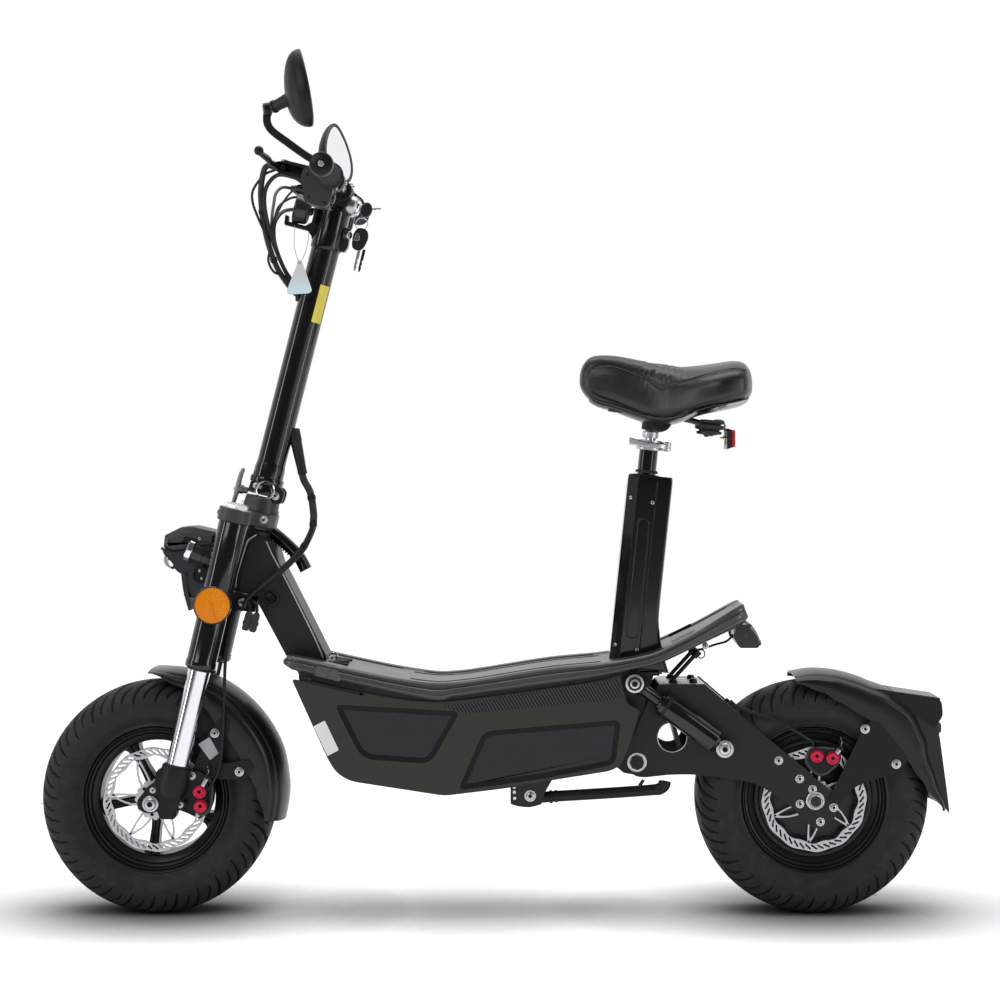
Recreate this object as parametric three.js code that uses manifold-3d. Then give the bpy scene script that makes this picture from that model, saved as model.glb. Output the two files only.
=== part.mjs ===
// A seated electric scooter at full size, in millimetres. The front is towards -X, the rider's left is
// towards -Y and up is +Z. Heights among the sizes below are measured from the line of the wheel axles.
import * as THREE from 'three';
import { mergeVertices } from 'three/addons/utils/BufferGeometryUtils.js';
import Module from 'manifold-3d';

const wasm = await Module();
wasm.setup();

// Clearances
const restGap = 0.3;
const runningGap = 0.8;
const cutOverrun = 6;
const weldDistance = 0.0001;

// Counts that set how finely round stretches are faceted
const wheelSides = 32;
const roundSides = 16;
const barSides = 10;
const smallSides = 8;
const hexSides = 6;
const ballRings = 6;
const windowSteps = 3;
const cornerSteps = 3;
const cableStepsPerPoint = 2;

// Layout of the whole vehicle
const wheelBase = 999;
const rearAxleX = 416;
const frontAxleX = rearAxleX - wheelBase;
const rake = THREE.MathUtils.degToRad(13.1);
const columnTilt = THREE.MathUtils.degToRad(1.1);
const forkOffset = 49.3;
const forkDrop = 514.5;
const steerX = frontAxleX + forkOffset * Math.cos(rake) + forkDrop * Math.sin(rake);
const steerZ = forkDrop * Math.cos(rake) - forkOffset * Math.sin(rake);

// Wheels
const tyre = {
  radius: 178, width: 112, crownWidth: 44, shoulderRadius: 169, shoulderWidth: 84,
  bulgeRadius: 142, beadRadius: 108, beadWidth: 84, wall: 11,
};
const rim = { flangeRadius: 114, flangeThickness: 3.5, barrelWall: 7 };
const rimInnerRadius = tyre.beadRadius - restGap - rim.barrelWall;
const hub = { radius: 24, farLength: 44, spokeWidth: 17, spokeDepth: 18, spokeInset: 6, spokeCount: 5 };
const motor = { halfWidth: 38, bossRadius: 30, coverRise: 4, coverRadius: 84 };
const disc = {
  radius: 80, bandWidth: 15, thickness: 2, offset: 50, carrierRadius: 27, spokeWidth: 6,
  windowCount: 6,
};
const frontAxle = { radius: 8, headRadius: 12, headLength: 8, spacerRadius: 11.5 };
const rearAxle = { radius: 8, nutRadius: 14, nutLength: 9, spacerRadius: 12 };

// Fork
const leg = {
  lead: 25, halfSpacing: 80, outerRadius: 22.5, innerRadius: 17, bottom: -302, stanchionTop: -150,
  stanchionBottom: -490, boreTop: -84, capRadius: 18, capTop: -47,
};
const forkBracket = {
  front: -44, rear: 8, bottom: -527, top: -454, inner: 66, outer: 94, earRadius: 17,
  cornerRadius: 8,
};
const lowerYoke = { top: -183, bottom: -207, front: -52, rear: -3, halfWidth: 104, bossRadius: 25 };
const upperYoke = { top: -56, bottom: -76, front: -51, rear: -1, halfWidth: 104, bossRadius: 30 };
const stem = { radius: 14, top: -36 };
const headTube = { radius: 27, boreRadius: 16.5, bottom: -180, top: -76.8 };
const reflector = { radius: 28.5, thickness: 7 };

// Headlight, hung between the fork legs
const headlight = { left: -140, low: -178, length: 94, height: 79, halfWidth: 42, footHalfWidth: 36 };
const headlightShares = [
  [0.02, 0.71], [0.27, 0.89], [0.48, 1], [0.94, 1], [0.98, 0.82], [1, 0.63], [0.87, 0.35],
  [0.6, 0.25], [0.38, 0], [0.13, 0.08], [0.04, 0.25], [0.13, 0.48], [0, 0.58],
];
const shield = { left: -92, low: -226, length: 34, height: 56, halfWidth: 40 };
const shieldShares = [[0, 1], [0.3, 0.5], [0.74, 0], [0.88, 0.05], [0.5, 0.55], [0.24, 1]];
const headlightFoot = { thickness: 6, top: -140, bottom: -205, shelfFront: -80, shelfBottom: -198 };

// Fold joint at the foot of the column
const fold = {
  pivotX: 21, pivotZ: -26, lugRadius: 11, lugHalfWidth: 9, pinRadius: 4.5, baseRadius: 24,
  baseTop: -32, footRadius: 25, footTop: 22, footInset: 2.5,
};
const foldLever = {
  z: -27.7, studRadius: 4, studFront: -37, bossRadius: 7, bladeFront: -46, bladeThickness: 4,
  bladeTop: 4, bladeBottom: -53, bladeWidth: 15,
};

// Column, measured along itself from the same origin as the fork
const column = {
  radius: 22, flatAt: 18.5, boreRadius: 17.5, top: 430, sleeveRadius: 24, sleeveBottom: 361,
  sleeveTop: 421, capRadius: 19, cableHoleRadius: 8, cableHoleZ: 281, boreBottom: 30,
};
const gland = { startX: 18, startZ: 84, endX: 47, endZ: 24, startRadius: 10, endRadius: 7.5 };
const bar = { x: 3, z: 452, radius: 11, halfLength: 312, clampRadius: 17, clampHalfWidth: 24 };
const grip = { radius: 16, length: 118, flangeRadius: 20, flangeLength: 5 };
const controls = {
  front: -39, rear: 12, bottom: 404, corner: 10, ringRadius: 19, width: 40,
  perchWidth: 26, perchReach: -86, perchHeight: 22, perchRadius: 17,
};
const lever = {
  pivotX: -74, pivotRadius: 7, thickness: 9, tipX: -91, tipInset: 22, ballRadius: 7, bladeRadius: 5,
};
const horn = { front: -62, thickness: 24, radius: 23, z: 410 };
const hornButton = { radius: 7, z: 422, stand: 4, length: 11, travel: 3 };
const hornBracket = { left: -70, low: 362, length: 52, height: 40, halfThickness: 4 };
const hornBracketShares = [[0, 0.48], [0.62, 0.5], [1, 0], [1, 1], [0.7, 0.72], [0.06, 0.7]];
const ignition = {
  radius: 10, z: 434, reach: 36, keyholeRadius: 2.5, keyholeDepth: 20, stemRadius: 2,
  stemLength: 16, headLength: 18, headHeight: 24, headHalfThickness: 3.5, headGap: 1, headCorner: 6,
};

// Mirrors on the bar ends
const mirror = {
  leftX: -41, rightX: -59, y: 343, z: 547, halfWidth: 40, halfHeight: 54, depth: 30, rimDepth: 5,
  glassInset: 3.5, glassRecess: 1.5, yaw: THREE.MathUtils.degToRad(25),
  tilt: THREE.MathUtils.degToRad(24), neckRadius: 7,
};
const mirrorBackShares = [[0, 1], [0.45, 0.9], [0.8, 0.6]];
const mirrorArm = {
  hubRadius: 17, hubThickness: 17, rodRadius: 5.5, socketRadius: 10,
  bendX: -78, bendZ: 480, kneeX: -20, kneeZ: 458, topX: -87, topZ: 508,
};

// Neck of the frame
const neck = { left: -462, low: 170, length: 137, height: 237, halfWidth: 40, wall: 4 };
const neckShares = [
  [0.175, 0.985], [0.416, 0.92], [0.474, 0.797], [0.847, 0.375], [1, 0.198], [1, 0],
  [0.7, 0], [0.693, 0.084], [0.547, 0.207], [0.2, 0.582], [0.022, 0.614],
];
const neckHollowShares = [
  [0.44, 0.768], [0.81, 0.36], [0.962, 0.19], [0.962, -0.08], [0.75, -0.08], [0.735, 0.1],
  [0.585, 0.22], [0.235, 0.574],
];

// Deck
const deck = {
  left: -386, low: 157, length: 702, height: 141, halfWidth: 102, seatHoleGap: 0.6,
  taperStart: 165, tailHalfWidth: 60,
};
const deckTopShares = [
  [0, 0.41], [0.02, 0.461], [0.146, 0.326], [0.318, 0.177], [0.424, 0.22], [0.571, 0.335],
  [0.692, 0.394], [0.784, 0.48], [0.893, 0.727], [0.981, 0.975], [0.992, 0.95], [1, 0.865],
];
const deckUndersideShares = [
  [0, 0.37], [0.026, 0.305], [0.305, 0], [0.424, 0.057], [0.573, 0.16], [0.679, 0.237],
  [0.761, 0.323], [0.804, 0.37], [0.886, 0.546], [0.997, 0.804],
];

// Chassis tray under the deck, with a lower line that the side panels and the battery follow
const tray = { left: -362, right: 123, outerHalfWidth: 88.7, wall: 4 };
const trayFloor = [
  { x: -312, z: 72 }, { x: -283, z: 40 }, { x: -143, z: 18 }, { x: -43, z: 30 }, { x: 123, z: 56 },
];
const tail = { left: 112, low: 38, length: 60, height: 155.7, halfWidth: 57.3 };
const tailShares = [
  [0, 0.1], [0.25, 0.02], [0.58, 0], [0.82, 0.04], [0.88, 0.13], [0.82, 0.25], [0.72, 0.6],
  [1, 0.965], [1, 1], [0.04, 1], [0, 0.9],
];
const tailHollowShares = [
  [0.1, 0.14], [0.3, 0.07], [0.56, 0.05], [0.74, 0.08], [0.78, 0.13], [0.74, 0.24], [0.62, 0.57],
  [0.88, 0.93], [0.13, 0.95], [0.1, 0.86],
];
const seatMount = { front: 108, rear: 181, thickness: 5.5, top: 193.7 };
const shockEar = { left: 112, low: 150, length: 44, height: 52, inner: 64.3, outer: 70 };
const shockEarShares = [[0, 0.85], [0.86, 0.92], [1, 0.58], [0.9, 0.3], [0.6, 0.16], [0, 0]];
const standBracket = { left: -44, low: -6, length: 64, height: 44 };
const standInner = tray.outerHalfWidth - tray.wall;
const standBracketShares = [[0, 1], [0, 0.12], [0.2, 0.03], [0.45, 0], [0.72, 0.1], [0.8, 0.5], [1, 1]];

// Side panels
const panel = { left: -372, low: 12, length: 529, height: 191, inner: 89, outer: 94 };
const panelShares = [
  [0, 0.916], [0.1, 0.304], [0.123, 0.19], [0.163, 0.115], [0.433, 0], [0.622, 0.063],
  [0.722, 0.115], [0.902, 0.194], [0.934, 0.24], [0.96, 0.415], [0.987, 0.67], [0.951, 0.72],
  [0.941, 0.82], [0.93, 0.95], [0.87, 0.9], [0.533, 0.765], [0.376, 0.722],
];
const inlay = { depth: 1.5, cornerRadius: 8 };
const frontInlayShares = [[0.125, 0.71], [0.474, 0.655], [0.392, 0.257], [0.2, 0.295]];
const rearInlayShares = [[0.539, 0.476], [0.966, 0.58], [0.926, 0.29], [0.457, 0.045]];

// Things inside the tray
const battery = { left: -279, right: 38, top: 142, halfWidth: 78 };
const controller = { left: 46, right: 112, top: 150, halfWidth: 60 };

// Swingarm and shock absorbers
const armPivot = { x: 146.6, z: 58, boltRadius: 7, headRadius: 11, headLength: 6 };
const arm = { left: 128, low: -46, length: 322, height: 222, inner: 58, outer: 63 };
const armShares = [
  [0, 0.468], [0.034, 0.383], [0.08, 0.363], [0.208, 0.383], [0.323, 0.387], [0.627, 0.329],
  [0.798, 0.149], [0.845, 0.059], [0.922, 0], [0.994, 0.081], [1, 0.239], [0.882, 0.374],
  [0.736, 0.54], [0.55, 0.77], [0.366, 1], [0.161, 1], [0.115, 0.9], [0.006, 0.532],
];
const armHole = { x: 200, z: 96, radius: 22 };
const armPlate = { front: 190, rear: 244, bottomRear: 226, thickness: 5, topZ: 173, bottomZ: 42 };
const shock = {
  y: 82.5, topX: 142, topZ: 180, bottomX: 277, bottomZ: 82, bodyRadius: 18.5, rodRadius: 9,
  bodyLength: 112, eyeRadius: 12, eyeHalfWidth: 11, pinRadius: 6, pinHeadRadius: 11,
  pinHeadLength: 5, rodInset: 34, bodyWall: 4,
};

// Seat
const seat = {
  x: 138.5, z: 194, lean: THREE.MathUtils.degToRad(6), halfDepth: 34, halfWidth: 35, height: 298,
  chamfer: 15, wall: 4, flareReach: 12, flareKnee: 27, flareTop: 82, flareHalfWidth: 30, tubeX: -6,
  tubeRadius: 14.5, tubeTop: 336, tubeBottom: 170, capThickness: 8,
};
const post = { radius: 9, bottom: 200, top: 384 };
const seatClamp = {
  bottom: 337, height: 16, radius: 20, leverLength: 46, leverWidth: 9, leverThickness: 5,
};
const carrier = {
  clampRadius: 15, clampBottom: 368, railRadius: 4, railSpacing: 22,
  railFront: -74, railRear: 96, railTop: 396, springX: 83, springRadius: 15, springBottom: 373,
  springTop: 392, springSpacing: 46, barRadius: 4,
};
const saddle = {
  noseX: 60, length: 264, low: 570, height: 107, halfWidth: 110, sections: 16, ringPoints: 18,
  middleShare: 0.45, sideShare: 0.8, crownShare: 0.75, bellyShare: 0.5,
};
const railRecess = { left: 94, right: 296, halfWidth: 30, top: 595.9 };
const springRecess = { left: 236, right: 286, halfWidth: 65, top: 579.5 };
const saddleTopShares = [0.69, 0.98, 0.99, 0.93, 0.845, 0.79, 0.785, 0.84, 0.905, 0.74];
const saddleLowShares = [0.66, 0.235, 0.14, 0.1, 0.04, 0, 0.01, 0.06, 0.14, 0.3];
const saddleWidthShares = [0.1, 0.27, 0.31, 0.34, 0.42, 0.6, 0.82, 0.97, 1, 0.6];

// Fenders; their shares run from the rear or lower end to the other end of the arc, and the shoulder
// shares give the fall and the inset of the section between its edge and its crown
const shoulderShares = [[1, 0], [0.55, 0.17], [0.13, 0.55]];
const frontFender = {
  outerRadius: 202.5, shell: 2.5, halfWidth: 61, skirtRadius: 144, from: 1.5, to: 104.8, steps: 12,
  edgeDrop: 30,
  dropShares: [1, 1, 1, 1, 1, 1, 0.85, 0.3],
  crownShares: [0.973, 0.977, 0.984, 0.991, 1, 0.99, 0.946],
  skirtShares: [0.1, 0.7, 1, 1, 0.63, 0.1, 0, 0.04],
};
const fenderStay = { inner: 61, outer: 65.7, left: -4, low: -464, length: 92, height: 96 };
const fenderStayShares = [
  [0.043, 0.01], [0.261, 0.01], [0.848, 0.104], [1, 0.313], [0.87, 0.458], [0.413, 0.25],
  [0.435, 0.958], [0.261, 1], [0.13, 0.708], [0.011, 0.125],
];
const rearFender = {
  outerRadius: 213, shell: 2.5, halfWidth: 66, skirtRadius: 147, from: -9, to: 99, steps: 14,
  edgeDrop: 20,
  dropShares: [0.4, 0.8, 1, 1, 1, 1, 0.8, 0.5],
  crownShares: [0.953, 0.911, 0.9, 0.94, 0.972, 0.953, 0.925, 0.92, 0.915, 0.9],
  skirtShares: [0.04, 0.35, 0.7, 1, 1, 1, 1, 0.8, 0.45, 0.1],
};
const plateCarrier = { left: 500, low: 108, length: 112, height: 60, halfWidth: 48 };
const plateCarrierShares = [
  [0, 0.96], [0.1, 1], [0.98, 0.72], [1, 0.3], [0.88, 0], [0.6, 0.35], [0.45, 0.62],
];
const rearStay = { left: 436, low: -12, length: 134, height: 138, inner: 63.3, outer: 66.3 };
const rearStayShares = [
  [0, 0.1], [0.1, 0.04], [0.3, 0.26], [0.84, 0.42], [0.9, 0.56], [0.55, 0.98], [0.42, 0.94], [0.2, 0.5],
];

// Calipers, tail light, kickstand
const caliperGap = 1.2;
const frontCaliper = { left: 0, low: -520, length: 46, height: 54, inner: 38, outer: 65.7 };
const rearCaliper = { left: 396, low: 31, length: 62, height: 51, inner: 43, outer: 57.7 };
const caliperShares = [[0, 0.1], [0.5, 0], [1, 0.25], [0.9, 0.75], [0.6, 1], [0.05, 1]];
const tailLight = { inset: 21, hang: 32.3, length: 42.5, height: 38, halfWidth: 42 };
const tailLightShares = [
  [0.007, 0.4], [0.038, 0.73], [0.19, 0.93], [0.367, 0.97], [0.485, 0.966], [0.753, 0.666],
  [0.993, 0.2], [0.904, 0], [0.216, 0],
];
const kickstand = {
  pivotX: -6, pivotZ: 8, y: -74, legRadius: 8.5, barrelRadius: 11, reach: 186, rise: 12,
  boltRadius: 4.5, headRadius: 8, headLength: 4, hookRise: 10, hookReach: 8,
};

// Free-form helpers: closed solids from three.js geometry
function closedGeometry(source) {
  const bare = new THREE.BufferGeometry();
  bare.setAttribute('position', source.getAttribute('position').clone());
  if (source.index) bare.setIndex(source.index.clone());
  const merged = mergeVertices(bare, weldDistance);
  const corners = merged.index.array;
  const kept = [];
  for (let i = 0; i < corners.length; i += 3) {
    const [a, b, c] = [corners[i], corners[i + 1], corners[i + 2]];
    if (a !== b && b !== c && c !== a) kept.push(a, b, c);
  }
  const facesIn = signedVolume(merged.getAttribute('position'), kept) < 0;
  merged.setIndex(facesIn ? kept.reverse() : kept);
  return merged;
}

function signedVolume(position, corners) {
  const [a, b, c] = [new THREE.Vector3(), new THREE.Vector3(), new THREE.Vector3()];
  let sum = 0;
  for (let i = 0; i < corners.length; i += 3) {
    a.fromBufferAttribute(position, corners[i]);
    b.fromBufferAttribute(position, corners[i + 1]);
    c.fromBufferAttribute(position, corners[i + 2]);
    sum += a.dot(b.cross(c));
  }
  return sum / 6;
}

function solid(source) {
  const geometry = closedGeometry(source);
  return new wasm.Manifold(new wasm.Mesh({
    numProp: 3,
    vertProperties: new Float32Array(geometry.getAttribute('position').array),
    triVerts: new Uint32Array(geometry.index.array),
  }));
}

function join(first, ...others) {
  return others.reduce((whole, next) => whole.add(next), first);
}

function cut(whole, ...tools) {
  return tools.reduce((rest, tool) => rest.subtract(tool), whole);
}

function box(xFrom, xTo, yFrom, yTo, zFrom, zTo) {
  const geometry = new THREE.BoxGeometry(xTo - xFrom, yTo - yFrom, zTo - zFrom);
  return geometry.translate((xFrom + xTo) / 2, (yFrom + yTo) / 2, (zFrom + zTo) / 2);
}

// A round bar between two points, tapered when the end radius differs
function rod(from, to, radius, endRadius = radius, sides = roundSides) {
  const [start, end] = [new THREE.Vector3(...from), new THREE.Vector3(...to)];
  const direction = end.clone().sub(start);
  const geometry = new THREE.CylinderGeometry(endRadius, radius, direction.length(), sides);
  const turn = new THREE.Quaternion().setFromUnitVectors(
    new THREE.Vector3(0, 1, 0), direction.clone().normalize());
  const middle = start.add(end).divideScalar(2);
  return geometry.applyQuaternion(turn).translate(middle.x, middle.y, middle.z);
}

function ordered(a, b) {
  return [Math.min(a, b), Math.max(a, b)];
}

// A round bar across the vehicle
function crossRod(x, z, radius, yFrom, yTo, sides = roundSides) {
  return rod([x, yFrom, z], [x, yTo, z], radius, radius, sides);
}

function places(shares, frame) {
  return shares.map(([along, up]) => new THREE.Vector2(
    frame.left + along * frame.length, frame.low + up * frame.height));
}

function outline(points, cornerRadius = 0) {
  const shape = new THREE.Shape();
  points.forEach((corner, i) => {
    const before = points[(i + points.length - 1) % points.length];
    const after = points[(i + 1) % points.length];
    const reachBack = Math.min(cornerRadius, corner.distanceTo(before) / 2);
    const reachOn = Math.min(cornerRadius, corner.distanceTo(after) / 2);
    const start = corner.clone().add(before.clone().sub(corner).setLength(reachBack));
    const end = corner.clone().add(after.clone().sub(corner).setLength(reachOn));
    if (i === 0) shape.moveTo(start.x, start.y);
    else shape.lineTo(start.x, start.y);
    if (cornerRadius > 0) shape.quadraticCurveTo(corner.x, corner.y, end.x, end.y);
  });
  shape.closePath();
  return shape;
}

function rectangle(xFrom, xTo, yFrom, yTo) {
  return [
    new THREE.Vector2(xFrom, yFrom), new THREE.Vector2(xTo, yFrom),
    new THREE.Vector2(xTo, yTo), new THREE.Vector2(xFrom, yTo),
  ];
}

// A side view outline given thickness across the vehicle
function sidePlate(shape, yFrom, yTo) {
  const options = { depth: yTo - yFrom, bevelEnabled: false, curveSegments: cornerSteps };
  return new THREE.ExtrudeGeometry(shape, options).rotateX(Math.PI / 2).translate(0, yTo, 0);
}

// A plate of that kind that reaches as far to the left as to the right
function centredPlate(points, halfWidth, cornerRadius = 0) {
  return solid(sidePlate(outline(points, cornerRadius), -halfWidth, halfWidth));
}

// The same plate on both sides, from an inner to an outer distance
function bothSides(shape, inner, outer) {
  return [solid(sidePlate(shape, -outer, -inner)), solid(sidePlate(shape, inner, outer))];
}

// A plan view outline given height
function slab(shape, zFrom, zTo) {
  const options = { depth: zTo - zFrom, bevelEnabled: false, curveSegments: cornerSteps };
  return new THREE.ExtrudeGeometry(shape, options).translate(0, 0, zFrom);
}

// A ring or wheel turned about the cross axis; the profile is a closed loop of radius and side place
function turned(profile, sides = wheelSides) {
  const points = [...profile, profile[0]].map(([radius, y]) => new THREE.Vector2(radius, y));
  return new THREE.LatheGeometry(points, sides, Math.PI / sides);
}

// A pipe along a hand-placed route
function pipe(route, radius, sides = smallSides) {
  const path = new THREE.CatmullRomCurve3(route.map((point) => new THREE.Vector3(...point)));
  const section = new THREE.Shape();
  for (let i = 0; i < sides; i += 1) {
    const angle = (2 * Math.PI * i) / sides;
    const [x, y] = [radius * Math.cos(angle), radius * Math.sin(angle)];
    if (i === 0) section.moveTo(x, y);
    else section.lineTo(x, y);
  }
  section.closePath();
  return new THREE.ExtrudeGeometry(section, {
    steps: route.length * cableStepsPerPoint, extrudePath: path, bevelEnabled: false,
  });
}

// A closed body through sections that share one count of points
function loft(sections) {
  const count = sections[0].points.length;
  const positions = sections.flatMap((section) => section.points.flatMap((p) => section.place(p)));
  const corners = [];
  for (let s = 0; s + 1 < sections.length; s += 1) {
    for (let i = 0; i < count; i += 1) {
      const next = (i + 1) % count;
      const [a, b] = [s * count + i, s * count + next];
      const [c, d] = [(s + 1) * count + next, (s + 1) * count + i];
      corners.push(a, b, c, a, c, d);
    }
  }
  const lastStart = sections.length - 1;
  for (const [start, first] of [[0, true], [lastStart, false]]) {
    const contour = sections[start].points;
    const forward = (THREE.ShapeUtils.area(contour) > 0) !== first;
    for (const [a, b, c] of THREE.ShapeUtils.triangulateShape(contour, [])) {
      const ends = forward ? [a, b, c] : [a, c, b];
      corners.push(...ends.map((corner) => start * count + corner));
    }
  }
  const geometry = new THREE.BufferGeometry();
  geometry.setAttribute('position', new THREE.Float32BufferAttribute(positions, 3));
  geometry.setIndex(corners);
  return geometry;
}

// A value along a table of shares, eased between its entries
function sampled(shares, t) {
  const place = t * (shares.length - 1);
  const index = Math.min(Math.floor(place), shares.length - 2);
  const rest = place - index;
  const smooth = rest * rest * (3 - 2 * rest);
  return shares[index] + (shares[index + 1] - shares[index]) * smooth;
}

// Height of a line of points at one place along it
function heightAt(line, x) {
  const after = Math.min(Math.max(line.findIndex((point) => point.x >= x), 1), line.length - 1);
  const [a, b] = [line[after - 1], line[after]];
  return a.y + ((b.y - a.y) * (x - a.x)) / (b.x - a.x);
}

const steerMatrix = new THREE.Matrix4()
  .makeRotationY(rake)
  .setPosition(steerX, 0, steerZ);
const inSteering = (geometry) => geometry.applyMatrix4(steerMatrix);
const seatMatrix = new THREE.Matrix4()
  .makeRotationY(seat.lean)
  .setPosition(seat.x, 0, seat.z);

const deckUnderside = places(deckUndersideShares, deck);
const floorLine = trayFloor.map(({ x, z }) => new THREE.Vector2(x, z));

// Finishes
const finishes = {
  frameBlack: { color: 0x15161a, roughness: 0.38, metalness: 0.35 },
  satinBlack: { color: 0x1c1d20, roughness: 0.55, metalness: 0.1 },
  plasticBlack: { color: 0x202224, roughness: 0.6, metalness: 0 },
  rubberBlack: { color: 0x191a1b, roughness: 0.85, metalness: 0 },
  leatherBlack: { color: 0x17181b, roughness: 0.4, metalness: 0 },
  chrome: { color: 0xd7dade, roughness: 0.12, metalness: 1 },
  steel: { color: 0xb5b8bc, roughness: 0.3, metalness: 1 },
  orange: { color: 0xff8a1a, roughness: 0.2, metalness: 0 },
  redGloss: { color: 0xb01822, roughness: 0.25, metalness: 0 },
  batteryBlue: { color: 0x27425e, roughness: 0.5, metalness: 0 },
};

function add(group, name, shape, finish) {
  const { vertProperties, triVerts, numProp } = shape.getMesh();
  const geometry = new THREE.BufferGeometry();
  const positions = new Float32Array(vertProperties);
  geometry.setAttribute('position', new THREE.BufferAttribute(positions, numProp));
  geometry.setIndex(new THREE.BufferAttribute(new Uint32Array(triVerts), 1));
  const mesh = new THREE.Mesh(geometry, new THREE.MeshStandardMaterial(finishes[finish]));
  mesh.name = name;
  group.add(mesh);
  return mesh;
}

// Wheels, each built about its own axle
function tyreSolid() {
  const outer = [
    [tyre.beadRadius, tyre.beadWidth / 2], [rim.flangeRadius + restGap, tyre.beadWidth / 2],
    [tyre.bulgeRadius, tyre.width / 2],
    [tyre.shoulderRadius, tyre.shoulderWidth / 2], [tyre.radius, tyre.crownWidth / 2],
  ];
  const inner = [
    [tyre.radius - tyre.wall, 0],
    [tyre.shoulderRadius - tyre.wall / 2, tyre.shoulderWidth / 2 - tyre.wall],
    [tyre.bulgeRadius, tyre.width / 2 - tyre.wall],
    [tyre.beadRadius, tyre.beadWidth / 2 - tyre.wall],
  ];
  const mirrored = (half) => half.map(([radius, y]) => [radius, -y]);
  const profile = [
    ...mirrored(outer), ...outer.toReversed(), ...inner.toReversed(), ...mirrored(inner).slice(1),
  ];
  return solid(turned(profile));
}

function barrelSolid() {
  const seatRadius = tyre.beadRadius - restGap;
  const lip = tyre.beadWidth / 2 + restGap;
  const edge = lip + rim.flangeThickness;
  const half = [
    [rimInnerRadius, edge], [rim.flangeRadius, edge], [rim.flangeRadius, lip], [seatRadius, lip],
  ];
  return solid(turned([...half.map(([radius, y]) => [radius, -y]), ...half.toReversed()]));
}

function frontRimSolid() {
  const nearEnd = -(disc.offset - disc.thickness / 2 - restGap);
  const hubBody = solid(crossRod(0, 0, hub.radius, nearEnd, hub.farLength));
  const spokes = Array.from({ length: hub.spokeCount }, (_, i) => {
    const overlap = rim.barrelWall / 2;
    const spoke = box(
      hub.radius / 2, rimInnerRadius + overlap, -hub.spokeInset - hub.spokeDepth, -hub.spokeInset,
      -hub.spokeWidth / 2, hub.spokeWidth / 2);
    return solid(spoke.rotateY((2 * Math.PI * i) / hub.spokeCount));
  });
  const bore = solid(crossRod(
    0, 0, frontAxle.radius + runningGap, nearEnd - cutOverrun, hub.farLength + cutOverrun));
  return cut(join(hubBody, barrelSolid(), ...spokes), bore);
}

function rearHubSolid() {
  const nearEnd = -(disc.offset - disc.thickness / 2 - restGap);
  const boreRadius = rearAxle.radius + runningGap;
  const body = solid(crossRod(
    0, 0, rimInnerRadius + rim.barrelWall / 2, -motor.halfWidth, motor.halfWidth, wheelSides));
  const cover = solid(crossRod(
    0, 0, motor.coverRadius, -motor.halfWidth - motor.coverRise, motor.halfWidth + motor.coverRise));
  const boss = solid(crossRod(0, 0, motor.bossRadius, nearEnd, -nearEnd));
  const bore = solid(crossRod(0, 0, boreRadius, nearEnd - cutOverrun, -nearEnd + cutOverrun));
  return cut(join(barrelSolid(), body, cover, boss), bore);
}

// Points on an arc about the axle, from one angle to another
function arcPoints(radius, from, to, steps) {
  return Array.from({ length: steps + 1 }, (_, i) => {
    const angle = from + ((to - from) * i) / steps;
    return new THREE.Vector2(radius * Math.cos(angle), radius * Math.sin(angle));
  });
}

function discSolid(boreRadius) {
  const [near, far] = [-disc.offset - disc.thickness / 2, -disc.offset + disc.thickness / 2];
  const bandRadius = disc.radius - disc.bandWidth;
  const windows = Array.from({ length: disc.windowCount }, (_, i) => {
    const middle = (2 * Math.PI * (i + 0.5)) / disc.windowCount;
    const half = Math.PI / disc.windowCount;
    const outerHalf = half - disc.spokeWidth / 2 / bandRadius;
    const innerHalf = half - disc.spokeWidth / 2 / disc.carrierRadius;
    const points = [
      ...arcPoints(bandRadius, middle - outerHalf, middle + outerHalf, windowSteps),
      ...arcPoints(disc.carrierRadius, middle + innerHalf, middle - innerHalf, windowSteps),
    ];
    return solid(sidePlate(outline(points), near - cutOverrun, far + cutOverrun));
  });
  const plate = crossRod(0, 0, disc.radius, near, far, wheelSides);
  const bore = crossRod(0, 0, boreRadius, near - cutOverrun, far + cutOverrun);
  return cut(solid(plate), ...windows, solid(bore));
}

function addWheel(group, end, hubShape, hubFinish, axleRadius) {
  add(group, `${end}_tyre`, tyreSolid(), 'rubberBlack');
  add(group, `${end}_${end === 'front' ? 'rim' : 'hub_motor'}`, hubShape, hubFinish);
  add(group, `${end}_brake_disc`, discSolid(axleRadius + runningGap), 'steel');
}

// Fork pieces, measured from the steering axis
function legX() {
  return -leg.lead;
}

// The arms of a yoke, a flat bar across both fork legs
function yokeArms(yoke) {
  const shape = outline(
    rectangle(yoke.front, yoke.rear, -yoke.halfWidth, yoke.halfWidth), leg.outerRadius);
  return solid(slab(shape, yoke.bottom, yoke.top));
}

// Holes through a yoke for both fork legs
function legHoles(yoke) {
  return [-1, 1].map((side) => solid(rod(
    [legX(), side * leg.halfSpacing, yoke.bottom - cutOverrun],
    [legX(), side * leg.halfSpacing, yoke.top + cutOverrun], leg.outerRadius + restGap)));
}

function crownSolid() {
  const boss = rod([0, 0, lowerYoke.bottom], [0, 0, lowerYoke.top], lowerYoke.bossRadius);
  const steerer = rod([0, 0, lowerYoke.bottom], [0, 0, stem.top], stem.radius);
  return cut(join(yokeArms(lowerYoke), solid(boss), solid(steerer)), ...legHoles(lowerYoke));
}

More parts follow.
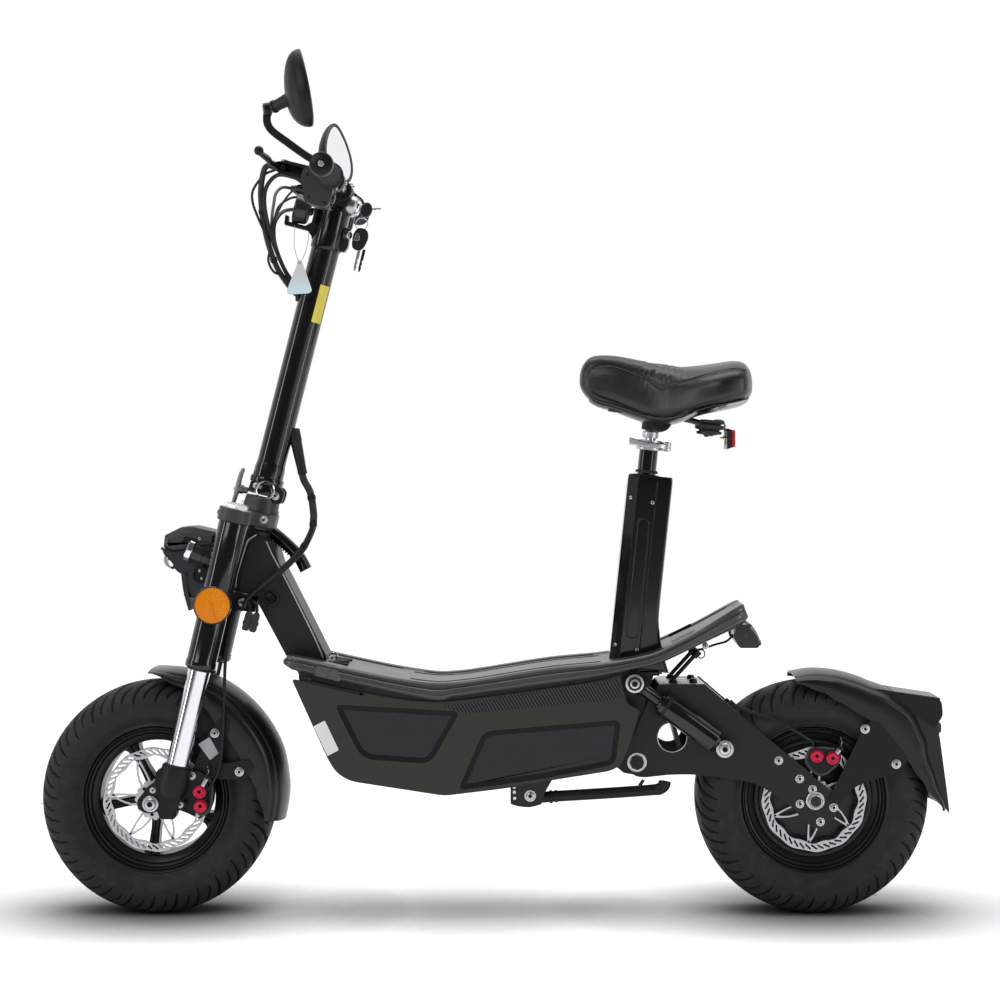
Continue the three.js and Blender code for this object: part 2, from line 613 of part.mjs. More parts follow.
function upperYokeSolid() {
  const boss = rod([0, 0, upperYoke.bottom], [0, 0, upperYoke.top], upperYoke.bossRadius);
  const base = rod([0, 0, upperYoke.bottom], [0, 0, fold.baseTop], fold.baseRadius);
  const lug = join(
    solid(crossRod(fold.pivotX, fold.pivotZ, fold.lugRadius, -fold.lugHalfWidth, fold.lugHalfWidth)),
    solid(box(
      stem.radius + restGap, fold.pivotX, -fold.lugHalfWidth, fold.lugHalfWidth,
      upperYoke.top, fold.pivotZ)));
  const stemHole = solid(rod(
    [0, 0, upperYoke.bottom - cutOverrun], [0, 0, stem.top + restGap], stem.radius + restGap));
  const cheekReach = fold.footRadius + cutOverrun;
  const cheekRoom = [[-cheekReach, -fold.lugHalfWidth], [fold.lugHalfWidth, cheekReach]].map(
    ([from, to]) => solid(crossRod(fold.pivotX, fold.pivotZ, fold.lugRadius + runningGap, from, to)));
  const pinHole = solid(crossRod(
    fold.pivotX, fold.pivotZ, fold.pinRadius + runningGap, -cheekReach, cheekReach, smallSides));
  return cut(
    join(yokeArms(upperYoke), solid(boss), solid(base), lug), ...legHoles(upperYoke), stemHole,
    ...cheekRoom, pinHole);
}

function outerTubeSolid(side) {
  const y = side * leg.halfSpacing;
  const tube = rod([legX(), y, leg.bottom], [legX(), y, upperYoke.top + restGap], leg.outerRadius);
  const cap = rod(
    [legX(), y, upperYoke.top], [legX(), y, leg.capTop], leg.capRadius, leg.capRadius, hexSides);
  const bore = rod(
    [legX(), y, leg.bottom - cutOverrun], [legX(), y, leg.boreTop], leg.innerRadius + restGap);
  return cut(join(solid(tube), solid(cap)), solid(bore));
}

function stanchionSolid(side) {
  const y = side * leg.halfSpacing;
  const ySpan = ordered(side * forkBracket.inner, side * forkBracket.outer);
  const tube = rod([legX(), y, leg.stanchionBottom], [legX(), y, leg.stanchionTop], leg.innerRadius);
  const block = sidePlate(outline(
    rectangle(forkBracket.front, forkBracket.rear, forkBracket.bottom, forkBracket.top),
    forkBracket.cornerRadius), ...ySpan);
  const ear = crossRod(-forkOffset, -forkDrop, forkBracket.earRadius, ...ySpan);
  const bore = crossRod(
    -forkOffset, -forkDrop, frontAxle.radius + restGap, ySpan[0] - cutOverrun, ySpan[1] + cutOverrun);
  return cut(join(solid(tube), solid(block), solid(ear)), solid(bore));
}

function frontAxleSolid() {
  const [x, z] = [-forkOffset, -forkDrop];
  const headStart = forkBracket.outer + restGap;
  const headEnd = headStart + frontAxle.headLength;
  const nearSpacer = -(disc.offset + disc.thickness / 2 + runningGap);
  const shaft = crossRod(x, z, frontAxle.radius, -headEnd, headEnd);
  const heads = [[-headEnd, -headStart], [headStart, headEnd]].map(
    ([from, to]) => solid(crossRod(x, z, frontAxle.headRadius, from, to, smallSides)));
  const spacerEnd = forkBracket.inner - restGap;
  const spacers = [[-spacerEnd, nearSpacer], [hub.farLength + runningGap, spacerEnd]].map(
    ([from, to]) => solid(crossRod(x, z, frontAxle.spacerRadius, from, to)));
  return join(solid(shaft), ...heads, ...spacers);
}

function headlightSolid() {
  const body = centredPlate(places(headlightShares, headlight), headlight.halfWidth);
  const visor = centredPlate(places(shieldShares, shield), shield.halfWidth);
  const footFront = lowerYoke.front - restGap - headlightFoot.thickness;
  const foot = box(
    footFront, lowerYoke.front - restGap, -headlight.footHalfWidth, headlight.footHalfWidth,
    headlightFoot.bottom, headlightFoot.top);
  const shelf = box(
    headlightFoot.shelfFront, footFront + headlightFoot.thickness / 2,
    -headlight.footHalfWidth, headlight.footHalfWidth,
    headlightFoot.shelfBottom, headlightFoot.shelfBottom + headlightFoot.thickness);
  return join(body, visor, solid(foot), solid(shelf));
}

function reflectorSolid(side) {
  const inner = lowerYoke.halfWidth + restGap;
  const span = ordered(side * inner, side * (inner + reflector.thickness));
  return solid(crossRod(legX(), (lowerYoke.top + lowerYoke.bottom) / 2, reflector.radius, ...span));
}

// Fender shells follow an arc about the axle; the section is an arch with side skirts
function fenderSolid(size, centreX, centreZ) {
  const sections = Array.from({ length: size.steps + 1 }, (_, i) => {
    const t = i / size.steps;
    const angle = THREE.MathUtils.degToRad(size.from + (size.to - size.from) * t);
    const crown = size.outerRadius * sampled(size.crownShares, t);
    const drop = size.edgeDrop * sampled(size.dropShares, t);
    const shortest = crown - drop - 2 * size.shell;
    const skirt = shortest - (shortest - size.skirtRadius) * sampled(size.skirtShares, t);
    const shoulder = shoulderShares.map(
      ([fall, inset]) => [crown - fall * drop, size.halfWidth - inset * drop]);
    const half = [[skirt, size.halfWidth], ...shoulder];
    const outer = [...half.map(([radius, y]) => [radius, -y]), [crown, 0], ...half.toReversed()];
    const inner = outer.toReversed().map(([radius, y], corner) => [
      corner % (outer.length - 1) === 0 ? radius : radius - size.shell, y - Math.sign(y) * size.shell]);
    return {
      points: [...outer, ...inner].map(([radius, y]) => new THREE.Vector2(radius, y)),
      place: (p) => [centreX + p.x * Math.cos(angle), p.y, centreZ + p.x * Math.sin(angle)],
    };
  });
  return solid(loft(sections));
}

function frontFenderSolid() {
  const shell = fenderSolid(frontFender, -forkOffset, -forkDrop);
  const stays = bothSides(
    outline(places(fenderStayShares, fenderStay)), fenderStay.inner - restGap, fenderStay.outer);
  return join(shell, ...stays);
}

function caliperSolid(size, discX, discZ) {
  const body = sidePlate(outline(places(caliperShares, size)), -size.outer, -size.inner);
  const slot = crossRod(
    discX, discZ, disc.radius + caliperGap, -disc.offset - disc.thickness / 2 - caliperGap,
    -disc.offset + disc.thickness / 2 + caliperGap, wheelSides);
  return cut(solid(body), solid(slot));
}

// Column pieces
function columnSection(radius) {
  const shape = new THREE.Shape();
  for (let i = 0; i < roundSides; i += 1) {
    const angle = (2 * Math.PI * i) / roundSides;
    const x = Math.max(radius * Math.cos(angle), -column.flatAt);
    const y = radius * Math.sin(angle);
    if (i === 0) shape.moveTo(x, y);
    else shape.lineTo(x, y);
  }
  shape.closePath();
  return shape;
}

function columnSolid() {
  const tilt = new THREE.Matrix4().makeRotationY(columnTilt);
  const tilted = (geometry) => solid(geometry.applyMatrix4(tilt));
  const footBottom = fold.baseTop + restGap;
  const foot = rod([0, 0, footBottom], [0, 0, fold.footTop], fold.footRadius);
  const cheekOuter = fold.footRadius - fold.footInset;
  const cheekInner = fold.lugHalfWidth + runningGap;
  const cheeks = [[-cheekOuter, -cheekInner], [cheekInner, cheekOuter]].map(
    ([from, to]) => solid(crossRod(fold.pivotX, fold.pivotZ, fold.lugRadius, from, to)));
  const slot = box(
    fold.pivotX - fold.lugRadius - runningGap - fold.footInset, fold.footRadius + cutOverrun,
    -cheekInner, cheekInner, footBottom - cutOverrun, fold.pivotZ + fold.lugRadius + runningGap);
  const pin = crossRod(fold.pivotX, fold.pivotZ, fold.pinRadius, -cheekOuter, cheekOuter, smallSides);
  const stud = rod(
    [-fold.footRadius + fold.footInset, 0, foldLever.z], [foldLever.studFront, 0, foldLever.z],
    foldLever.studRadius, foldLever.studRadius, smallSides);
  const tube = tilted(slab(columnSection(column.radius), fold.footTop - cutOverrun, column.top));
  const sleeve = tilted(rod([0, 0, column.sleeveBottom], [0, 0, column.sleeveTop], column.sleeveRadius));
  const cap = tilted(rod([0, 0, column.sleeveTop], [0, 0, bar.z], column.capRadius));
  const clamp = tilted(crossRod(bar.x, bar.z, bar.clampRadius, -bar.clampHalfWidth, bar.clampHalfWidth));
  const lockBarrel = tilted(rod([0, 0, ignition.z], [ignition.reach, 0, ignition.z], ignition.radius));
  const boot = tilted(rod(
    [gland.startX, 0, gland.startZ], [gland.endX, 0, gland.endZ],
    gland.startRadius, gland.endRadius, smallSides));
  const whole = join(
    cut(join(solid(foot), ...cheeks), solid(slot)), solid(pin), solid(stud), tube, sleeve, cap, clamp,
    lockBarrel, boot);
  const bore = tilted(rod(
    [0, 0, column.boreBottom], [0, 0, column.sleeveTop - cutOverrun], column.boreRadius));
  const barHole = tilted(crossRod(
    bar.x, bar.z, bar.radius + restGap, -bar.clampHalfWidth - cutOverrun, bar.clampHalfWidth + cutOverrun));
  const keyhole = tilted(rod(
    [ignition.reach - ignition.keyholeDepth, 0, ignition.z], [ignition.reach + cutOverrun, 0, ignition.z],
    ignition.keyholeRadius, ignition.keyholeRadius, smallSides));
  const cableHole = tilted(rod(
    [-column.radius - cutOverrun, 0, column.cableHoleZ], [0, 0, column.cableHoleZ],
    column.cableHoleRadius, column.cableHoleRadius, smallSides));
  return cut(whole, bore, barHole, keyhole, cableHole);
}

function foldLeverSolid() {
  const bossBack = -fold.footRadius - runningGap;
  const boss = rod(
    [bossBack, 0, foldLever.z], [foldLever.bladeFront + foldLever.bladeThickness, 0, foldLever.z],
    foldLever.bossRadius, foldLever.bossRadius, smallSides);
  const blade = box(
    foldLever.bladeFront, foldLever.bladeFront + foldLever.bladeThickness,
    -foldLever.bladeWidth / 2, foldLever.bladeWidth / 2, foldLever.bladeBottom, foldLever.bladeTop);
  const bore = rod(
    [bossBack + cutOverrun, 0, foldLever.z], [foldLever.studFront - runningGap, 0, foldLever.z],
    foldLever.studRadius + runningGap, foldLever.studRadius + runningGap, smallSides);
  return cut(join(solid(boss), solid(blade)), solid(bore));
}

function handlebarSolid() {
  return solid(crossRod(bar.x, bar.z, bar.radius, -bar.halfLength, bar.halfLength));
}

const gripOuter = bar.halfLength - restGap;
const gripInner = gripOuter - grip.length;

function gripSolid(side) {
  const span = (from, to) => ordered(side * from, side * to);
  const body = crossRod(bar.x, bar.z, grip.radius, ...span(gripInner, gripOuter));
  const flange = crossRod(
    bar.x, bar.z, grip.flangeRadius, ...span(gripInner, gripInner + grip.flangeLength));
  const bore = crossRod(
    bar.x, bar.z, bar.radius + restGap, ...span(gripInner - cutOverrun, gripOuter + cutOverrun));
  return cut(join(solid(body), solid(flange)), solid(bore));
}

const hornButtonY = -(gripInner - runningGap - controls.width / 2);

function hornButtonSolid() {
  const outerEnd = controls.rear + hornButton.stand;
  return solid(rod(
    [outerEnd - hornButton.length, hornButtonY, hornButton.z], [outerEnd, hornButtonY, hornButton.z],
    hornButton.radius));
}

// Switch housing with the brake lever perch beside it, clamped round the bar
function controlsSolid(side) {
  const span = (from, to) => ordered(side * from, side * to);
  const housingOuter = gripInner - runningGap;
  const housingInner = housingOuter - controls.width;
  const perchInner = housingInner - controls.perchWidth;
  const block = sidePlate(outline(
    rectangle(controls.front, controls.rear, controls.bottom, bar.z), controls.corner),
  ...span(housingInner, housingOuter));
  const ring = crossRod(bar.x, bar.z, controls.ringRadius, ...span(housingInner, housingOuter));
  const perchRing = crossRod(
    bar.x, bar.z, controls.perchRadius, ...span(perchInner, housingInner + restGap));
  const perchArm = box(
    controls.perchReach, bar.x, ...span(perchInner, housingInner + restGap),
    bar.z - controls.perchHeight / 2, bar.z + controls.perchHeight / 2);
  const leverRoom = box(
    controls.perchReach - cutOverrun, lever.pivotX + lever.pivotRadius + lever.thickness,
    ...span(perchInner + lever.bladeRadius, housingInner + cutOverrun),
    bar.z - lever.thickness / 2 - runningGap, bar.z + lever.thickness / 2 + runningGap);
  const bore = crossRod(
    bar.x, bar.z, bar.radius + restGap, ...span(perchInner - cutOverrun, housingOuter + cutOverrun));
  const body = cut(
    join(solid(block), solid(ring), solid(perchRing), solid(perchArm)), solid(leverRoom), solid(bore));
  if (side > 0) return body;
  const depth = hornButton.length - hornButton.stand + hornButton.travel + runningGap;
  return cut(body, solid(rod(
    [controls.rear - depth, hornButtonY, hornButton.z],
    [controls.rear + cutOverrun, hornButtonY, hornButton.z], hornButton.radius + runningGap)));
}

function brakeLeverSolid(side) {
  const housingInner = gripInner - runningGap - controls.width;
  const pivotY = housingInner - controls.perchWidth / 2;
  const tipY = gripOuter - lever.tipInset;
  const eye = rod(
    [lever.pivotX, side * pivotY, bar.z - lever.thickness / 2],
    [lever.pivotX, side * pivotY, bar.z + lever.thickness / 2], lever.pivotRadius);
  const neckY = housingInner + controls.perchWidth / 2;
  const inner = rod(
    [lever.pivotX, side * pivotY, bar.z], [lever.tipX, side * neckY, bar.z],
    lever.bladeRadius - runningGap, lever.bladeRadius, smallSides);
  const blade = rod(
    [lever.tipX, side * neckY, bar.z], [lever.tipX, side * tipY, bar.z],
    lever.bladeRadius, lever.bladeRadius, smallSides);
  const ball = new THREE.SphereGeometry(lever.ballRadius, smallSides, ballRings)
    .translate(lever.tipX, side * tipY, bar.z);
  return join(solid(eye), solid(inner), solid(blade), solid(ball));
}

function hornSolid() {
  const can = rod(
    [horn.front, 0, horn.z], [horn.front + horn.thickness, 0, horn.z], horn.radius);
  const plate = centredPlate(places(hornBracketShares, hornBracket), hornBracket.halfThickness);
  const columnRoom = rod(
    [0, 0, hornBracket.low - cutOverrun], [0, 0, hornBracket.low + hornBracket.height + cutOverrun],
    column.sleeveRadius + restGap);
  return cut(join(solid(can), plate), solid(columnRoom));
}

function keySolid() {
  const headStart = ignition.reach + ignition.headGap;
  const shaft = rod(
    [ignition.reach - ignition.stemLength, 0, ignition.z], [headStart + cutOverrun, 0, ignition.z],
    ignition.stemRadius, ignition.stemRadius, smallSides);
  const head = centredPlate(rectangle(
    headStart, headStart + ignition.headLength,
    ignition.z - ignition.headHeight / 2, ignition.z + ignition.headHeight / 2),
  ignition.headHalfThickness, ignition.headCorner);
  return join(solid(shaft), head);
}

function mirrorArmTop(side) {
  const y = bar.halfLength + restGap + mirrorArm.hubThickness / 2;
  return [mirrorArm.topX, side * y, mirrorArm.topZ];
}

function mirrorArmSolid(side) {
  const hubFrom = side * (bar.halfLength + restGap);
  const hubTo = hubFrom + side * mirrorArm.hubThickness;
  const top = mirrorArmTop(side);
  const rodY = top[1];
  const hubBody = crossRod(bar.x, bar.z, mirrorArm.hubRadius, ...ordered(hubFrom, hubTo));
  const route = [
    [bar.x, rodY, bar.z], [mirrorArm.kneeX, rodY, mirrorArm.kneeZ],
    [mirrorArm.bendX, rodY, mirrorArm.bendZ], top,
  ];
  const socket = new THREE.SphereGeometry(mirrorArm.socketRadius, smallSides, ballRings)
    .translate(...top);
  return join(solid(hubBody), solid(pipe(route, mirrorArm.rodRadius)), solid(socket));
}

// Where a mirror head stands, with its glass turned to the rider
function mirrorMatrix(side) {
  const turn = new THREE.Euler(0, -mirror.tilt, -side * mirror.yaw, 'ZYX');
  return new THREE.Matrix4()
    .makeRotationFromEuler(turn)
    .setPosition(side < 0 ? mirror.leftX : mirror.rightX, side * mirror.y, mirror.z);
}

// A mirror head: a dished oval shell whose glass side faces +X, with a neck towards its ball socket
function mirrorHeadSolid(side) {
  const back = mirrorBackShares.map(([out, depth]) => [out, -mirror.depth * depth]);
  const glassEdge = 1 - mirror.glassInset / mirror.halfWidth;
  const profile = [
    ...back, [1, -mirror.rimDepth], [1, 0], [glassEdge, 0], [glassEdge, -mirror.glassRecess],
    [0, -mirror.glassRecess],
  ].map(([out, x]) => new THREE.Vector2(out, x));
  const shell = new THREE.LatheGeometry(profile, roundSides)
    .rotateZ(-Math.PI / 2)
    .scale(1, mirror.halfWidth, mirror.halfHeight);
  const socket = new THREE.Vector3(...mirrorArmTop(side)).applyMatrix4(mirrorMatrix(side).invert());
  const root = new THREE.Vector3(-mirror.depth / 2, 0, socket.z / 2);
  const end = socket.clone().add(root.clone().sub(socket).setLength(mirrorArm.socketRadius + restGap));
  const neckPiece = rod(root.toArray(), end.toArray(), mirror.neckRadius, mirror.neckRadius, smallSides);
  return join(solid(shell), solid(neckPiece)).transform(mirrorMatrix(side).elements);
}

// Frame
function traySolid() {
  const underDeck = (x) => new THREE.Vector2(x, heightAt(deckUnderside, x) - restGap);
  const inside = deckUnderside.filter((point) => point.x > tray.left && point.x < tray.right);
  const roof = [tray.left, ...inside.map((point) => point.x), tray.right].map(underDeck);
  const shell = centredPlate([...floorLine, ...roof.toReversed()], tray.outerHalfWidth);
  const [front, rear] = [tray.left + tray.wall, tray.right - tray.wall];
  const floorPlaces = [floorLine[0].x + tray.wall, ...floorLine.slice(1, -1).map((point) => point.x), rear];
  const hollowFloor = floorPlaces.map((x) => new THREE.Vector2(x, heightAt(floorLine, x) + tray.wall));
  const hollowTop = roof.map((point) => new THREE.Vector2(
    THREE.MathUtils.clamp(point.x, front, rear), point.y + cutOverrun));
  const hollow = centredPlate([...hollowFloor, ...hollowTop.toReversed()], tray.outerHalfWidth - tray.wall);
  return cut(shell, hollow);
}

function frameSolid() {
  const neckBody = centredPlate(places(neckShares, neck), neck.halfWidth);
  const neckHollow = centredPlate(places(neckHollowShares, neck), neck.halfWidth - neck.wall);
  const tube = solid(inSteering(rod([0, 0, headTube.bottom], [0, 0, headTube.top], headTube.radius)));
  const tubeBore = solid(inSteering(rod(
    [0, 0, headTube.bottom - cutOverrun], [0, 0, headTube.top + cutOverrun], headTube.boreRadius)));
  const yokeRoom = solid(inSteering(box(
    lowerYoke.front, headTube.radius + cutOverrun,
    -neck.halfWidth - cutOverrun, neck.halfWidth + cutOverrun, lowerYoke.bottom, headTube.bottom)));
  const tailBox = centredPlate(places(tailShares, tail), tail.halfWidth);
  const tailHollow = solid(sidePlate(
    outline(places(tailHollowShares, tail)), -tail.halfWidth + tray.wall, tail.halfWidth + cutOverrun));
  const ears = bothSides(outline(places(shockEarShares, shockEar)), shockEar.inner, shockEar.outer);
  const stand = solid(sidePlate(
    outline(places(standBracketShares, standBracket)), -tray.outerHalfWidth, -standInner));
  const flange = solid(box(
    seatMount.front, seatMount.rear, -tail.halfWidth, tail.halfWidth,
    seatMount.top - seatMount.thickness, seatMount.top));
  const standBore = solid(crossRod(
    kickstand.pivotX, kickstand.pivotZ, kickstand.boltRadius + runningGap,
    -tray.outerHalfWidth - cutOverrun, -standInner + cutOverrun, smallSides));
  const seatRoom = cut(seatColumnRoom(restGap), solid(box(
    tray.left, seatMount.rear + cutOverrun, -tail.halfWidth, tail.halfWidth, 0, seatMount.top)));
  const whole = join(
    cut(join(neckBody, tube), yokeRoom), traySolid(), cut(tailBox, tailHollow), pivotBolt(), ...ears,
    stand, flange, ...shockStuds(shock.topX, shock.topZ, shockEar.inner));
  return cut(whole, neckHollow, tubeBore, standBore, seatRoom);
}

function seatColumnRoom(gap) {
  const reach = seat.height / 2;
  const body = box(
    -seat.halfDepth - gap, seat.halfDepth + gap, -seat.halfWidth - gap, seat.halfWidth + gap,
    -cutOverrun, reach);
  const flare = box(
    0, seat.halfDepth + seat.flareReach + gap, -seat.flareHalfWidth - gap, seat.flareHalfWidth + gap,
    -cutOverrun, reach);
  return join(solid(body.applyMatrix4(seatMatrix)), solid(flare.applyMatrix4(seatMatrix)));
}

function deckSolid() {
  const points = [...places(deckTopShares, deck), ...deckUnderside.toReversed()];
  const board = centredPlate(points, deck.halfWidth);
  const neckRoom = solid(box(
    deck.left - cutOverrun, neck.left + neck.length + restGap,
    -neck.halfWidth - restGap, neck.halfWidth + restGap, neck.low - cutOverrun, neck.low + neck.height));
  const end = deck.left + deck.length + cutOverrun;
  const tapers = [-1, 1].map((side) => solid(slab(outline([
    new THREE.Vector2(deck.taperStart, side * deck.halfWidth),
    new THREE.Vector2(end, side * deck.tailHalfWidth),
    new THREE.Vector2(end, side * (deck.halfWidth + cutOverrun)),
    new THREE.Vector2(deck.taperStart, side * (deck.halfWidth + cutOverrun)),
  ]), deck.low - cutOverrun, deck.low + deck.height + cutOverrun)));
  return cut(board, neckRoom, seatColumnRoom(deck.seatHoleGap), ...tapers);
}

function panelSolid(side) {
  const inner = side * panel.inner;
  const outer = side * panel.outer;
  const [from, to] = ordered(inner, outer);
  const body = solid(sidePlate(outline(places(panelShares, panel)), from, to));
  const recessInner = side * (panel.outer - inlay.depth);
  const recessOuter = side * (panel.outer + cutOverrun);
  const recesses = [frontInlayShares, rearInlayShares].map((shares) => solid(sidePlate(
    outline(places(shares, panel), inlay.cornerRadius), ...ordered(recessInner, recessOuter))));
  return cut(body, ...recesses);
}

// A block that stands on the tray's floor
function onFloor({ left, right, top, halfWidth }) {
  const lift = tray.wall + restGap;
  const inside = floorLine.filter((point) => point.x > left && point.x < right);
  const ends = [left, right].map((x) => new THREE.Vector2(x, heightAt(floorLine, x)));
  const bottom = [ends[0], ...inside, ends[1]].map((point) => new THREE.Vector2(point.x, point.y + lift));
  return centredPlate(
    [...bottom, new THREE.Vector2(right, top), new THREE.Vector2(left, top)], halfWidth);
}

function pivotBolt() {
  const headStart = arm.outer + restGap;
  const headEnd = headStart + armPivot.headLength;
  const heads = [[-headEnd, -headStart], [headStart, headEnd]].map(
    ([from, to]) => solid(crossRod(armPivot.x, armPivot.z, armPivot.headRadius, from, to, smallSides)));
  return join(solid(crossRod(armPivot.x, armPivot.z, armPivot.boltRadius, -headEnd, headEnd)), ...heads);
}

// Studs that carry the eyes of the shock absorbers, one each side, with a retaining head
function shockStuds(x, z, inner) {
  const headStart = shock.y + shock.eyeHalfWidth + runningGap;
  const headEnd = headStart + shock.pinHeadLength;
  const stretches = [[inner, headEnd, shock.pinRadius], [headStart, headEnd, shock.pinHeadRadius]];
  return [-1, 1].flatMap((side) => stretches.map(([from, to, radius]) => solid(
    crossRod(x, z, radius, ...ordered(side * from, side * to), smallSides))));
}

// Swingarm: two side plates joined by a top and a bottom plate
function armSolid() {
  const plates = bothSides(outline(places(armShares, arm)), arm.inner, arm.outer);
  const crossPlate = (rear, z) => solid(box(
    armPlate.front, rear, -arm.outer, arm.outer, z, z + armPlate.thickness));
  const topPlate = crossPlate(armPlate.rear, armPlate.topZ);
  const bottomPlate = crossPlate(armPlate.bottomRear, armPlate.bottomZ);
  const reach = arm.outer + cutOverrun;
  const hole = solid(crossRod(armHole.x, armHole.z, armHole.radius, -reach, reach));
  const pivotBore = solid(crossRod(armPivot.x, armPivot.z, armPivot.boltRadius + runningGap, -reach, reach));
  const axleBore = solid(crossRod(rearAxleX, 0, rearAxle.radius + restGap, -reach, reach));
  return join(
    cut(join(...plates, topPlate, bottomPlate), hole, pivotBore, axleBore),
    ...shockStuds(shock.bottomX, shock.bottomZ, arm.inner));
}

function rearAxleSolid() {
  const nutStart = arm.outer + restGap;
  const nutEnd = nutStart + rearAxle.nutLength;
  const spacerEnd = disc.offset + disc.thickness / 2 + runningGap;
  const nuts = [[-nutEnd, -nutStart], [nutStart, nutEnd]].map(
    ([from, to]) => solid(crossRod(rearAxleX, 0, rearAxle.nutRadius, from, to, hexSides)));
  const spacers = [[-arm.inner + restGap, -spacerEnd], [spacerEnd, arm.inner - restGap]].map(
    ([from, to]) => solid(crossRod(rearAxleX, 0, rearAxle.spacerRadius, from, to)));
  const endReach = nutEnd + rearAxle.nutLength / 2;
  return join(solid(crossRod(rearAxleX, 0, rearAxle.radius, -endReach, endReach)), ...nuts, ...spacers);
}

function rearFenderSolid() {
  const shell = fenderSolid(rearFender, rearAxleX, 0);
  const carrierPlate = centredPlate(places(plateCarrierShares, plateCarrier), plateCarrier.halfWidth);
  const stays = bothSides(outline(places(rearStayShares, rearStay)), rearStay.inner, rearStay.outer);
  return join(shell, carrierPlate, ...stays);
}

// A shock absorber stands along +Z from its upper eye in its own frame
const shockLength = Math.hypot(shock.bottomX - shock.topX, shock.bottomZ - shock.topZ);

function shockRodSolid() {
  const eye = crossRod(0, 0, shock.eyeRadius, -shock.eyeHalfWidth, shock.eyeHalfWidth);
  const bodyTop = shockLength - shock.bodyLength;
  const stalk = rod([0, 0, 0], [0, 0, bodyTop + shock.rodInset], shock.rodRadius);
  const eyeReach = shock.eyeHalfWidth + cutOverrun;
  const eyeBore = crossRod(0, 0, shock.pinRadius + runningGap, -eyeReach, eyeReach, smallSides);
  return cut(join(solid(eye), solid(stalk)), solid(eyeBore));
}

function shockBodySolid() {
  const bodyTop = shockLength - shock.bodyLength;
  const bodyBottom = shockLength - shock.eyeRadius;
  const tube = rod([0, 0, bodyTop], [0, 0, bodyBottom], shock.bodyRadius);
  const neckPiece = rod([0, 0, bodyBottom - shock.bodyWall], [0, 0, shockLength], shock.eyeHalfWidth);
  const eye = crossRod(0, shockLength, shock.eyeRadius, -shock.eyeHalfWidth, shock.eyeHalfWidth);
  const bore = rod(
    [0, 0, bodyTop - cutOverrun], [0, 0, bodyBottom - shock.bodyWall], shock.rodRadius + runningGap);
  const eyeReach = shock.eyeHalfWidth + cutOverrun;
  const eyeBore = crossRod(
    0, shockLength, shock.pinRadius + runningGap, -eyeReach, eyeReach, smallSides);
  return cut(join(solid(tube), solid(neckPiece), solid(eye)), solid(bore), solid(eyeBore));
}

// Seat pieces, measured along the leaning seat column
function seatColumnSolid() {
  const [d, w, c] = [seat.halfDepth, seat.halfWidth, seat.chamfer];
  const section = [
    [-d + c, -w], [d, -w], [d, w], [-d + c, w], [-d, w - c], [-d, -w + c],
  ].map(([x, y]) => new THREE.Vector2(x, y));
  const body = solid(slab(outline(section), -cutOverrun, seat.height));
  const flareShape = outline([
    new THREE.Vector2(d - seat.wall, -cutOverrun), new THREE.Vector2(d + seat.flareReach, -cutOverrun),
    new THREE.Vector2(d + seat.flareReach, seat.flareKnee), new THREE.Vector2(d, seat.flareTop),
    new THREE.Vector2(d - seat.wall, seat.flareTop),
  ]);
  const flare = solid(sidePlate(flareShape, -seat.flareHalfWidth, seat.flareHalfWidth));
  const inner = [
    [-d + c, -w + seat.wall], [d - seat.wall, -w + seat.wall], [d - seat.wall, w - seat.wall],
    [-d + c, w - seat.wall], [-d + seat.wall, w - c - seat.wall], [-d + seat.wall, -w + c + seat.wall],
  ].map(([x, y]) => new THREE.Vector2(x, y));
  const hollow = solid(slab(outline(inner), -d, seat.height - seat.capThickness));
  const tube = solid(rod([seat.tubeX, 0, seat.tubeBottom], [seat.tubeX, 0, seat.tubeTop], seat.tubeRadius));
  const bore = solid(rod(
    [seat.tubeX, 0, seat.tubeBottom - cutOverrun], [seat.tubeX, 0, seat.tubeTop + cutOverrun],
    post.radius + restGap));
  const below = solid(box(-2 * d, 2 * d, -2 * w, 2 * w, -2 * d, 0).rotateY(-seat.lean));
  return cut(join(cut(join(body, flare), hollow), tube), bore, below);
}

function seatClampSolid() {
  const from = seatClamp.bottom;
  const ring = rod([seat.tubeX, 0, from], [seat.tubeX, 0, from + seatClamp.height], seatClamp.radius);
  const bore = rod(
    [seat.tubeX, 0, from - cutOverrun], [seat.tubeX, 0, from + seatClamp.height + cutOverrun],
    post.radius + restGap);
  const ear = box(
    seat.tubeX + seatClamp.radius / 2, seat.tubeX + seatClamp.radius + seatClamp.leverWidth,
    -seatClamp.radius / 2, seatClamp.radius / 2, from, from + seatClamp.height);
  return cut(join(solid(ring), solid(ear)), solid(bore));
}

function seatLeverSolid() {
  const half = seatClamp.leverWidth / 2;
  const camX = seat.tubeX + seatClamp.radius + half;
  const camY = -seatClamp.radius / 2 - restGap - half;
  const outer = -seatClamp.radius - seatClamp.leverThickness;
  const middle = seatClamp.bottom + seatClamp.height / 2;
  const [low, high] = [middle - half, middle + half];
  const cam = rod([camX, camY, low], [camX, camY, high], half);
  const link = box(camX - half, camX + half, outer, camY, low, high);
  const blade = box(
    camX + half - seatClamp.leverLength, camX + half, outer, outer + seatClamp.leverThickness - runningGap,
    low, high);
  return join(solid(cam), solid(link), solid(blade));
}

function postSolid() {
  return solid(rod([seat.tubeX, 0, post.bottom], [seat.tubeX, 0, post.top], post.radius));
}

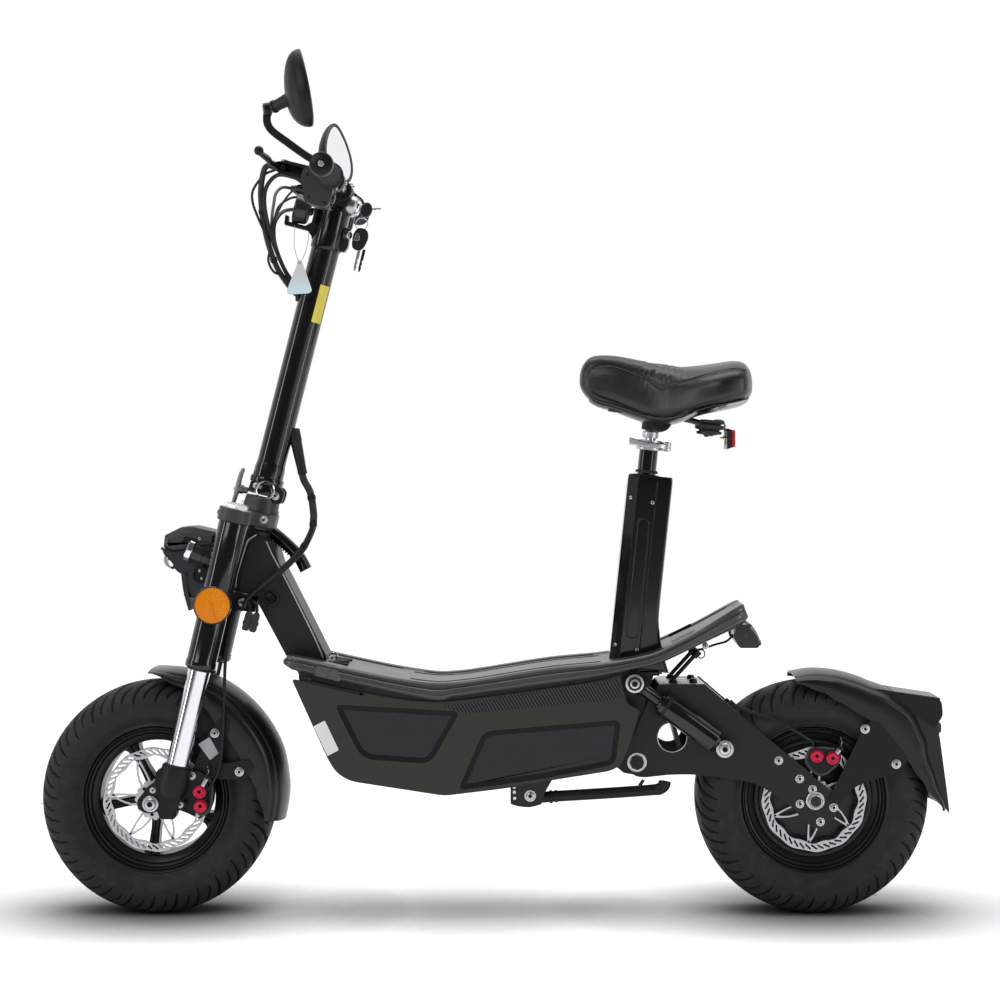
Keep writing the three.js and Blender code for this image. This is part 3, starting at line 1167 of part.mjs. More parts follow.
function carrierSolid() {
  const clamp = rod(
    [seat.tubeX, 0, carrier.clampBottom], [seat.tubeX, 0, carrier.railTop], carrier.clampRadius);
  const rails = [-1, 1].map((side) => solid(rod(
    [carrier.railFront, side * carrier.railSpacing, carrier.railTop - carrier.railRadius],
    [carrier.railRear, side * carrier.railSpacing, carrier.railTop - carrier.railRadius],
    carrier.railRadius, carrier.railRadius, smallSides)));
  const crossBar = crossRod(
    seat.tubeX, carrier.railTop - carrier.railRadius, carrier.barRadius,
    -carrier.railSpacing, carrier.railSpacing, smallSides);
  const rearBar = crossRod(
    carrier.springX, carrier.springBottom + carrier.barRadius, carrier.barRadius,
    -carrier.springSpacing, carrier.springSpacing, smallSides);
  const riser = box(
    carrier.springX - carrier.barRadius, carrier.springX + carrier.barRadius,
    -carrier.railSpacing - carrier.railRadius, carrier.railSpacing + carrier.railRadius,
    carrier.springBottom, carrier.railTop - carrier.railRadius);
  const springs = [-1, 1].map((side) => solid(rod(
    [carrier.springX, side * carrier.springSpacing, carrier.springBottom],
    [carrier.springX, side * carrier.springSpacing, carrier.springTop],
    carrier.springRadius, carrier.springRadius, barSides)));
  const bore = rod(
    [seat.tubeX, 0, carrier.clampBottom - cutOverrun], [seat.tubeX, 0, post.top + restGap],
    post.radius + restGap);
  const bars = [crossBar, rearBar, riser].map(solid);
  return cut(join(solid(clamp), ...rails, ...bars, ...springs), solid(bore));
}

// Saddle: rings along its length, wide and deep at the back, slim at the nose, with a crowned top
function saddleSolid() {
  const sections = Array.from({ length: saddle.sections + 1 }, (_, i) => {
    const t = i / saddle.sections;
    const x = saddle.noseX + saddle.length * t;
    const half = saddle.halfWidth * sampled(saddleWidthShares, t);
    const top = saddle.low + saddle.height * sampled(saddleTopShares, t);
    const low = saddle.low + saddle.height * sampled(saddleLowShares, t);
    const middle = low + (top - low) * saddle.middleShare;
    const points = Array.from({ length: saddle.ringPoints }, (_unused, j) => {
      const angle = (2 * Math.PI * (j + 0.5)) / saddle.ringPoints;
      const [across, up] = [Math.cos(angle), Math.sin(angle)];
      const y = half * Math.sign(across) * Math.abs(across) ** saddle.sideShare;
      const z = up > 0
        ? middle + (top - middle) * up ** saddle.crownShare
        : middle - (middle - low) * (-up) ** saddle.bellyShare;
      return new THREE.Vector2(y, z);
    });
    return { points, place: (p) => [x, p.x, p.y] };
  });
  const recesses = [railRecess, springRecess].map((recess) => solid(box(
    recess.left, recess.right, -recess.halfWidth, recess.halfWidth, saddle.low - cutOverrun, recess.top)));
  return cut(solid(loft(sections)), ...recesses);
}

// The tail light hangs under the rear end of the deck
function tailLightSolid() {
  const left = deck.left + deck.length - tailLight.inset;
  const low = heightAt(deckUnderside, left) - tailLight.hang;
  return centredPlate(places(tailLightShares, { ...tailLight, left, low }), tailLight.halfWidth);
}

function kickstandSolid() {
  const barrelOuter = -standInner + runningGap;
  const barrelInner = kickstand.y + kickstand.legRadius;
  const headInner = -tray.outerHalfWidth - restGap;
  const headOuter = headInner - kickstand.headLength;
  const { pivotX, pivotZ, legRadius } = kickstand;
  const end = [pivotX + kickstand.reach, kickstand.y, pivotZ + kickstand.rise];
  const hookEnd = [end[0] + kickstand.hookReach, end[1], end[2] + kickstand.hookRise];
  return join(
    solid(crossRod(pivotX, pivotZ, kickstand.barrelRadius, barrelOuter, barrelInner)),
    solid(rod([pivotX, kickstand.y, pivotZ], end, legRadius, legRadius, barSides)),
    solid(new THREE.SphereGeometry(legRadius, barSides, ballRings).translate(...end)),
    solid(rod(end, hookEnd, legRadius, legRadius, barSides)),
    solid(crossRod(pivotX, pivotZ, kickstand.boltRadius, headOuter, barrelInner, smallSides)),
    solid(crossRod(pivotX, pivotZ, kickstand.headRadius, headOuter, headInner, smallSides)));
}

// Routes of the cables, point by point
const cockpitRoute = [
  [-86.9, -140, 452], [-94, -139.8, 451.2], [-101, -135, 442], [-101, -114, 412], [-92, -88, 376],
  [-78, -62, 342], [-60, -36, 312], [-40, -12, 292], [-28, -1, 283], [-18, 0, 281],
];
const harnessRoute = [
  [-366.6, 0, 498], [-363, -3, 484], [-352, -12, 464], [-346, -24, 434], [-347, -36, 408],
  [-358, -47, 384], [-378, -54, 360], [-400, -57, 340], [-418, -56, 326], [-425, -50, 319],
  [-426, -41.6, 317.6],
];
const frontHoseRoute = [
  [5, -69, -207.6], [6, -69.5, -240], [9, -70, -285], [22, -70.5, -350], [33, -71, -410], [36, -71, -440],
  [33, -71, -462], [27, -70.6, -478], [24, -68, -482],
];
const rearHoseRoute = [
  [288, -60.5, 151], [297, -60.8, 143], [318, -61.5, 134], [355, -62, 122.5], [386, -62, 105],
  [402, -60, 95], [411, -57, 89.5], [414, -54.7, 84.1],
];
const hoseRadius = 2.6;
const harnessRadius = 6;
const cockpitRadius = 6.5;

// Assembly
function addRoot(vehicle) {
  add(vehicle, 'main_frame', frameSolid(), 'frameBlack');
  add(vehicle, 'deck_board', deckSolid(), 'plasticBlack');
  add(vehicle, 'side_panel_left', panelSolid(-1), 'satinBlack');
  add(vehicle, 'side_panel_right', panelSolid(1), 'satinBlack');
  add(vehicle, 'battery_pack', onFloor(battery), 'batteryBlue');
  add(vehicle, 'motor_controller', onFloor(controller), 'steel');
  add(vehicle, 'tail_light', tailLightSolid(), 'redGloss');
  add(vehicle, 'steering_harness', solid(pipe(harnessRoute, harnessRadius)), 'rubberBlack');
}

function addSteering(vehicle) {
  const steering = new THREE.Group();
  steering.position.set(steerX, 0, steerZ);
  steering.rotation.y = rake;
  vehicle.add(steering);
  add(steering, 'fork_crown', crownSolid(), 'frameBlack');
  add(steering, 'upper_yoke', upperYokeSolid(), 'frameBlack');
  add(steering, 'fork_outer_left', outerTubeSolid(-1), 'frameBlack');
  add(steering, 'fork_outer_right', outerTubeSolid(1), 'frameBlack');
  add(steering, 'headlight', headlightSolid(), 'plasticBlack');
  add(steering, 'side_reflector_left', reflectorSolid(-1), 'orange');
  add(steering, 'side_reflector_right', reflectorSolid(1), 'orange');
  add(steering, 'stanchion_left', stanchionSolid(-1), 'chrome');
  add(steering, 'stanchion_right', stanchionSolid(1), 'chrome');
  add(steering, 'front_axle', frontAxleSolid(), 'steel');
  add(steering, 'front_caliper', caliperSolid(frontCaliper, -forkOffset, -forkDrop), 'frameBlack');
  add(steering, 'front_fender', frontFenderSolid(), 'satinBlack');
  add(steering, 'front_brake_hose', solid(pipe(frontHoseRoute, hoseRadius, hexSides)), 'rubberBlack');
  add(steering, 'column_tube', columnSolid(), 'frameBlack');
  add(steering, 'fold_lever', foldLeverSolid(), 'steel');

  const cockpit = new THREE.Group();
  cockpit.rotation.y = columnTilt;
  steering.add(cockpit);
  add(cockpit, 'handlebar', handlebarSolid(), 'frameBlack');
  add(cockpit, 'grip_left', gripSolid(-1), 'rubberBlack');
  add(cockpit, 'throttle_grip', gripSolid(1), 'rubberBlack');
  add(cockpit, 'controls_left', controlsSolid(-1), 'plasticBlack');
  add(cockpit, 'controls_right', controlsSolid(1), 'plasticBlack');
  add(cockpit, 'brake_lever_left', brakeLeverSolid(-1), 'frameBlack');
  add(cockpit, 'brake_lever_right', brakeLeverSolid(1), 'frameBlack');
  add(cockpit, 'horn', hornSolid(), 'plasticBlack');
  add(cockpit, 'horn_button', hornButtonSolid(), 'plasticBlack');
  add(cockpit, 'ignition_key', keySolid(), 'steel');
  add(cockpit, 'mirror_arm_left', mirrorArmSolid(-1), 'frameBlack');
  add(cockpit, 'mirror_arm_right', mirrorArmSolid(1), 'frameBlack');
  add(cockpit, 'cockpit_cables', solid(pipe(cockpitRoute, cockpitRadius)), 'rubberBlack');
  add(cockpit, 'mirror_left', mirrorHeadSolid(-1), 'plasticBlack');
  add(cockpit, 'mirror_right', mirrorHeadSolid(1), 'plasticBlack');
}

function addRear(vehicle) {
  add(vehicle, 'swingarm', armSolid(), 'frameBlack');
  add(vehicle, 'rear_axle', rearAxleSolid(), 'steel');
  add(vehicle, 'rear_caliper', caliperSolid(rearCaliper, rearAxleX, 0), 'frameBlack');
  add(vehicle, 'rear_fender', rearFenderSolid(), 'satinBlack');
  add(vehicle, 'rear_brake_hose', solid(pipe(rearHoseRoute, hoseRadius, hexSides)), 'rubberBlack');
  const shockAngle = Math.atan2(shock.bottomX - shock.topX, shock.bottomZ - shock.topZ);
  for (const [name, side] of [['left', -1], ['right', 1]]) {
    const unit = new THREE.Group();
    unit.position.set(shock.topX, side * shock.y, shock.topZ);
    unit.rotation.y = shockAngle;
    vehicle.add(unit);
    add(unit, `shock_rod_${name}`, shockRodSolid(), 'chrome');
    add(unit, `shock_body_${name}`, shockBodySolid(), 'frameBlack');
  }
}

function addSeat(vehicle) {
  const group = new THREE.Group();
  group.position.set(seat.x, 0, seat.z);
  group.rotation.y = seat.lean;
  vehicle.add(group);
  add(group, 'seat_column', seatColumnSolid(), 'frameBlack');
  add(group, 'seat_clamp', seatClampSolid(), 'steel');
  add(group, 'seat_clamp_lever', seatLeverSolid(), 'steel');
  add(group, 'seat_post', postSolid(), 'chrome');
  add(group, 'saddle_carrier', carrierSolid(), 'frameBlack');
  add(vehicle, 'saddle', saddleSolid(), 'leatherBlack');
}

function addWheels(vehicle) {
  for (const [end, x, shape, finish, axleRadius] of [
    ['front', frontAxleX, frontRimSolid(), 'satinBlack', frontAxle.radius],
    ['rear', rearAxleX, rearHubSolid(), 'frameBlack', rearAxle.radius],
  ]) {
    const wheel = new THREE.Group();
    wheel.position.x = x;
    vehicle.add(wheel);
    addWheel(wheel, end, shape, finish, axleRadius);
  }
}

const scooter = new THREE.Group();
const vehicle = new THREE.Group();
scooter.add(vehicle);
addRoot(vehicle);
addSteering(vehicle);
addRear(vehicle);
addSeat(vehicle);
add(vehicle, 'kickstand', kickstandSolid(), 'frameBlack');
addWheels(vehicle);

// The origin is under the middle of the scooter, on the ground
const bounds = new THREE.Box3().setFromObject(scooter, true);
const middle = bounds.getCenter(new THREE.Vector3());
vehicle.position.set(-middle.x, -middle.y, -bounds.min.z);
scooter.updateMatrixWorld(true);

export default scooter;
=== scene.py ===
"""Seated electric scooter: pieces, finishes and studio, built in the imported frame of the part."""
import math

import bmesh
import bpy
from bpy.props import FloatProperty, FloatVectorProperty, IntProperty, PointerProperty
from bpy.types import Operator, Panel, PropertyGroup
from mathutils import Matrix, Vector, noise


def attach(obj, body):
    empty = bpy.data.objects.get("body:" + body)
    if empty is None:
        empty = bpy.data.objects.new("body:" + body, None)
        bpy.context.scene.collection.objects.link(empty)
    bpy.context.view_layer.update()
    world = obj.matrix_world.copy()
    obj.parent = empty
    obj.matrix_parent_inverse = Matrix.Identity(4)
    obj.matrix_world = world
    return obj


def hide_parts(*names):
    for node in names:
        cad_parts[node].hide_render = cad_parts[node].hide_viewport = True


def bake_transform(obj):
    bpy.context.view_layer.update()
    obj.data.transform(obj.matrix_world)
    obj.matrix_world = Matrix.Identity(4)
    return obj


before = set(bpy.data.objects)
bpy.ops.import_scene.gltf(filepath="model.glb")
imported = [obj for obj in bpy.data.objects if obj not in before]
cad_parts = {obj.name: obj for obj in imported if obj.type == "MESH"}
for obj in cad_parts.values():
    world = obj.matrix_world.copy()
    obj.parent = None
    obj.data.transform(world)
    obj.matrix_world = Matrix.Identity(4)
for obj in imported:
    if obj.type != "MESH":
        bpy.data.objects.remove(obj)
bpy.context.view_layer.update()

bl_info = {
    "name": "Seated electric scooter",
    "version": (1, 0, 0),
    "blender": (4, 5, 0),
    "location": "3D View > Sidebar > Scooter",
    "description": "Builds the visible pieces of a seated electric scooter on its fixed frame",
    "category": "Object",
}

# The pieces are drawn in millimetres in the same measuring frames as the solids: the vehicle with its
# heights from the axle line, the steering axis, the cockpit on the tilted column, and the seat column.
VEHICLE = Matrix.Scale(0.001, 4) @ Matrix.Translation((71.827, 0.0, 177.143))
STEERING = VEHICLE @ Matrix.Translation((-418.37, 0.0, 489.94)) @ Matrix.Rotation(math.radians(13.1), 4, 'Y')
COCKPIT = STEERING @ Matrix.Rotation(math.radians(1.1), 4, 'Y')
SEAT = VEHICLE @ Matrix.Translation((138.5, 0.0, 194.0)) @ Matrix.Rotation(math.radians(6.0), 4, 'Y')
FRONT_AXLE = (-583.0, 0.0)
REAR_AXLE = (416.0, 0.0)
LEG_X, LEG_Y = -25, 80
BAR_X, BAR_Z = 3, 452
POST_X = -6


def wheel_place(axle):
    """The measuring frame of a wheel, with its axle across the vehicle."""
    return VEHICLE @ Matrix.Translation((axle[0], 0.0, axle[1]))


def shock_place(side):
    """The measuring frame of a shock absorber, which stands along +Z from its upper eye."""
    turn = math.atan2(135.0, -98.0)
    return VEHICLE @ Matrix.Translation((142.0, side * 82.5, 180.0)) @ Matrix.Rotation(turn, 4, 'Y')


def tint(code):
    """A colour code as written on a paint card, as linear light."""
    parts = [int(code[i:i + 2], 16) / 255.0 for i in (0, 2, 4)]
    return tuple(p / 12.92 if p <= 0.04045 else ((p + 0.055) / 1.055) ** 2.4 for p in parts)


def colour(name, description, code):
    """A colour setting with its starting value."""
    return FloatVectorProperty(
        name=name, description=description, subtype='COLOR', size=3, min=0.0, max=1.0, default=tint(code))


class ScooterColours(PropertyGroup):
    """Colours of the finishes."""
    paint: colour("Frame paint", "Gloss paint of frame, fork and column", "0b0b0c")
    satin: colour("Satin plastic", "Fenders, brackets and housings", "151516")
    deck: colour("Deck", "Moulded deck board", "3a3a39")
    panel: colour("Side panels", "Satin plastic of the side panels", "2b2b25")
    inlay: colour("Inlays", "Woven inlays of the side panels", "131418")
    tyre: colour("Tyres", "Rubber of the tyres", "20201f")
    leather: colour("Saddle", "Cover of the saddle", "161618")
    silver: colour("Silver", "Bright bolts, rods and discs", "c9cbce")
    casting: colour("Casting", "Bare cast lever", "8f9193")
    anodised: colour("Adjusters", "Anodised brake adjusters", "c01035")
    orange: colour("Side reflectors", "Prismatic side reflectors", "ffa01c")
    red: colour("Rear reflector", "Rear reflector", "a51210")
    sticker: colour("Column label", "Bare label on the column", "ecdb5a")
    tag: colour("Hang tag", "Bare tag on its string", "cfe4ec")


class ScooterSizes(PropertyGroup):
    """Sizes that a user may change."""
    tread_grooves: IntProperty(
        name="Tread grooves", description="Curved grooves on each side of a tyre", default=28, min=12, max=60)
    groove_depth: FloatProperty(
        name="Groove depth", description="Depth of the tread grooves", default=0.004, min=0.0,
        max=0.006, subtype='DISTANCE', unit='LENGTH')
    disc_slots: IntProperty(
        name="Disc slots", description="Slanted slots in the band of a brake disc", default=48, min=12, max=72)
    stitch_pitch: FloatProperty(
        name="Stitch pitch", description="Distance between stitches of the saddle", default=0.0042,
        min=0.002, max=0.01, subtype='DISTANCE', unit='LENGTH')
    seam_depth: FloatProperty(
        name="Seam depth", description="Depth of the sewn seams of the saddle", default=0.0025,
        min=0.0, max=0.006, subtype='DISTANCE', unit='LENGTH')
    lens: FloatProperty(
        name="Lens", description="Focal length of the studio camera", default=79.5, min=20.0, max=200.0,
        subtype='DISTANCE_CAMERA')
    lamp_power: FloatProperty(
        name="Key lamp", description="Power of the large soft lamp", default=26.0, min=0.0, max=400.0,
        subtype='POWER')
    floor_width: FloatProperty(
        name="Floor width", description="Width of the studio floor", default=14.0, min=4.0, max=40.0,
        subtype='DISTANCE', unit='LENGTH')


def sizes():
    """The size settings of the scene."""
    return bpy.context.scene.scooter_sizes


def colours():
    """The colour settings of the scene."""
    return bpy.context.scene.scooter_colours


def rounded(points, radius, steps=4):
    """An outline with its corners turned; radius is one value or one for each corner."""
    out = []
    count = len(points)
    for i in range(count):
        corner = Vector(points[i])
        before = Vector(points[i - 1]) - corner
        after = Vector(points[(i + 1) % count]) - corner
        reach = radius[i] if isinstance(radius, (list, tuple)) else radius
        start = corner + before.normalized() * min(reach, before.length * 0.48)
        end = corner + after.normalized() * min(reach, after.length * 0.48)
        for k in range(steps + 1):
            t = k / steps
            out.append(start * (1 - t) ** 2 + corner * (2 * t * (1 - t)) + end * t ** 2)
    return out


def area(points):
    """Signed area of an outline."""
    return sum(a[0] * b[1] - b[0] * a[1] for a, b in zip(points, [*points[1:], points[0]])) / 2


def inset(points, distance):
    """The outline moved inwards by a distance."""
    sign = 1.0 if area(points) > 0 else -1.0
    out = []
    for i in range(len(points)):
        here = Vector(points[i])
        a = (here - Vector(points[i - 1])).normalized()
        b = (Vector(points[(i + 1) % len(points)]) - here).normalized()
        normal = Vector((-(a.y + b.y), a.x + b.x))
        if normal.length < 1e-6:
            normal = Vector((-a.y, a.x))
        normal.normalize()
        grow = 1.0 / max(0.5, abs(normal.dot(Vector((-a.y, a.x)))))
        out.append(here + normal * (distance * sign * grow))
    return out


def spread(shares, left, low, length, height):
    """An outline from shares of its box."""
    return [(left + a * length, low + b * height) for a, b in shares]


def turns(steps):
    """Angles spread evenly over a full turn."""
    return [2 * math.pi * k / steps for k in range(steps)]


def circle(x, z, radius, steps=20):
    """Outline of a circle."""
    return [(x + radius * math.cos(a), z + radius * math.sin(a)) for a in turns(steps)]


def hoop(x, y, z, wide, tall, steps):
    """Points of an upright ring that lies along the vehicle."""
    return [(x + wide * math.cos(a), y, z + tall * math.sin(a)) for a in turns(steps)]


def slot_outline(a, b, radius, steps=6):
    """A long hole between two centres."""
    a, b = Vector(a), Vector(b)
    turn = math.atan2((b - a).y, (b - a).x)
    out = [b + Vector((math.cos(turn - math.pi / 2 + math.pi * k / steps),
                       math.sin(turn - math.pi / 2 + math.pi * k / steps))) * radius for k in range(steps + 1)]
    out += [a + Vector((math.cos(turn + math.pi / 2 + math.pi * k / steps),
                        math.sin(turn + math.pi / 2 + math.pi * k / steps))) * radius for k in range(steps + 1)]
    return out


def curve_through(points, per=6):
    """Points on one smooth curve through the given ones."""
    points = [Vector(p) for p in points]
    padded = [points[0] * 2 - points[1], *points, points[-1] * 2 - points[-2]]
    out = []
    for a, b, c, d in zip(padded, padded[1:], padded[2:], padded[3:]):
        for k in range(per):
            t = k / per
            out.append(0.5 * (2 * b + (c - a) * t + (2 * a - 5 * b + 4 * c - d) * t * t
                              + (3 * b - a - 3 * c + d) * t ** 3))
    out.append(points[-1])
    return out


def sampled(shares, t):
    """A value along a table, eased between its entries."""
    place = min(max(t, 0.0), 1.0) * (len(shares) - 1)
    index = min(int(place), len(shares) - 2)
    rest = place - index
    return shares[index] + (shares[index + 1] - shares[index]) * rest * rest * (3 - 2 * rest)


def line_height(line, x):
    """Height of a line of points at one place along it."""
    for (x0, z0), (x1, z1) in zip(line, line[1:]):
        if x <= x1 or (x1, z1) == tuple(line[-1]):
            return z0 + (z1 - z0) * (x - x0) / (x1 - x0)


def soften(made, width, segments):
    """Rounds the edges of an object by a width in millimetres."""
    edge = made.modifiers.new("Edges", 'BEVEL')
    edge.width = width * 0.001
    edge.segments = segments
    edge.limit_method = 'ANGLE'
    edge.angle_limit = math.radians(32)
    made.modifiers.new("Normals", 'WEIGHTED_NORMAL').keep_sharp = True


class Maker:
    """Gathers the faces of one piece, drawn in millimetres in a measuring frame."""

    def __init__(self, place=VEHICLE):
        self.mesh = bmesh.new()
        self.place = place
        self.finishes = []

    def number(self, finish):
        """Index of a finish in this piece."""
        if finish not in self.finishes:
            self.finishes.append(finish)
        return self.finishes.index(finish)

    def verts(self, points):
        """Points placed in the vehicle frame."""
        return [self.mesh.verts.new(self.place @ Vector(p)) for p in points]

    def face(self, verts, number):
        """One smooth face; a face of fewer than three corners is left out."""
        if len(set(verts)) < 3:
            return
        made = self.mesh.faces.new(verts)
        made.material_index = number
        made.smooth = True

    def loft(self, rings, finish, caps=True, loop=True, closed=False):
        """Skin through rings that have one count of points."""
        number = self.number(finish)
        made = [self.verts(ring) for ring in rings]
        count = len(made[0])
        pairs = list(zip(made, made[1:]))
        if closed:
            pairs.append((made[-1], made[0]))
        for a, b in pairs:
            for i in range(count if loop else count - 1):
                j = (i + 1) % count
                self.face([a[i], a[j], b[j], b[i]], number)
        if caps and loop and not closed:
            self.face(made[0][::-1], number)
            self.face(made[-1], number)

    def round(self, start, way, profile, finish, steps=32, caps=True, closed=False):
        """A turned form: the profile gives pairs of distance along the axis and radius."""
        start, axis = Vector(start), Vector(way).normalized()
        side = axis.cross(Vector((0, 0, 1)) if abs(axis.z) < 0.9 else Vector((1, 0, 0))).normalized()
        up = axis.cross(side)
        rings = []
        for along, radius in profile:
            rings.append([start + axis * along + (side * math.cos(a) + up * math.sin(a)) * max(radius, 0.001)
                          for a in turns(steps)])
        self.loft(rings, finish, caps=caps, closed=closed)

    def rod(self, a, b, radius, finish, end=None, steps=24, soft=0.0):
        """A round bar between two points, with softened ends."""
        a, b = Vector(a), Vector(b)
        length = (b - a).length
        end = radius if end is None else end
        profile = [(0, radius), (length, end)]
        if soft:
            profile = [(0, radius - soft), (soft * 0.35, radius - soft * 0.35), (soft, radius),
                       (length - soft, end), (length - soft * 0.35, end - soft * 0.35), (length, end - soft)]
        self.round(a, b - a, profile, finish, steps)

    def plate(self, outline, low, high, finish, holes=(), axis='Y'):
        """A flat outline given thickness along Y or Z, with holes through it."""
        number = self.number(finish)

        def put(point, level):
            return (point[0], level, point[1]) if axis == 'Y' else (point[0], point[1], level)

        layers = []
        for level in (low, high):
            rows = [self.verts([put(p, level) for p in loop]) for loop in (outline, *holes)]
            if holes:
                edges = [self.mesh.edges.new((row[i - 1], row[i])) for row in rows for i in range(len(row))]
                filled = bmesh.ops.triangle_fill(self.mesh, use_beauty=True, edges=edges)
                for part in filled["geom"]:
                    if isinstance(part, bmesh.types.BMFace):
                        part.material_index = number
                        part.smooth = True
            else:
                self.face(rows[0], number)
            layers.append(rows)
        for lower, upper in zip(*layers):
            for i in range(len(lower)):
                self.face([lower[i - 1], lower[i], upper[i], upper[i - 1]], number)

    def block(self, low, high, finish):
        """A block between two corners, which the piece's edge rounding softens."""
        x = sorted((low[0], high[0]))
        y = sorted((low[1], high[1]))
        z = sorted((low[2], high[2]))
        self.plate([(x[0], z[0]), (x[1], z[0]), (x[1], z[1]), (x[0], z[1])], y[0], y[1], finish)

    def tube(self, path, radius, finish, steps=12, caps=True, closed=False, flat=1.0):
        """A bar along a path; the radius is one value or one for each point."""
        path = [Vector(p) for p in path]
        count = len(path)
        side = None
        rings = []
        for i, point in enumerate(path):
            ahead = path[(i + 1) % count] if closed or i + 1 < count else point
            behind = path[i - 1] if closed or i else point
            way = (ahead - behind).normalized()
            if side is None:
                side = way.cross(Vector((0, 1, 0)) if abs(way.y) < 0.9 else Vector((1, 0, 0)))
            side = (side - way * side.dot(way)).normalized()
            up = way.cross(side)
            r = radius[i] if isinstance(radius, (list, tuple)) else radius
            rings.append([point + side * (r * math.cos(a)) + up * (r * flat * math.sin(a)) for a in turns(steps)])
        self.loft(rings, finish, caps=caps, closed=closed)

    def ball(self, centre, radius, finish, steps=20):
        rings = []
        for i in range(1, steps // 2):
            tilt = math.pi * i / (steps // 2)
            rings.append([Vector(centre) + Vector((
                radius * math.sin(tilt) * math.cos(a), radius * math.sin(tilt) * math.sin(a),
                radius * math.cos(tilt))) for a in turns(steps)])
        self.loft(rings, finish)

    def bolt(self, centre, way, radius, finish="bright_bolt", washer=True, height=None):
        """A button head with its socket, on a washer."""
        height = radius * 0.62 if height is None else height
        base = 0.0
        if washer:
            self.round(centre, way, [(-0.5, radius * 1.36), (0.7, radius * 1.36), (0.9, radius * 1.28)],
                       finish, 24)
            base = 0.9
        self.round(centre, way, [
            (base - 0.6, radius), (base + height * 0.35, radius), (base + height * 0.8, radius * 0.84),
            (base + height, radius * 0.6), (base + height, radius * 0.45)], finish, 24, caps=False)
        # The socket is painted near-black as its shade.
        self.round(centre, way, [(base + height, radius * 0.45), (base + height * 0.4, radius * 0.42)],
                   "recess_black", 6)

    def hexagon(self, centre, way, radius, height, finish="bright_bolt"):
        """A hexagon head with a turned chamfer."""
        self.round(centre, way, [(-0.5, radius * 1.3), (0.8, radius * 1.3), (1.0, radius * 1.22)], finish, 24)
        self.round(centre, way, [(0, radius), (height * 0.8, radius), (height, radius * 0.86)], finish, 6)

    def piece(self, name, body, replaces=(), bevel=0.0, segments=2, sharp=38.0):
        """Closes the mesh and seats the piece on its body."""
        bmesh.ops.remove_doubles(self.mesh, verts=self.mesh.verts, dist=2e-6)
        bmesh.ops.recalc_face_normals(self.mesh, faces=self.mesh.faces)
        data = bpy.data.meshes.new(name)
        self.mesh.to_mesh(data)
        self.mesh.free()
        made = bpy.data.objects.new(name, data)
        bpy.context.scene.collection.objects.link(made)
        for finish in self.finishes:
            data.materials.append(material(finish))
        if bevel:
            soften(made, bevel, segments)
        else:
            data.set_sharp_from_angle(angle=math.radians(sharp))
        if body:
            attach(made, body)
        if replaces:
            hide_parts(*replaces)
        return made


class Recipe:
    """A node tree under construction: a finish, or an effect that finishes share."""

    def __init__(self, tree):
        self.tree = tree

    def node(self, kind, links=(), **settings):
        """A node with its settings and its inputs fed."""
        made = self.tree.nodes.new(kind)
        for key, value in settings.items():
            setattr(made, key, value)
        for key, source in dict(links).items():
            self.feed(made.inputs[key], source)
        return made

    def feed(self, socket, source):
        """Feeds a socket from a socket, a node or a value."""
        if isinstance(source, bpy.types.NodeSocket):
            self.tree.links.new(source, socket)
        elif isinstance(source, bpy.types.Node):
            self.tree.links.new(source.outputs[0], socket)
        else:
            socket.default_value = source

    def math(self, operation, *values):
        made = self.node('ShaderNodeMath', operation=operation)
        for socket, value in zip(made.inputs, values):
            self.feed(socket, value)
        return made.outputs[0]

    def ramp(self, value, low, high, to_low=0.0, to_high=1.0):
        """A value mapped from one range to another."""
        made = self.node('ShaderNodeMapRange', {0: value, 1: low, 2: high, 3: to_low, 4: to_high})
        return made.outputs[0]

    def noise(self, scale, detail=3.0, vector=None, roughness=0.55):
        made = self.node('ShaderNodeTexNoise', {'Scale': scale, 'Detail': detail, 'Roughness': roughness})
        if vector is not None:
            self.feed(made.inputs['Vector'], vector)
        return made.outputs[0]

    def place(self):
        return self.node('ShaderNodeTexCoord').outputs['Object']


def effect(name, inputs, outputs, build):
    """A shared effect, made once: its sockets are declared, then its nodes are built."""
    made = bpy.data.node_groups.get(name)
    if made:
        return made
    made = bpy.data.node_groups.new(name, 'ShaderNodeTree')
    for label, kind, value in inputs:
        made.interface.new_socket(name=label, in_out='INPUT', socket_type=kind).default_value = value
    for label, kind in outputs:
        made.interface.new_socket(name=label, in_out='OUTPUT', socket_type=kind)
    recipe = Recipe(made)
    entry = made.nodes.new('NodeGroupInput')
    leave = made.nodes.new('NodeGroupOutput')
    for label, source in build(recipe, entry.outputs).items():
        recipe.feed(leave.inputs[label], source)
    return made


NUMBER, SHADE = 'NodeSocketFloat', 'NodeSocketColor'


def build_patina(r, given):
    """Slow changes of colour and gloss over a surface."""
    slow = r.noise(given['Scale'], 4.0, r.place())
    fine = r.noise(r.math('MULTIPLY', given['Scale'], 9.0), 3.0, r.place())
    both = r.math('ADD', r.math('MULTIPLY', slow, 0.7), r.math('MULTIPLY', fine, 0.3))
    level = r.math('ADD', 1.0, r.math('MULTIPLY', r.math('SUBTRACT', both, 0.5), given['Spread']))
    mixed = r.node('ShaderNodeMix', data_type='RGBA', blend_type='MULTIPLY')
    r.feed(mixed.inputs[0], 1.0)
    r.feed(mixed.inputs[6], given['Color'])
    r.feed(mixed.inputs[7], level)
    gloss = r.math('ADD', given['Roughness'],
                   r.math('MULTIPLY', r.math('SUBTRACT', both, 0.5), given['Gloss Spread']))
    return {'Color': mixed.outputs[2], 'Roughness': gloss}


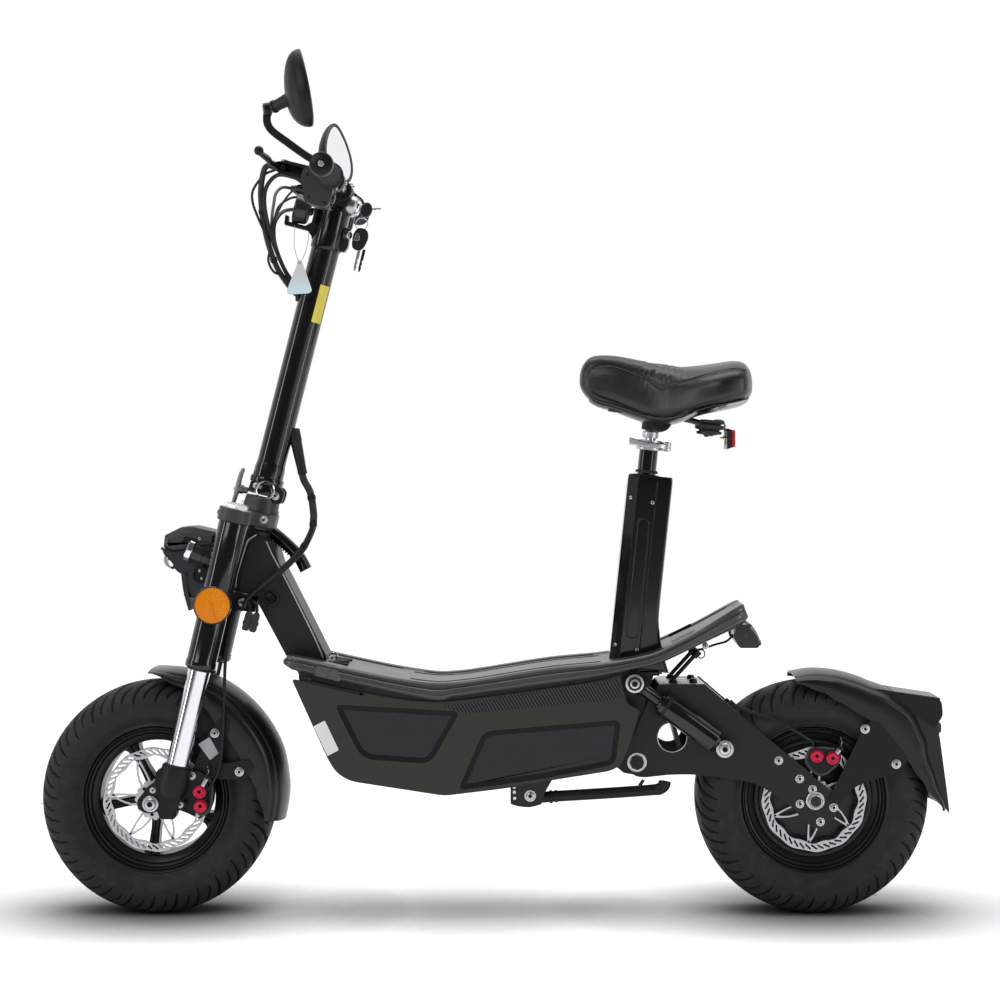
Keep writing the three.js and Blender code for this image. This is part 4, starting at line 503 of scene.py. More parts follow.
def build_wear(r, given):
    """Rubbed edges: a mask that is strongest on outward edges and broken up by specks."""
    edge = r.ramp(r.node('ShaderNodeNewGeometry').outputs['Pointiness'], 0.52, 0.62)
    specks = r.ramp(r.noise(160.0, 4.0, r.place()), 0.42, 0.66)
    return {'Mask': r.math('MULTIPLY', r.math('MULTIPLY', edge, specks), given['Amount'])}


def build_dust(r, given):
    """A film that lies on faces which look up."""
    up = r.node('ShaderNodeSeparateXYZ', {0: r.node('ShaderNodeNewGeometry').outputs['Normal']}).outputs[2]
    patches = r.ramp(r.noise(26.0, 5.0, r.place()), 0.35, 0.75)
    return {'Mask': r.math('MULTIPLY', r.math('MULTIPLY', r.ramp(up, 0.2, 1.0), patches), given['Amount'])}


def build_grain(r, given):
    """The fine even grain of moulded plastic and powder paint."""
    cells = r.node('ShaderNodeTexVoronoi', {'Vector': r.place(), 'Scale': given['Scale']})
    fine = r.noise(r.math('MULTIPLY', given['Scale'], 1.7), 2.0, r.place())
    return {'Height': r.math('ADD', r.math('MULTIPLY', cells.outputs['Distance'], 0.6), fine)}


def build_hide(r, given):
    """Leather: small cells between fine creases, with pores."""
    wobble = r.node('ShaderNodeMix', data_type='VECTOR')
    r.feed(wobble.inputs[0], 0.02)
    r.feed(wobble.inputs[4], r.place())
    r.feed(wobble.inputs[5], r.node('ShaderNodeTexNoise', {'Vector': r.place(), 'Scale': 90.0}).outputs['Color'])
    cells = r.node('ShaderNodeTexVoronoi', {'Vector': wobble.outputs[1], 'Scale': given['Scale']},
                   feature='DISTANCE_TO_EDGE')
    creases = r.ramp(cells.outputs['Distance'], 0.0, 0.12)
    pores = r.ramp(r.noise(2600.0, 1.0, r.place()), 0.36, 0.5)
    return {'Height': r.math('ADD', r.math('MULTIPLY', creases, 0.7), r.math('MULTIPLY', pores, 0.3)),
            'Creases': r.math('SUBTRACT', 1.0, creases)}


def build_weave(r, given):
    """A twill of flat threads that cross at right angles, drawn on the side of the vehicle."""
    split = r.node('ShaderNodeSeparateXYZ', {0: r.place()})
    x, z = split.outputs[0], split.outputs[2]
    u = r.math('DIVIDE', x, given['Pitch'])
    v = r.math('DIVIDE', z, given['Pitch'])
    step = r.math('FLOORED_MODULO', r.math('ADD', r.math('FLOOR', u), r.math('FLOOR', v)), 4.0)
    over = r.math('LESS_THAN', step, 2.0)
    warp = r.math('ABSOLUTE', r.math('SINE', r.math('MULTIPLY', u, math.pi)))
    weft = r.math('ABSOLUTE', r.math('SINE', r.math('MULTIPLY', v, math.pi)))
    height = r.node('ShaderNodeMix', {0: over, 2: warp, 3: weft}).outputs[0]
    return {'Mask': over, 'Height': height}


def build_ribs(r, given):
    """Slanted ribs on the side of the vehicle."""
    split = r.node('ShaderNodeSeparateXYZ', {0: r.place()})
    run = r.math('ADD', r.math('MULTIPLY', split.outputs[0], given['Along']),
                 r.math('MULTIPLY', split.outputs[2], given['Up']))
    wave = r.math('SINE', r.math('MULTIPLY', r.math('DIVIDE', run, given['Pitch']), 2 * math.pi))
    return {'Mask': r.ramp(wave, -0.4, 0.6)}


def build_brushed(r, given):
    """Fine lines left by turning or brushing, drawn out along one direction."""
    stretched = r.node('ShaderNodeVectorMath', {0: r.place(), 1: given['Stretch']}, operation='MULTIPLY')
    lines = r.noise(420.0, 3.0, stretched.outputs[0], 0.7)
    return {'Height': lines, 'Roughness': r.math('ADD', given['Roughness'],
                                                 r.math('MULTIPLY', r.math('SUBTRACT', lines, 0.5), 0.3))}


def build_scuffs(r, given):
    """Sparse thin scratches in changing directions."""
    cells = r.node('ShaderNodeTexVoronoi', {'Vector': r.place(), 'Scale': given['Scale']})
    drawn = r.node('ShaderNodeTexNoise', {'Vector': cells.outputs['Position'], 'Scale': 40.0})
    turned = r.node('ShaderNodeVectorRotate', {'Vector': r.place(), 'Angle': r.math(
        'MULTIPLY', drawn.outputs[0], 14.0)}, rotation_type='Y_AXIS')
    lines = r.node('ShaderNodeTexWave', {'Vector': turned.outputs[0], 'Scale': 60.0, 'Distortion': 2.0})
    return {'Mask': r.math('MULTIPLY', r.ramp(lines.outputs[1], 0.992, 1.0),
                           r.ramp(r.noise(30.0, 2.0, r.place()), 0.5, 0.7))}


def build_prisms(r, given):
    """Rows of small cube corners behind a reflector's face."""
    cells = r.node('ShaderNodeTexVoronoi', {'Vector': r.place(), 'Scale': given['Scale'], 'Randomness': 0.35})
    return {'Height': cells.outputs['Distance']}


EFFECTS = {
    'Patina': (build_patina, [('Color', SHADE, (0.5, 0.5, 0.5, 1.0)), ('Spread', NUMBER, 0.3),
                              ('Scale', NUMBER, 18.0), ('Roughness', NUMBER, 0.4),
                              ('Gloss Spread', NUMBER, 0.2)], [('Color', SHADE), ('Roughness', NUMBER)]),
    'Rubbed edges': (build_wear, [('Amount', NUMBER, 0.5)], [('Mask', NUMBER)]),
    'Dust': (build_dust, [('Amount', NUMBER, 0.3)], [('Mask', NUMBER)]),
    'Grain': (build_grain, [('Scale', NUMBER, 1200.0)], [('Height', NUMBER)]),
    'Hide': (build_hide, [('Scale', NUMBER, 620.0)], [('Height', NUMBER), ('Creases', NUMBER)]),
    'Twill': (build_weave, [('Pitch', NUMBER, 0.0014)], [('Mask', NUMBER), ('Height', NUMBER)]),
    'Ribs': (build_ribs, [('Pitch', NUMBER, 0.0044), ('Along', NUMBER, 0.85), ('Up', NUMBER, 0.52)],
             [('Mask', NUMBER)]),
    'Brushed': (build_brushed, [('Stretch', 'NodeSocketVector', (1.0, 1.0, 0.04)), ('Roughness', NUMBER, 0.3)],
                [('Height', NUMBER), ('Roughness', NUMBER)]),
    'Scuffs': (build_scuffs, [('Scale', NUMBER, 22.0)], [('Mask', NUMBER)]),
    'Prisms': (build_prisms, [('Scale', NUMBER, 420.0)], [('Height', NUMBER)]),
}


class Finish(Recipe):
    """A finish: one shader, fed by shared effects."""

    def __init__(self, name, roughness=0.4, metallic=0.0, coat=0.0, specular=0.5, **values):
        self.material = bpy.data.materials.new(name)
        self.material.use_nodes = True
        super().__init__(self.material.node_tree)
        self.shader = self.tree.nodes["Principled BSDF"]
        values.update({'Roughness': roughness, 'Metallic': metallic, 'Coat Weight': coat,
                       'Specular IOR Level': specular})
        for label, value in values.items():
            self.shader.inputs[label.replace('_', ' ')].default_value = value

    def use(self, name, **values):
        """Adds one of the shared effects."""
        build, inputs, outputs = EFFECTS[name]
        made = self.tree.nodes.new('ShaderNodeGroup')
        made.node_tree = effect(name, inputs, outputs, build)
        for label, value in values.items():
            self.feed(made.inputs[label.replace('_', ' ')], value)
        return made.outputs

    def mix(self, mask, a, b):
        """Two shades mixed by a mask."""
        made = self.node('ShaderNodeMix', data_type='RGBA')
        for index, value in ((0, mask), (6, a), (7, b)):
            self.feed(made.inputs[index], (*value, 1.0) if isinstance(value, tuple) and len(value) == 3 else value)
        return made.outputs[2]

    def patina(self, base, spread=0.3, scale=18.0, roughness=0.4, gloss_spread=0.2):
        """Uneven tone and gloss over the base shade."""
        shade = (*base, 1.0) if len(base) == 3 else base
        made = self.use('Patina', Color=shade, Spread=spread, Scale=scale, Roughness=roughness,
                        Gloss_Spread=gloss_spread)
        self.feed(self.shader.inputs['Base Color'], made['Color'])
        self.feed(self.shader.inputs['Roughness'], made['Roughness'])
        return made

    def rub(self, under, base, amount=0.5):
        """Edges rubbed through to the shade below."""
        mask = self.use('Rubbed edges', Amount=amount)['Mask']
        shade = self.mix(mask, base, under)
        self.feed(self.shader.inputs['Base Color'], shade)
        return shade

    def film(self, base, amount=0.3, film=(0.09, 0.085, 0.08)):
        """A film of dust."""
        shade = self.mix(self.use('Dust', Amount=amount)['Mask'], base, film)
        self.feed(self.shader.inputs['Base Color'], shade)
        return shade

    def bump(self, height, strength=0.2, distance=0.0004, under=None):
        """Fine relief, over another when given."""
        made = self.node('ShaderNodeBump', {'Strength': strength, 'Distance': distance, 'Height': height})
        if under is not None:
            self.feed(made.inputs['Normal'], under)
        self.feed(self.shader.inputs['Normal'], made.outputs[0])
        return made.outputs[0]


def gloss_paint(name, base, roughness=0.2, coat=0.5):
    """Clear-coated paint with scuffs and a little dust."""
    f = Finish(name, roughness, coat=coat, specular=0.3, Coat_Roughness=0.06)
    shade = f.patina(base, 0.35, 9.0, roughness, 0.06)['Color']
    shade = f.mix(f.math('MULTIPLY', f.use('Scuffs')['Mask'], 0.25), shade, (0.05, 0.05, 0.052))
    f.film(shade, 0.04)
    f.bump(f.use('Grain', Scale=260.0)['Height'], 0.03, 0.0002)
    return f


def moulded(name, base, roughness=0.5, grain=1100.0, strength=0.22, dust=0.2, specular=0.4, rubbed=0.0):
    """Moulded plastic with a fine grain, dust and, when asked, rubbed edges."""
    f = Finish(name, roughness, specular=specular)
    shade = f.patina(base, 0.35, 14.0, roughness, 0.16)['Color']
    if rubbed:
        shade = f.rub(tuple(min(1.0, c * 2.4 + 0.02) for c in base), shade, rubbed)
    f.film(shade, dust)
    f.bump(f.use('Grain', Scale=grain)['Height'], strength, 0.0004)
    return f


def metal(name, base, roughness=0.25, stretch=(1.0, 1.0, 0.05), lines=0.12, spread=0.25):
    """Brushed or turned metal; the stretch sets the direction of the lines."""
    f = Finish(name, roughness, metallic=1.0)
    f.patina(base, spread, 40.0, roughness, 0.1)
    made = f.use('Brushed', Stretch=stretch, Roughness=roughness)
    f.feed(f.shader.inputs['Roughness'], made['Roughness'])
    f.bump(made['Height'], lines, 0.0002)
    return f


def rubber(name, base, roughness=0.72, grain=700.0, strength=0.25):
    """Matt rubber with a film of dust."""
    f = Finish(name, roughness, specular=0.3)
    shade = f.patina(base, 0.4, 22.0, roughness, 0.2)['Color']
    f.film(shade, 0.25, (0.07, 0.067, 0.06))
    f.bump(f.use('Grain', Scale=grain)['Height'], strength, 0.0004)
    return f


def tyre_finish(name):
    """Tyre rubber, paler where the moulding is worn."""
    f = rubber(name, tuple(colours().tyre), 0.62, 520.0, 0.22)
    moulding = f.noise(60.0, 5.0, f.place())
    worn = f.mix(f.ramp(moulding, 0.45, 0.8, 0.0, 0.55), tuple(colours().tyre), (0.035, 0.034, 0.031))
    f.film(worn, 0.3, (0.055, 0.053, 0.05))
    return f


def saddle_finish(name):
    """Grained cover with creases painted darker as shade, and soft swellings."""
    f = Finish(name, 0.34, specular=0.5, coat=0.12, Coat_Roughness=0.22)
    hide = f.use('Hide')
    shade = f.patina(tuple(colours().leather), 0.35, 16.0, 0.34, 0.22)['Color']
    # The creases of the grain are painted towards near-black as their shade.
    shade = f.mix(f.math('MULTIPLY', hide['Creases'], 0.5), shade, (0.004, 0.004, 0.005))
    f.film(shade, 0.1)
    soft = f.bump(f.noise(38.0, 4.0, f.place()), 0.12, 0.002)
    f.bump(hide['Height'], 0.16, 0.0004, soft)
    return f


def weave_finish(name):
    """Twill inlay, each strand with its own tone."""
    f = Finish(name, 0.34, specular=0.45)
    weave = f.use('Twill')
    base = tuple(colours().inlay)
    shade = f.mix(weave['Mask'], tuple(c * 0.5 for c in base), tuple(c * 1.7 for c in base))
    tone = f.use('Patina', Color=shade, Spread=0.5, Scale=9.0, Roughness=0.36, Gloss_Spread=0.2)
    f.feed(f.shader.inputs['Base Color'], tone['Color'])
    f.feed(f.shader.inputs['Roughness'], tone['Roughness'])
    f.bump(weave['Height'], 0.5, 0.0005)
    return f


def rib_finish(name):
    """Ribbed strip, painted darker between the ribs as shade."""
    f = Finish(name, 0.5, specular=0.4)
    ribs = f.use('Ribs')
    # Near-black between the ribs and a lighter grey on them: painted shade in the grooves.
    shade = f.mix(ribs['Mask'], (0.004, 0.004, 0.005), (0.042, 0.042, 0.046))
    f.feed(f.shader.inputs['Base Color'], shade)
    f.feed(f.shader.inputs['Roughness'], f.ramp(ribs['Mask'], 0.0, 1.0, 0.7, 0.42))
    f.bump(ribs['Mask'], 0.8, 0.001)
    return f


def reflector_finish(name, base, deep):
    """Prism lens, one half painted darker along a slanted line as shade."""
    f = Finish(name, 0.16, specular=0.25, coat=0.15, Coat_Roughness=0.03)
    prism = f.use('Prisms')
    spot = f.node('ShaderNodeSeparateXYZ', {0: f.place()})
    # A slanted line splits the lens; one half is painted towards the darker colour as shade.
    slant = f.math('ADD', f.math('ADD', spot.outputs[0], 0.4187), f.math(
        'MULTIPLY', f.math('SUBTRACT', spot.outputs[2], 0.475), 0.7))
    facet = f.mix(f.ramp(prism['Height'], 0.1, 0.7), base, deep)
    shade = f.mix(f.ramp(slant, -0.006, 0.004, 0.65, 0.0), facet, deep)
    f.feed(f.shader.inputs['Base Color'], shade)
    f.bump(prism['Height'], 0.25, 0.0006)
    return f


def label_finish(name, base):
    """Plain printed label without text."""
    f = Finish(name, 0.42, specular=0.4)
    f.patina(base, 0.14, 60.0, 0.42, 0.2)
    f.bump(f.noise(240.0, 3.0, f.place()), 0.06, 0.0004)
    return f


def tag_finish(name):
    """Hang tag with a grey band at its top."""
    f = label_finish(name, tuple(colours().tag))
    height = f.node('ShaderNodeSeparateXYZ', {0: f.place()}).outputs[2]
    f.feed(f.shader.inputs['Base Color'], f.mix(f.ramp(height, 0.955, 0.972), tuple(colours().tag),
                                                (0.62, 0.64, 0.66)))
    return f


def glass_finish(name, roughness, transmission, base):
    """Clear or smoked lens."""
    f = Finish(name, roughness, Transmission_Weight=transmission, IOR=1.46)
    f.shader.inputs['Base Color'].default_value = (*base, 1.0)
    f.bump(f.noise(120.0, 2.0, f.place()), 0.03, 0.0003)
    return f


def cast_finish(name):
    """Cast alloy with a coarse grain."""
    f = Finish(name, 0.45, metallic=0.85)
    f.patina(tuple(colours().casting), 0.4, 60.0, 0.45, 0.2)
    f.bump(f.use('Grain', Scale=900.0)['Height'], 0.3, 0.0005)
    return f


def anodised_finish(name):
    """Red anodised metal."""
    f = Finish(name, 0.28, metallic=0.75, coat=0.3)
    f.patina(tuple(colours().anodised), 0.3, 60.0, 0.28, 0.12)
    f.bump(f.use('Brushed')['Height'], 0.1, 0.0002)
    return f


def mirror_finish(name):
    """Mirror glass."""
    f = Finish(name, 0.03, metallic=1.0)
    f.patina((0.86, 0.87, 0.88), 0.06, 20.0, 0.03, 0.03)
    f.bump(f.noise(8.0, 1.0, f.place()), 0.01, 0.0005)
    return f


def chrome_finish(name):
    """Polished chrome."""
    f = Finish(name, 0.08, metallic=1.0)
    f.patina((0.82, 0.82, 0.83), 0.06, 30.0, 0.08, 0.05)
    f.bump(f.noise(6.0, 1.0, f.place()), 0.02, 0.0004)
    return f


def painted_shade_black(name, roughness):
    """Near-black painted into openings, sockets, seams and recesses as their shade."""
    f = Finish(name, roughness, specular=0.3)
    f.patina((0.004, 0.004, 0.0045), 0.3, 40.0, roughness, 0.2)
    f.bump(f.noise(300.0, 3.0, f.place()), 0.1, 0.0004)
    return f


def finish_table():
    """The maker of each finish with the values it is given."""
    c = colours()
    silver = tuple(c.silver)
    return {
        "frame_gloss": (gloss_paint, tuple(c.paint), 0.2),
        "rim_gloss": (gloss_paint, (0.006, 0.006, 0.007), 0.36, 0.06),
        "arm_satin": (moulded, (0.009, 0.009, 0.0085), 0.42, 1400.0, 0.1, 0.1, 0.35),
        "fork_gloss": (gloss_paint, (0.006, 0.006, 0.007), 0.16),
        "satin_plastic": (moulded, tuple(c.satin), 0.42, 1200.0, 0.1, 0.08, 0.26),
        "fender_plastic": (moulded, tuple(c.satin), 0.3, 900.0, 0.05, 0.06, 0.4),
        "housing_grey": (moulded, (0.03, 0.03, 0.031), 0.42, 800.0, 0.2, 0.25, 0.5, 0.4),
        "lamp_black": (moulded, (0.006, 0.006, 0.0065), 0.36, 900.0, 0.1, 0.1),
        "deck_mould": (moulded, tuple(c.deck), 0.33, 620.0, 0.16, 0.15, 0.7, 0.4),
        "panel_plastic": (moulded, tuple(c.panel), 0.44, 1500.0, 0.08, 0.05),
        "woven_inlay": (weave_finish,),
        # Strip with painted shade between its ribs.
        "ribbed_strip": (rib_finish,),
        "tyre_rubber": (tyre_finish,),
        # Near-black rubber that paints shade deep in the tyre grooves.
        "groove_black": (rubber, (0.0025, 0.0025, 0.0024), 0.85, 700.0, 0.1),
        "grip_rubber": (rubber, (0.011, 0.011, 0.012), 0.66, 900.0, 0.3),
        "cable_rubber": (rubber, (0.009, 0.009, 0.0095), 0.4, 1500.0, 0.08),
        "cable_sheath": (moulded, (0.012, 0.012, 0.013), 0.5, 2200.0, 0.4, 0.1),
        "saddle_leather": (saddle_finish,),
        "thread": (rubber, (0.014, 0.014, 0.015), 0.6, 2600.0, 0.4),
        "chrome": (chrome_finish,),
        "bright_bolt": (metal, silver, 0.36, (1.0, 1.0, 1.0), 0.08, 0.3),
        "disc_steel": (metal, (0.56, 0.55, 0.55), 0.36, (0.15, 1.0, 1.0), 0.16, 0.3),
        "brushed_plate": (metal, (0.5, 0.5, 0.51), 0.34, (0.05, 1.0, 1.0), 0.15, 0.3),
        "dark_steel": (metal, (0.045, 0.045, 0.05), 0.36, (1.0, 1.0, 0.3), 0.1, 0.3),
        "brass": (metal, (0.62, 0.42, 0.14), 0.3, (1.0, 1.0, 1.0), 0.1, 0.3),
        "cast_alloy": (cast_finish,),
        "red_anodised": (anodised_finish,),
        # The second colour of each lens is its deep tone in the prism cells and the painted shade of its darker half.
        "orange_lens": (reflector_finish, tuple(c.orange), (0.72, 0.2, 0.0)),
        "red_lens": (reflector_finish, tuple(c.red), (0.12, 0.0, 0.0)),
        "mirror_glass": (mirror_finish,),
        "lamp_glass": (glass_finish, 0.06, 0.85, (0.9, 0.92, 0.93)),
        "smoked_glass": (glass_finish, 0.12, 0.5, (0.28, 0.29, 0.3)),
        # Near-black painted into sockets, openings, seams and recess walls as their shade.
        "recess_black": (painted_shade_black, 0.7),
        "white_label": (label_finish, (0.78, 0.78, 0.75)),
        "grey_label": (label_finish, (0.42, 0.43, 0.45)),
        "yellow_label": (label_finish, tuple(c.sticker)),
        "hang_tag": (tag_finish,),
        "blue_case": (moulded, (0.02, 0.055, 0.11), 0.5, 600.0, 0.2, 0.2),
        "finned_case": (metal, (0.5, 0.5, 0.5), 0.45, (1.0, 1.0, 0.2), 0.2, 0.3),
    }


def material(name):
    """The finish of that name, made when it is first asked for."""
    made = bpy.data.materials.get(name)
    if made:
        return made
    maker, *values = finish_table()[name]
    return maker(name, *values).material


KEPT_SOLIDS = (
    ("main_frame", "arm_satin", "frame_black", 1.2),
    ("battery_pack", "blue_case", "battery_blue", 1.5),
    ("motor_controller", "finned_case", "controller_case", 1.2),
)


def dress_solid(node, finish, width):
    """Stands a copy with softened edges and its own finish in the place of a plain solid."""
    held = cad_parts[node]
    made = bpy.data.objects.new(node + "_softened", held.data.copy())
    made.data.materials.clear()
    made.data.materials.append(material(finish))
    made.matrix_world = held.matrix_world
    bpy.context.scene.collection.objects.link(made)
    soften(made, width, 2)
    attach(made, "frame")
    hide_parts(node)


def tyre_section():
    """Half of the section of a tyre as pairs of width and radius, from the crown to the bead."""
    return curve_through([
        (0, 177.9), (12, 177.8), (24, 176.6), (34, 173.6), (43, 168.4), (50, 160.4), (54.4, 151.0), (55.9, 141.5),
        (54.6, 131.0), (50.0, 121.5), (46.2, 116.2), (44.6, 112.2), (43.0, 110.0), (41.0, 108.4)], 5)


def build_tyre(name, body, node, axle):
    """A road tyre with curved grooves in both shoulders, their deep faces in a near-black painted shade, ribs on its
    sidewalls and a bead.
    """
    m = Maker(wheel_place(axle))
    half = tyre_section()
    run = [0.0]
    for a, b in zip(half, half[1:]):
        run.append(run[-1] + (b - a).length)
    around = 1080
    pitch = 2 * math.pi / sizes().tread_grooves
    depth = sizes().groove_depth * 1000
    bands = ((8.0, 72.0, 0.0, 1.5, 0.27), (36.0, 64.0, 0.5, 1.1, 0.13), (0.0, 26.0, 0.42, 1.2, 0.12))

    def sunk(angle, along, side):
        deepest = 0.0
        for low, high, shift, width, sweep in bands:
            if not low < along < high:
                continue
            u = (along - low) / (high - low)
            centre = -sweep * (1 - u) ** 1.7 + (shift + (0.25 if side > 0 else 0.0)) * pitch
            off = (angle - centre + pitch / 2) % pitch - pitch / 2
            wide = width * (0.35 + math.sin(math.pi * min(1.0, u * 0.94 + 0.06)) ** 0.6)
            reach = abs(off) * 165.0 / wide
            if reach < 1.5:
                edge = min(1.0, (1.5 - reach) / 0.9)
                deepest = max(deepest, edge * min(1.0, (1 - abs(2 * u - 1)) * 6))
        return deepest * depth

    rings = []
    for k in range(around):
        angle = 2 * math.pi * k / around
        ring = []
        c, s = math.cos(angle), math.sin(angle)
        for side in (-1, 1):
            points = list(zip(half, run))
            for (y, r), along in (points[::-1] if side < 0 else points[1:]):
                r = r - sunk(angle, along, side) if along < 73 else r
                if 79 < along < 81 or 92.5 < along < 94.5:
                    y = y + 0.5
                ring.append((c * r, side * y, s * r))
        for y, r in ((38.0, 108.0), (36.0, 112.0), (-36.0, 112.0), (-38.0, 108.0)):
            ring.append((c * r, y, s * r))
        rings.append(ring)
    m.loft(rings, "tyre_rubber", closed=True)
    # Faces deep in a groove take the near-black finish: painted shade in the grooves.
    dark = m.number("groove_black")
    back = m.place.inverted()
    width = [p.x for p in half]
    for face in m.mesh.faces:
        x, y, z = back @ face.calc_center_median()
        if math.hypot(x, z) > 146:
            i = next((i for i, w in enumerate(width) if w > abs(y)), len(width) - 1)
            if sunk(math.atan2(z, x) % (2 * math.pi), run[i], 1 if y > 0 else -1) > 0.62 * depth:
                face.material_index = dark
    for side in (-1, 1):
        for k in range(9):
            a = k * 0.698 + 0.3 * side
            base = Vector((math.cos(a) * 174.0, side * 33.0, math.sin(a) * 174.0))
            tip = Vector((math.cos(a) * 177.6, side * 37.0, math.sin(a) * 177.6))
            m.rod(base, tip, 0.35, "tyre_rubber", steps=5)
    return m.piece(name, body, (node,), sharp=60)


RIM_LIP = [
    (45.4, 114.0), (46.0, 112.2), (45.4, 110.6), (42.6, 109.2), (41.6, 108.2), (43.2, 107.2), (43.4, 106.0),
    (41.0, 104.6), (38.6, 103.6), (38.0, 102.2), (38.4, 100.6), (35.2, 98.4), (33.0, 93.0), (31.6, 89.4),
    (29.0, 88.0)]


def rim_profile(inner):
    """Closed profile of a rim: lip, barrel and back."""
    lip = [(-y, r) for y, r in RIM_LIP]
    barrel = [(-27.0, inner), (27.0, inner)]
    back = [(40.0, 114.0), (38.0, 107.6), (-38.0, 107.6), (-40.0, 114.0)]
    return [*lip, *barrel, *[(-y, r) for y, r in lip[::-1]], *back]


def build_front_rim():
    """Five-spoke painted rim with stepped lips, hub and bearing caps."""
    m = Maker(wheel_place(FRONT_AXLE))
    m.round((0, 0, 0), (0, 1, 0), rim_profile(87.6), "rim_gloss", 128, closed=True)
    m.round((0, 0, 0), (0, 1, 0), [
        (-44.0, 10.0), (-44.0, 22.0), (-42.6, 23.6), (-30, 24.0), (-24, 26), (24, 26), (30, 24), (43.6, 24),
        (44.0, 10.0)], "rim_gloss", 56, closed=True)
    for k in range(5):
        a = math.radians(47 + 72 * k)
        way = Vector((math.cos(a), 0, math.sin(a)))
        side = Vector((-math.sin(a), 0, math.cos(a)))
        rings = []
        for r, wide, deep in ((22, 9.0, 19), (30, 7.6, 18), (50, 6.6, 15), (70, 7.2, 15), (82, 9.5, 18),
                              (90, 15.0, 22)):
            corners = [(-wide, -deep + 3), (-wide + 2.6, -deep), (-1.6, -deep), (-1.2, -deep + 3.4),
                       (1.2, -deep + 3.4), (1.6, -deep), (wide - 2.6, -deep), (wide, -deep + 3),
                       (wide, deep - 3), (wide - 2.6, deep), (-wide + 2.6, deep), (-wide, deep - 3)]
            rings.append([way * r + side * s + Vector((0, y, 0)) for s, y in corners])
        m.loft(rings, "rim_gloss")
    for side in (-1, 1):
        m.round((0, side * 43.8, 0), (0, side, 0), [(0, 20), (0.8, 20), (1.0, 12.5), (0.6, 12.0)],
                "dark_steel", 40)
    m.rod((72, -20, 52), (78, -34, 57), 3.2, "dark_steel", 2.6, steps=12)
    return m.piece("front_rim_cast", "front_wheel", ("front_rim",), bevel=0.5, sharp=30)


def build_hub_motor():
    """Hub motor inside its rim: ribbed covers, screws, axle boss and stepped lips."""
    m = Maker(wheel_place(REAR_AXLE))
    m.round((0, 0, 0), (0, 1, 0), rim_profile(88.0), "rim_gloss", 128, closed=True)
    for side in (-1, 1):
        m.round((0, 0, 0), (0, side, 0), [
            (10, 89.0), (34.6, 89.0), (35.2, 86.0), (35.0, 84.0), (37.6, 82.0), (38.2, 79.0), (38.4, 60.0),
            (39.8, 56.0), (40.2, 40.0), (42.0, 31.0), (44.0, 28.0), (44.4, 12.5)], "rim_gloss", 96, caps=False)
        for a in turns(12):
            a += 0.13
            m.bolt((84.2 * math.cos(a), side * 35.0, 84.2 * math.sin(a)), (0, side, 0), 2.3, "dark_steel", False)
    return m.piece("rear_motor_case", "rear_wheel", ("rear_hub_motor",), sharp=26)


def build_disc(name, body, node, axle, turn):
    """Wave brake disc: scalloped band with slanted slots on thin swept arms."""
    m = Maker(wheel_place(axle))
    y = -50.0
    outer = []
    inner = []
    for a in turns(240):
        edge = 78.9 + 1.0 * math.sin(12 * a + turn)
        outer.append((edge * math.cos(a), edge * math.sin(a)))
        wave = 65.4 + 1.6 * math.sin(12 * a + turn + 1.2)
        inner.append((wave * math.cos(a), wave * math.sin(a)))
    holes = [inner]
    tilt = 0.052
    for a in turns(sizes().disc_slots):
        holes.append(slot_outline((69.6 * math.cos(a - tilt), 69.6 * math.sin(a - tilt)),
                                  (75.0 * math.cos(a + tilt), 75.0 * math.sin(a + tilt)), 1.25, 3))
    m.plate(outer, y - 0.95, y + 0.95, "disc_steel", holes)
    for k in range(12):
        a = 2 * math.pi * k / 12 + turn
        lean = 0.12 if k % 2 else -0.42
        path = []
        for t in (0, 0.25, 0.5, 0.75, 1.0):
            reach = 27 + (66.6 - 27) * t
            path.append((reach * math.cos(a + lean * t), reach * math.sin(a + lean * t)))
        left, right = [], []
        for i, point in enumerate(path):
            ahead = Vector(path[min(i + 1, 4)]) - Vector(path[max(i - 1, 0)])
            across = Vector((-ahead.y, ahead.x)).normalized() * (1.25 + 0.9 * (1 - math.sin(i * math.pi / 4)))
            left.append(Vector(point) + across)
            right.append(Vector(point) - across)
        m.plate([*left, *right[::-1]], y - 0.9, y + 0.9, "disc_steel")
    star = [((29.5 + 2.0 * math.cos(12 * a)) * math.cos(a), (29.5 + 2.0 * math.cos(12 * a)) * math.sin(a))
            for a in turns(96)]
    m.plate(star, y - 0.95, y + 0.95, "disc_steel", [circle(0, 0, 18, 32)])
    m.round((0, y, 0), (0, 1, 0), [(0.9, 26.5), (5.6, 26.5), (6.2, 25), (6.2, 13), (0.9, 13)], "rim_gloss", 48,
            closed=True)
    for a in turns(6):
        a += 0.3
        m.bolt((23.4 * math.cos(a), y - 0.9, 23.4 * math.sin(a)), (0, -1, 0), 2.6, "dark_steel", False)
    return m.piece(name, body, (node,), bevel=0.25, segments=1)


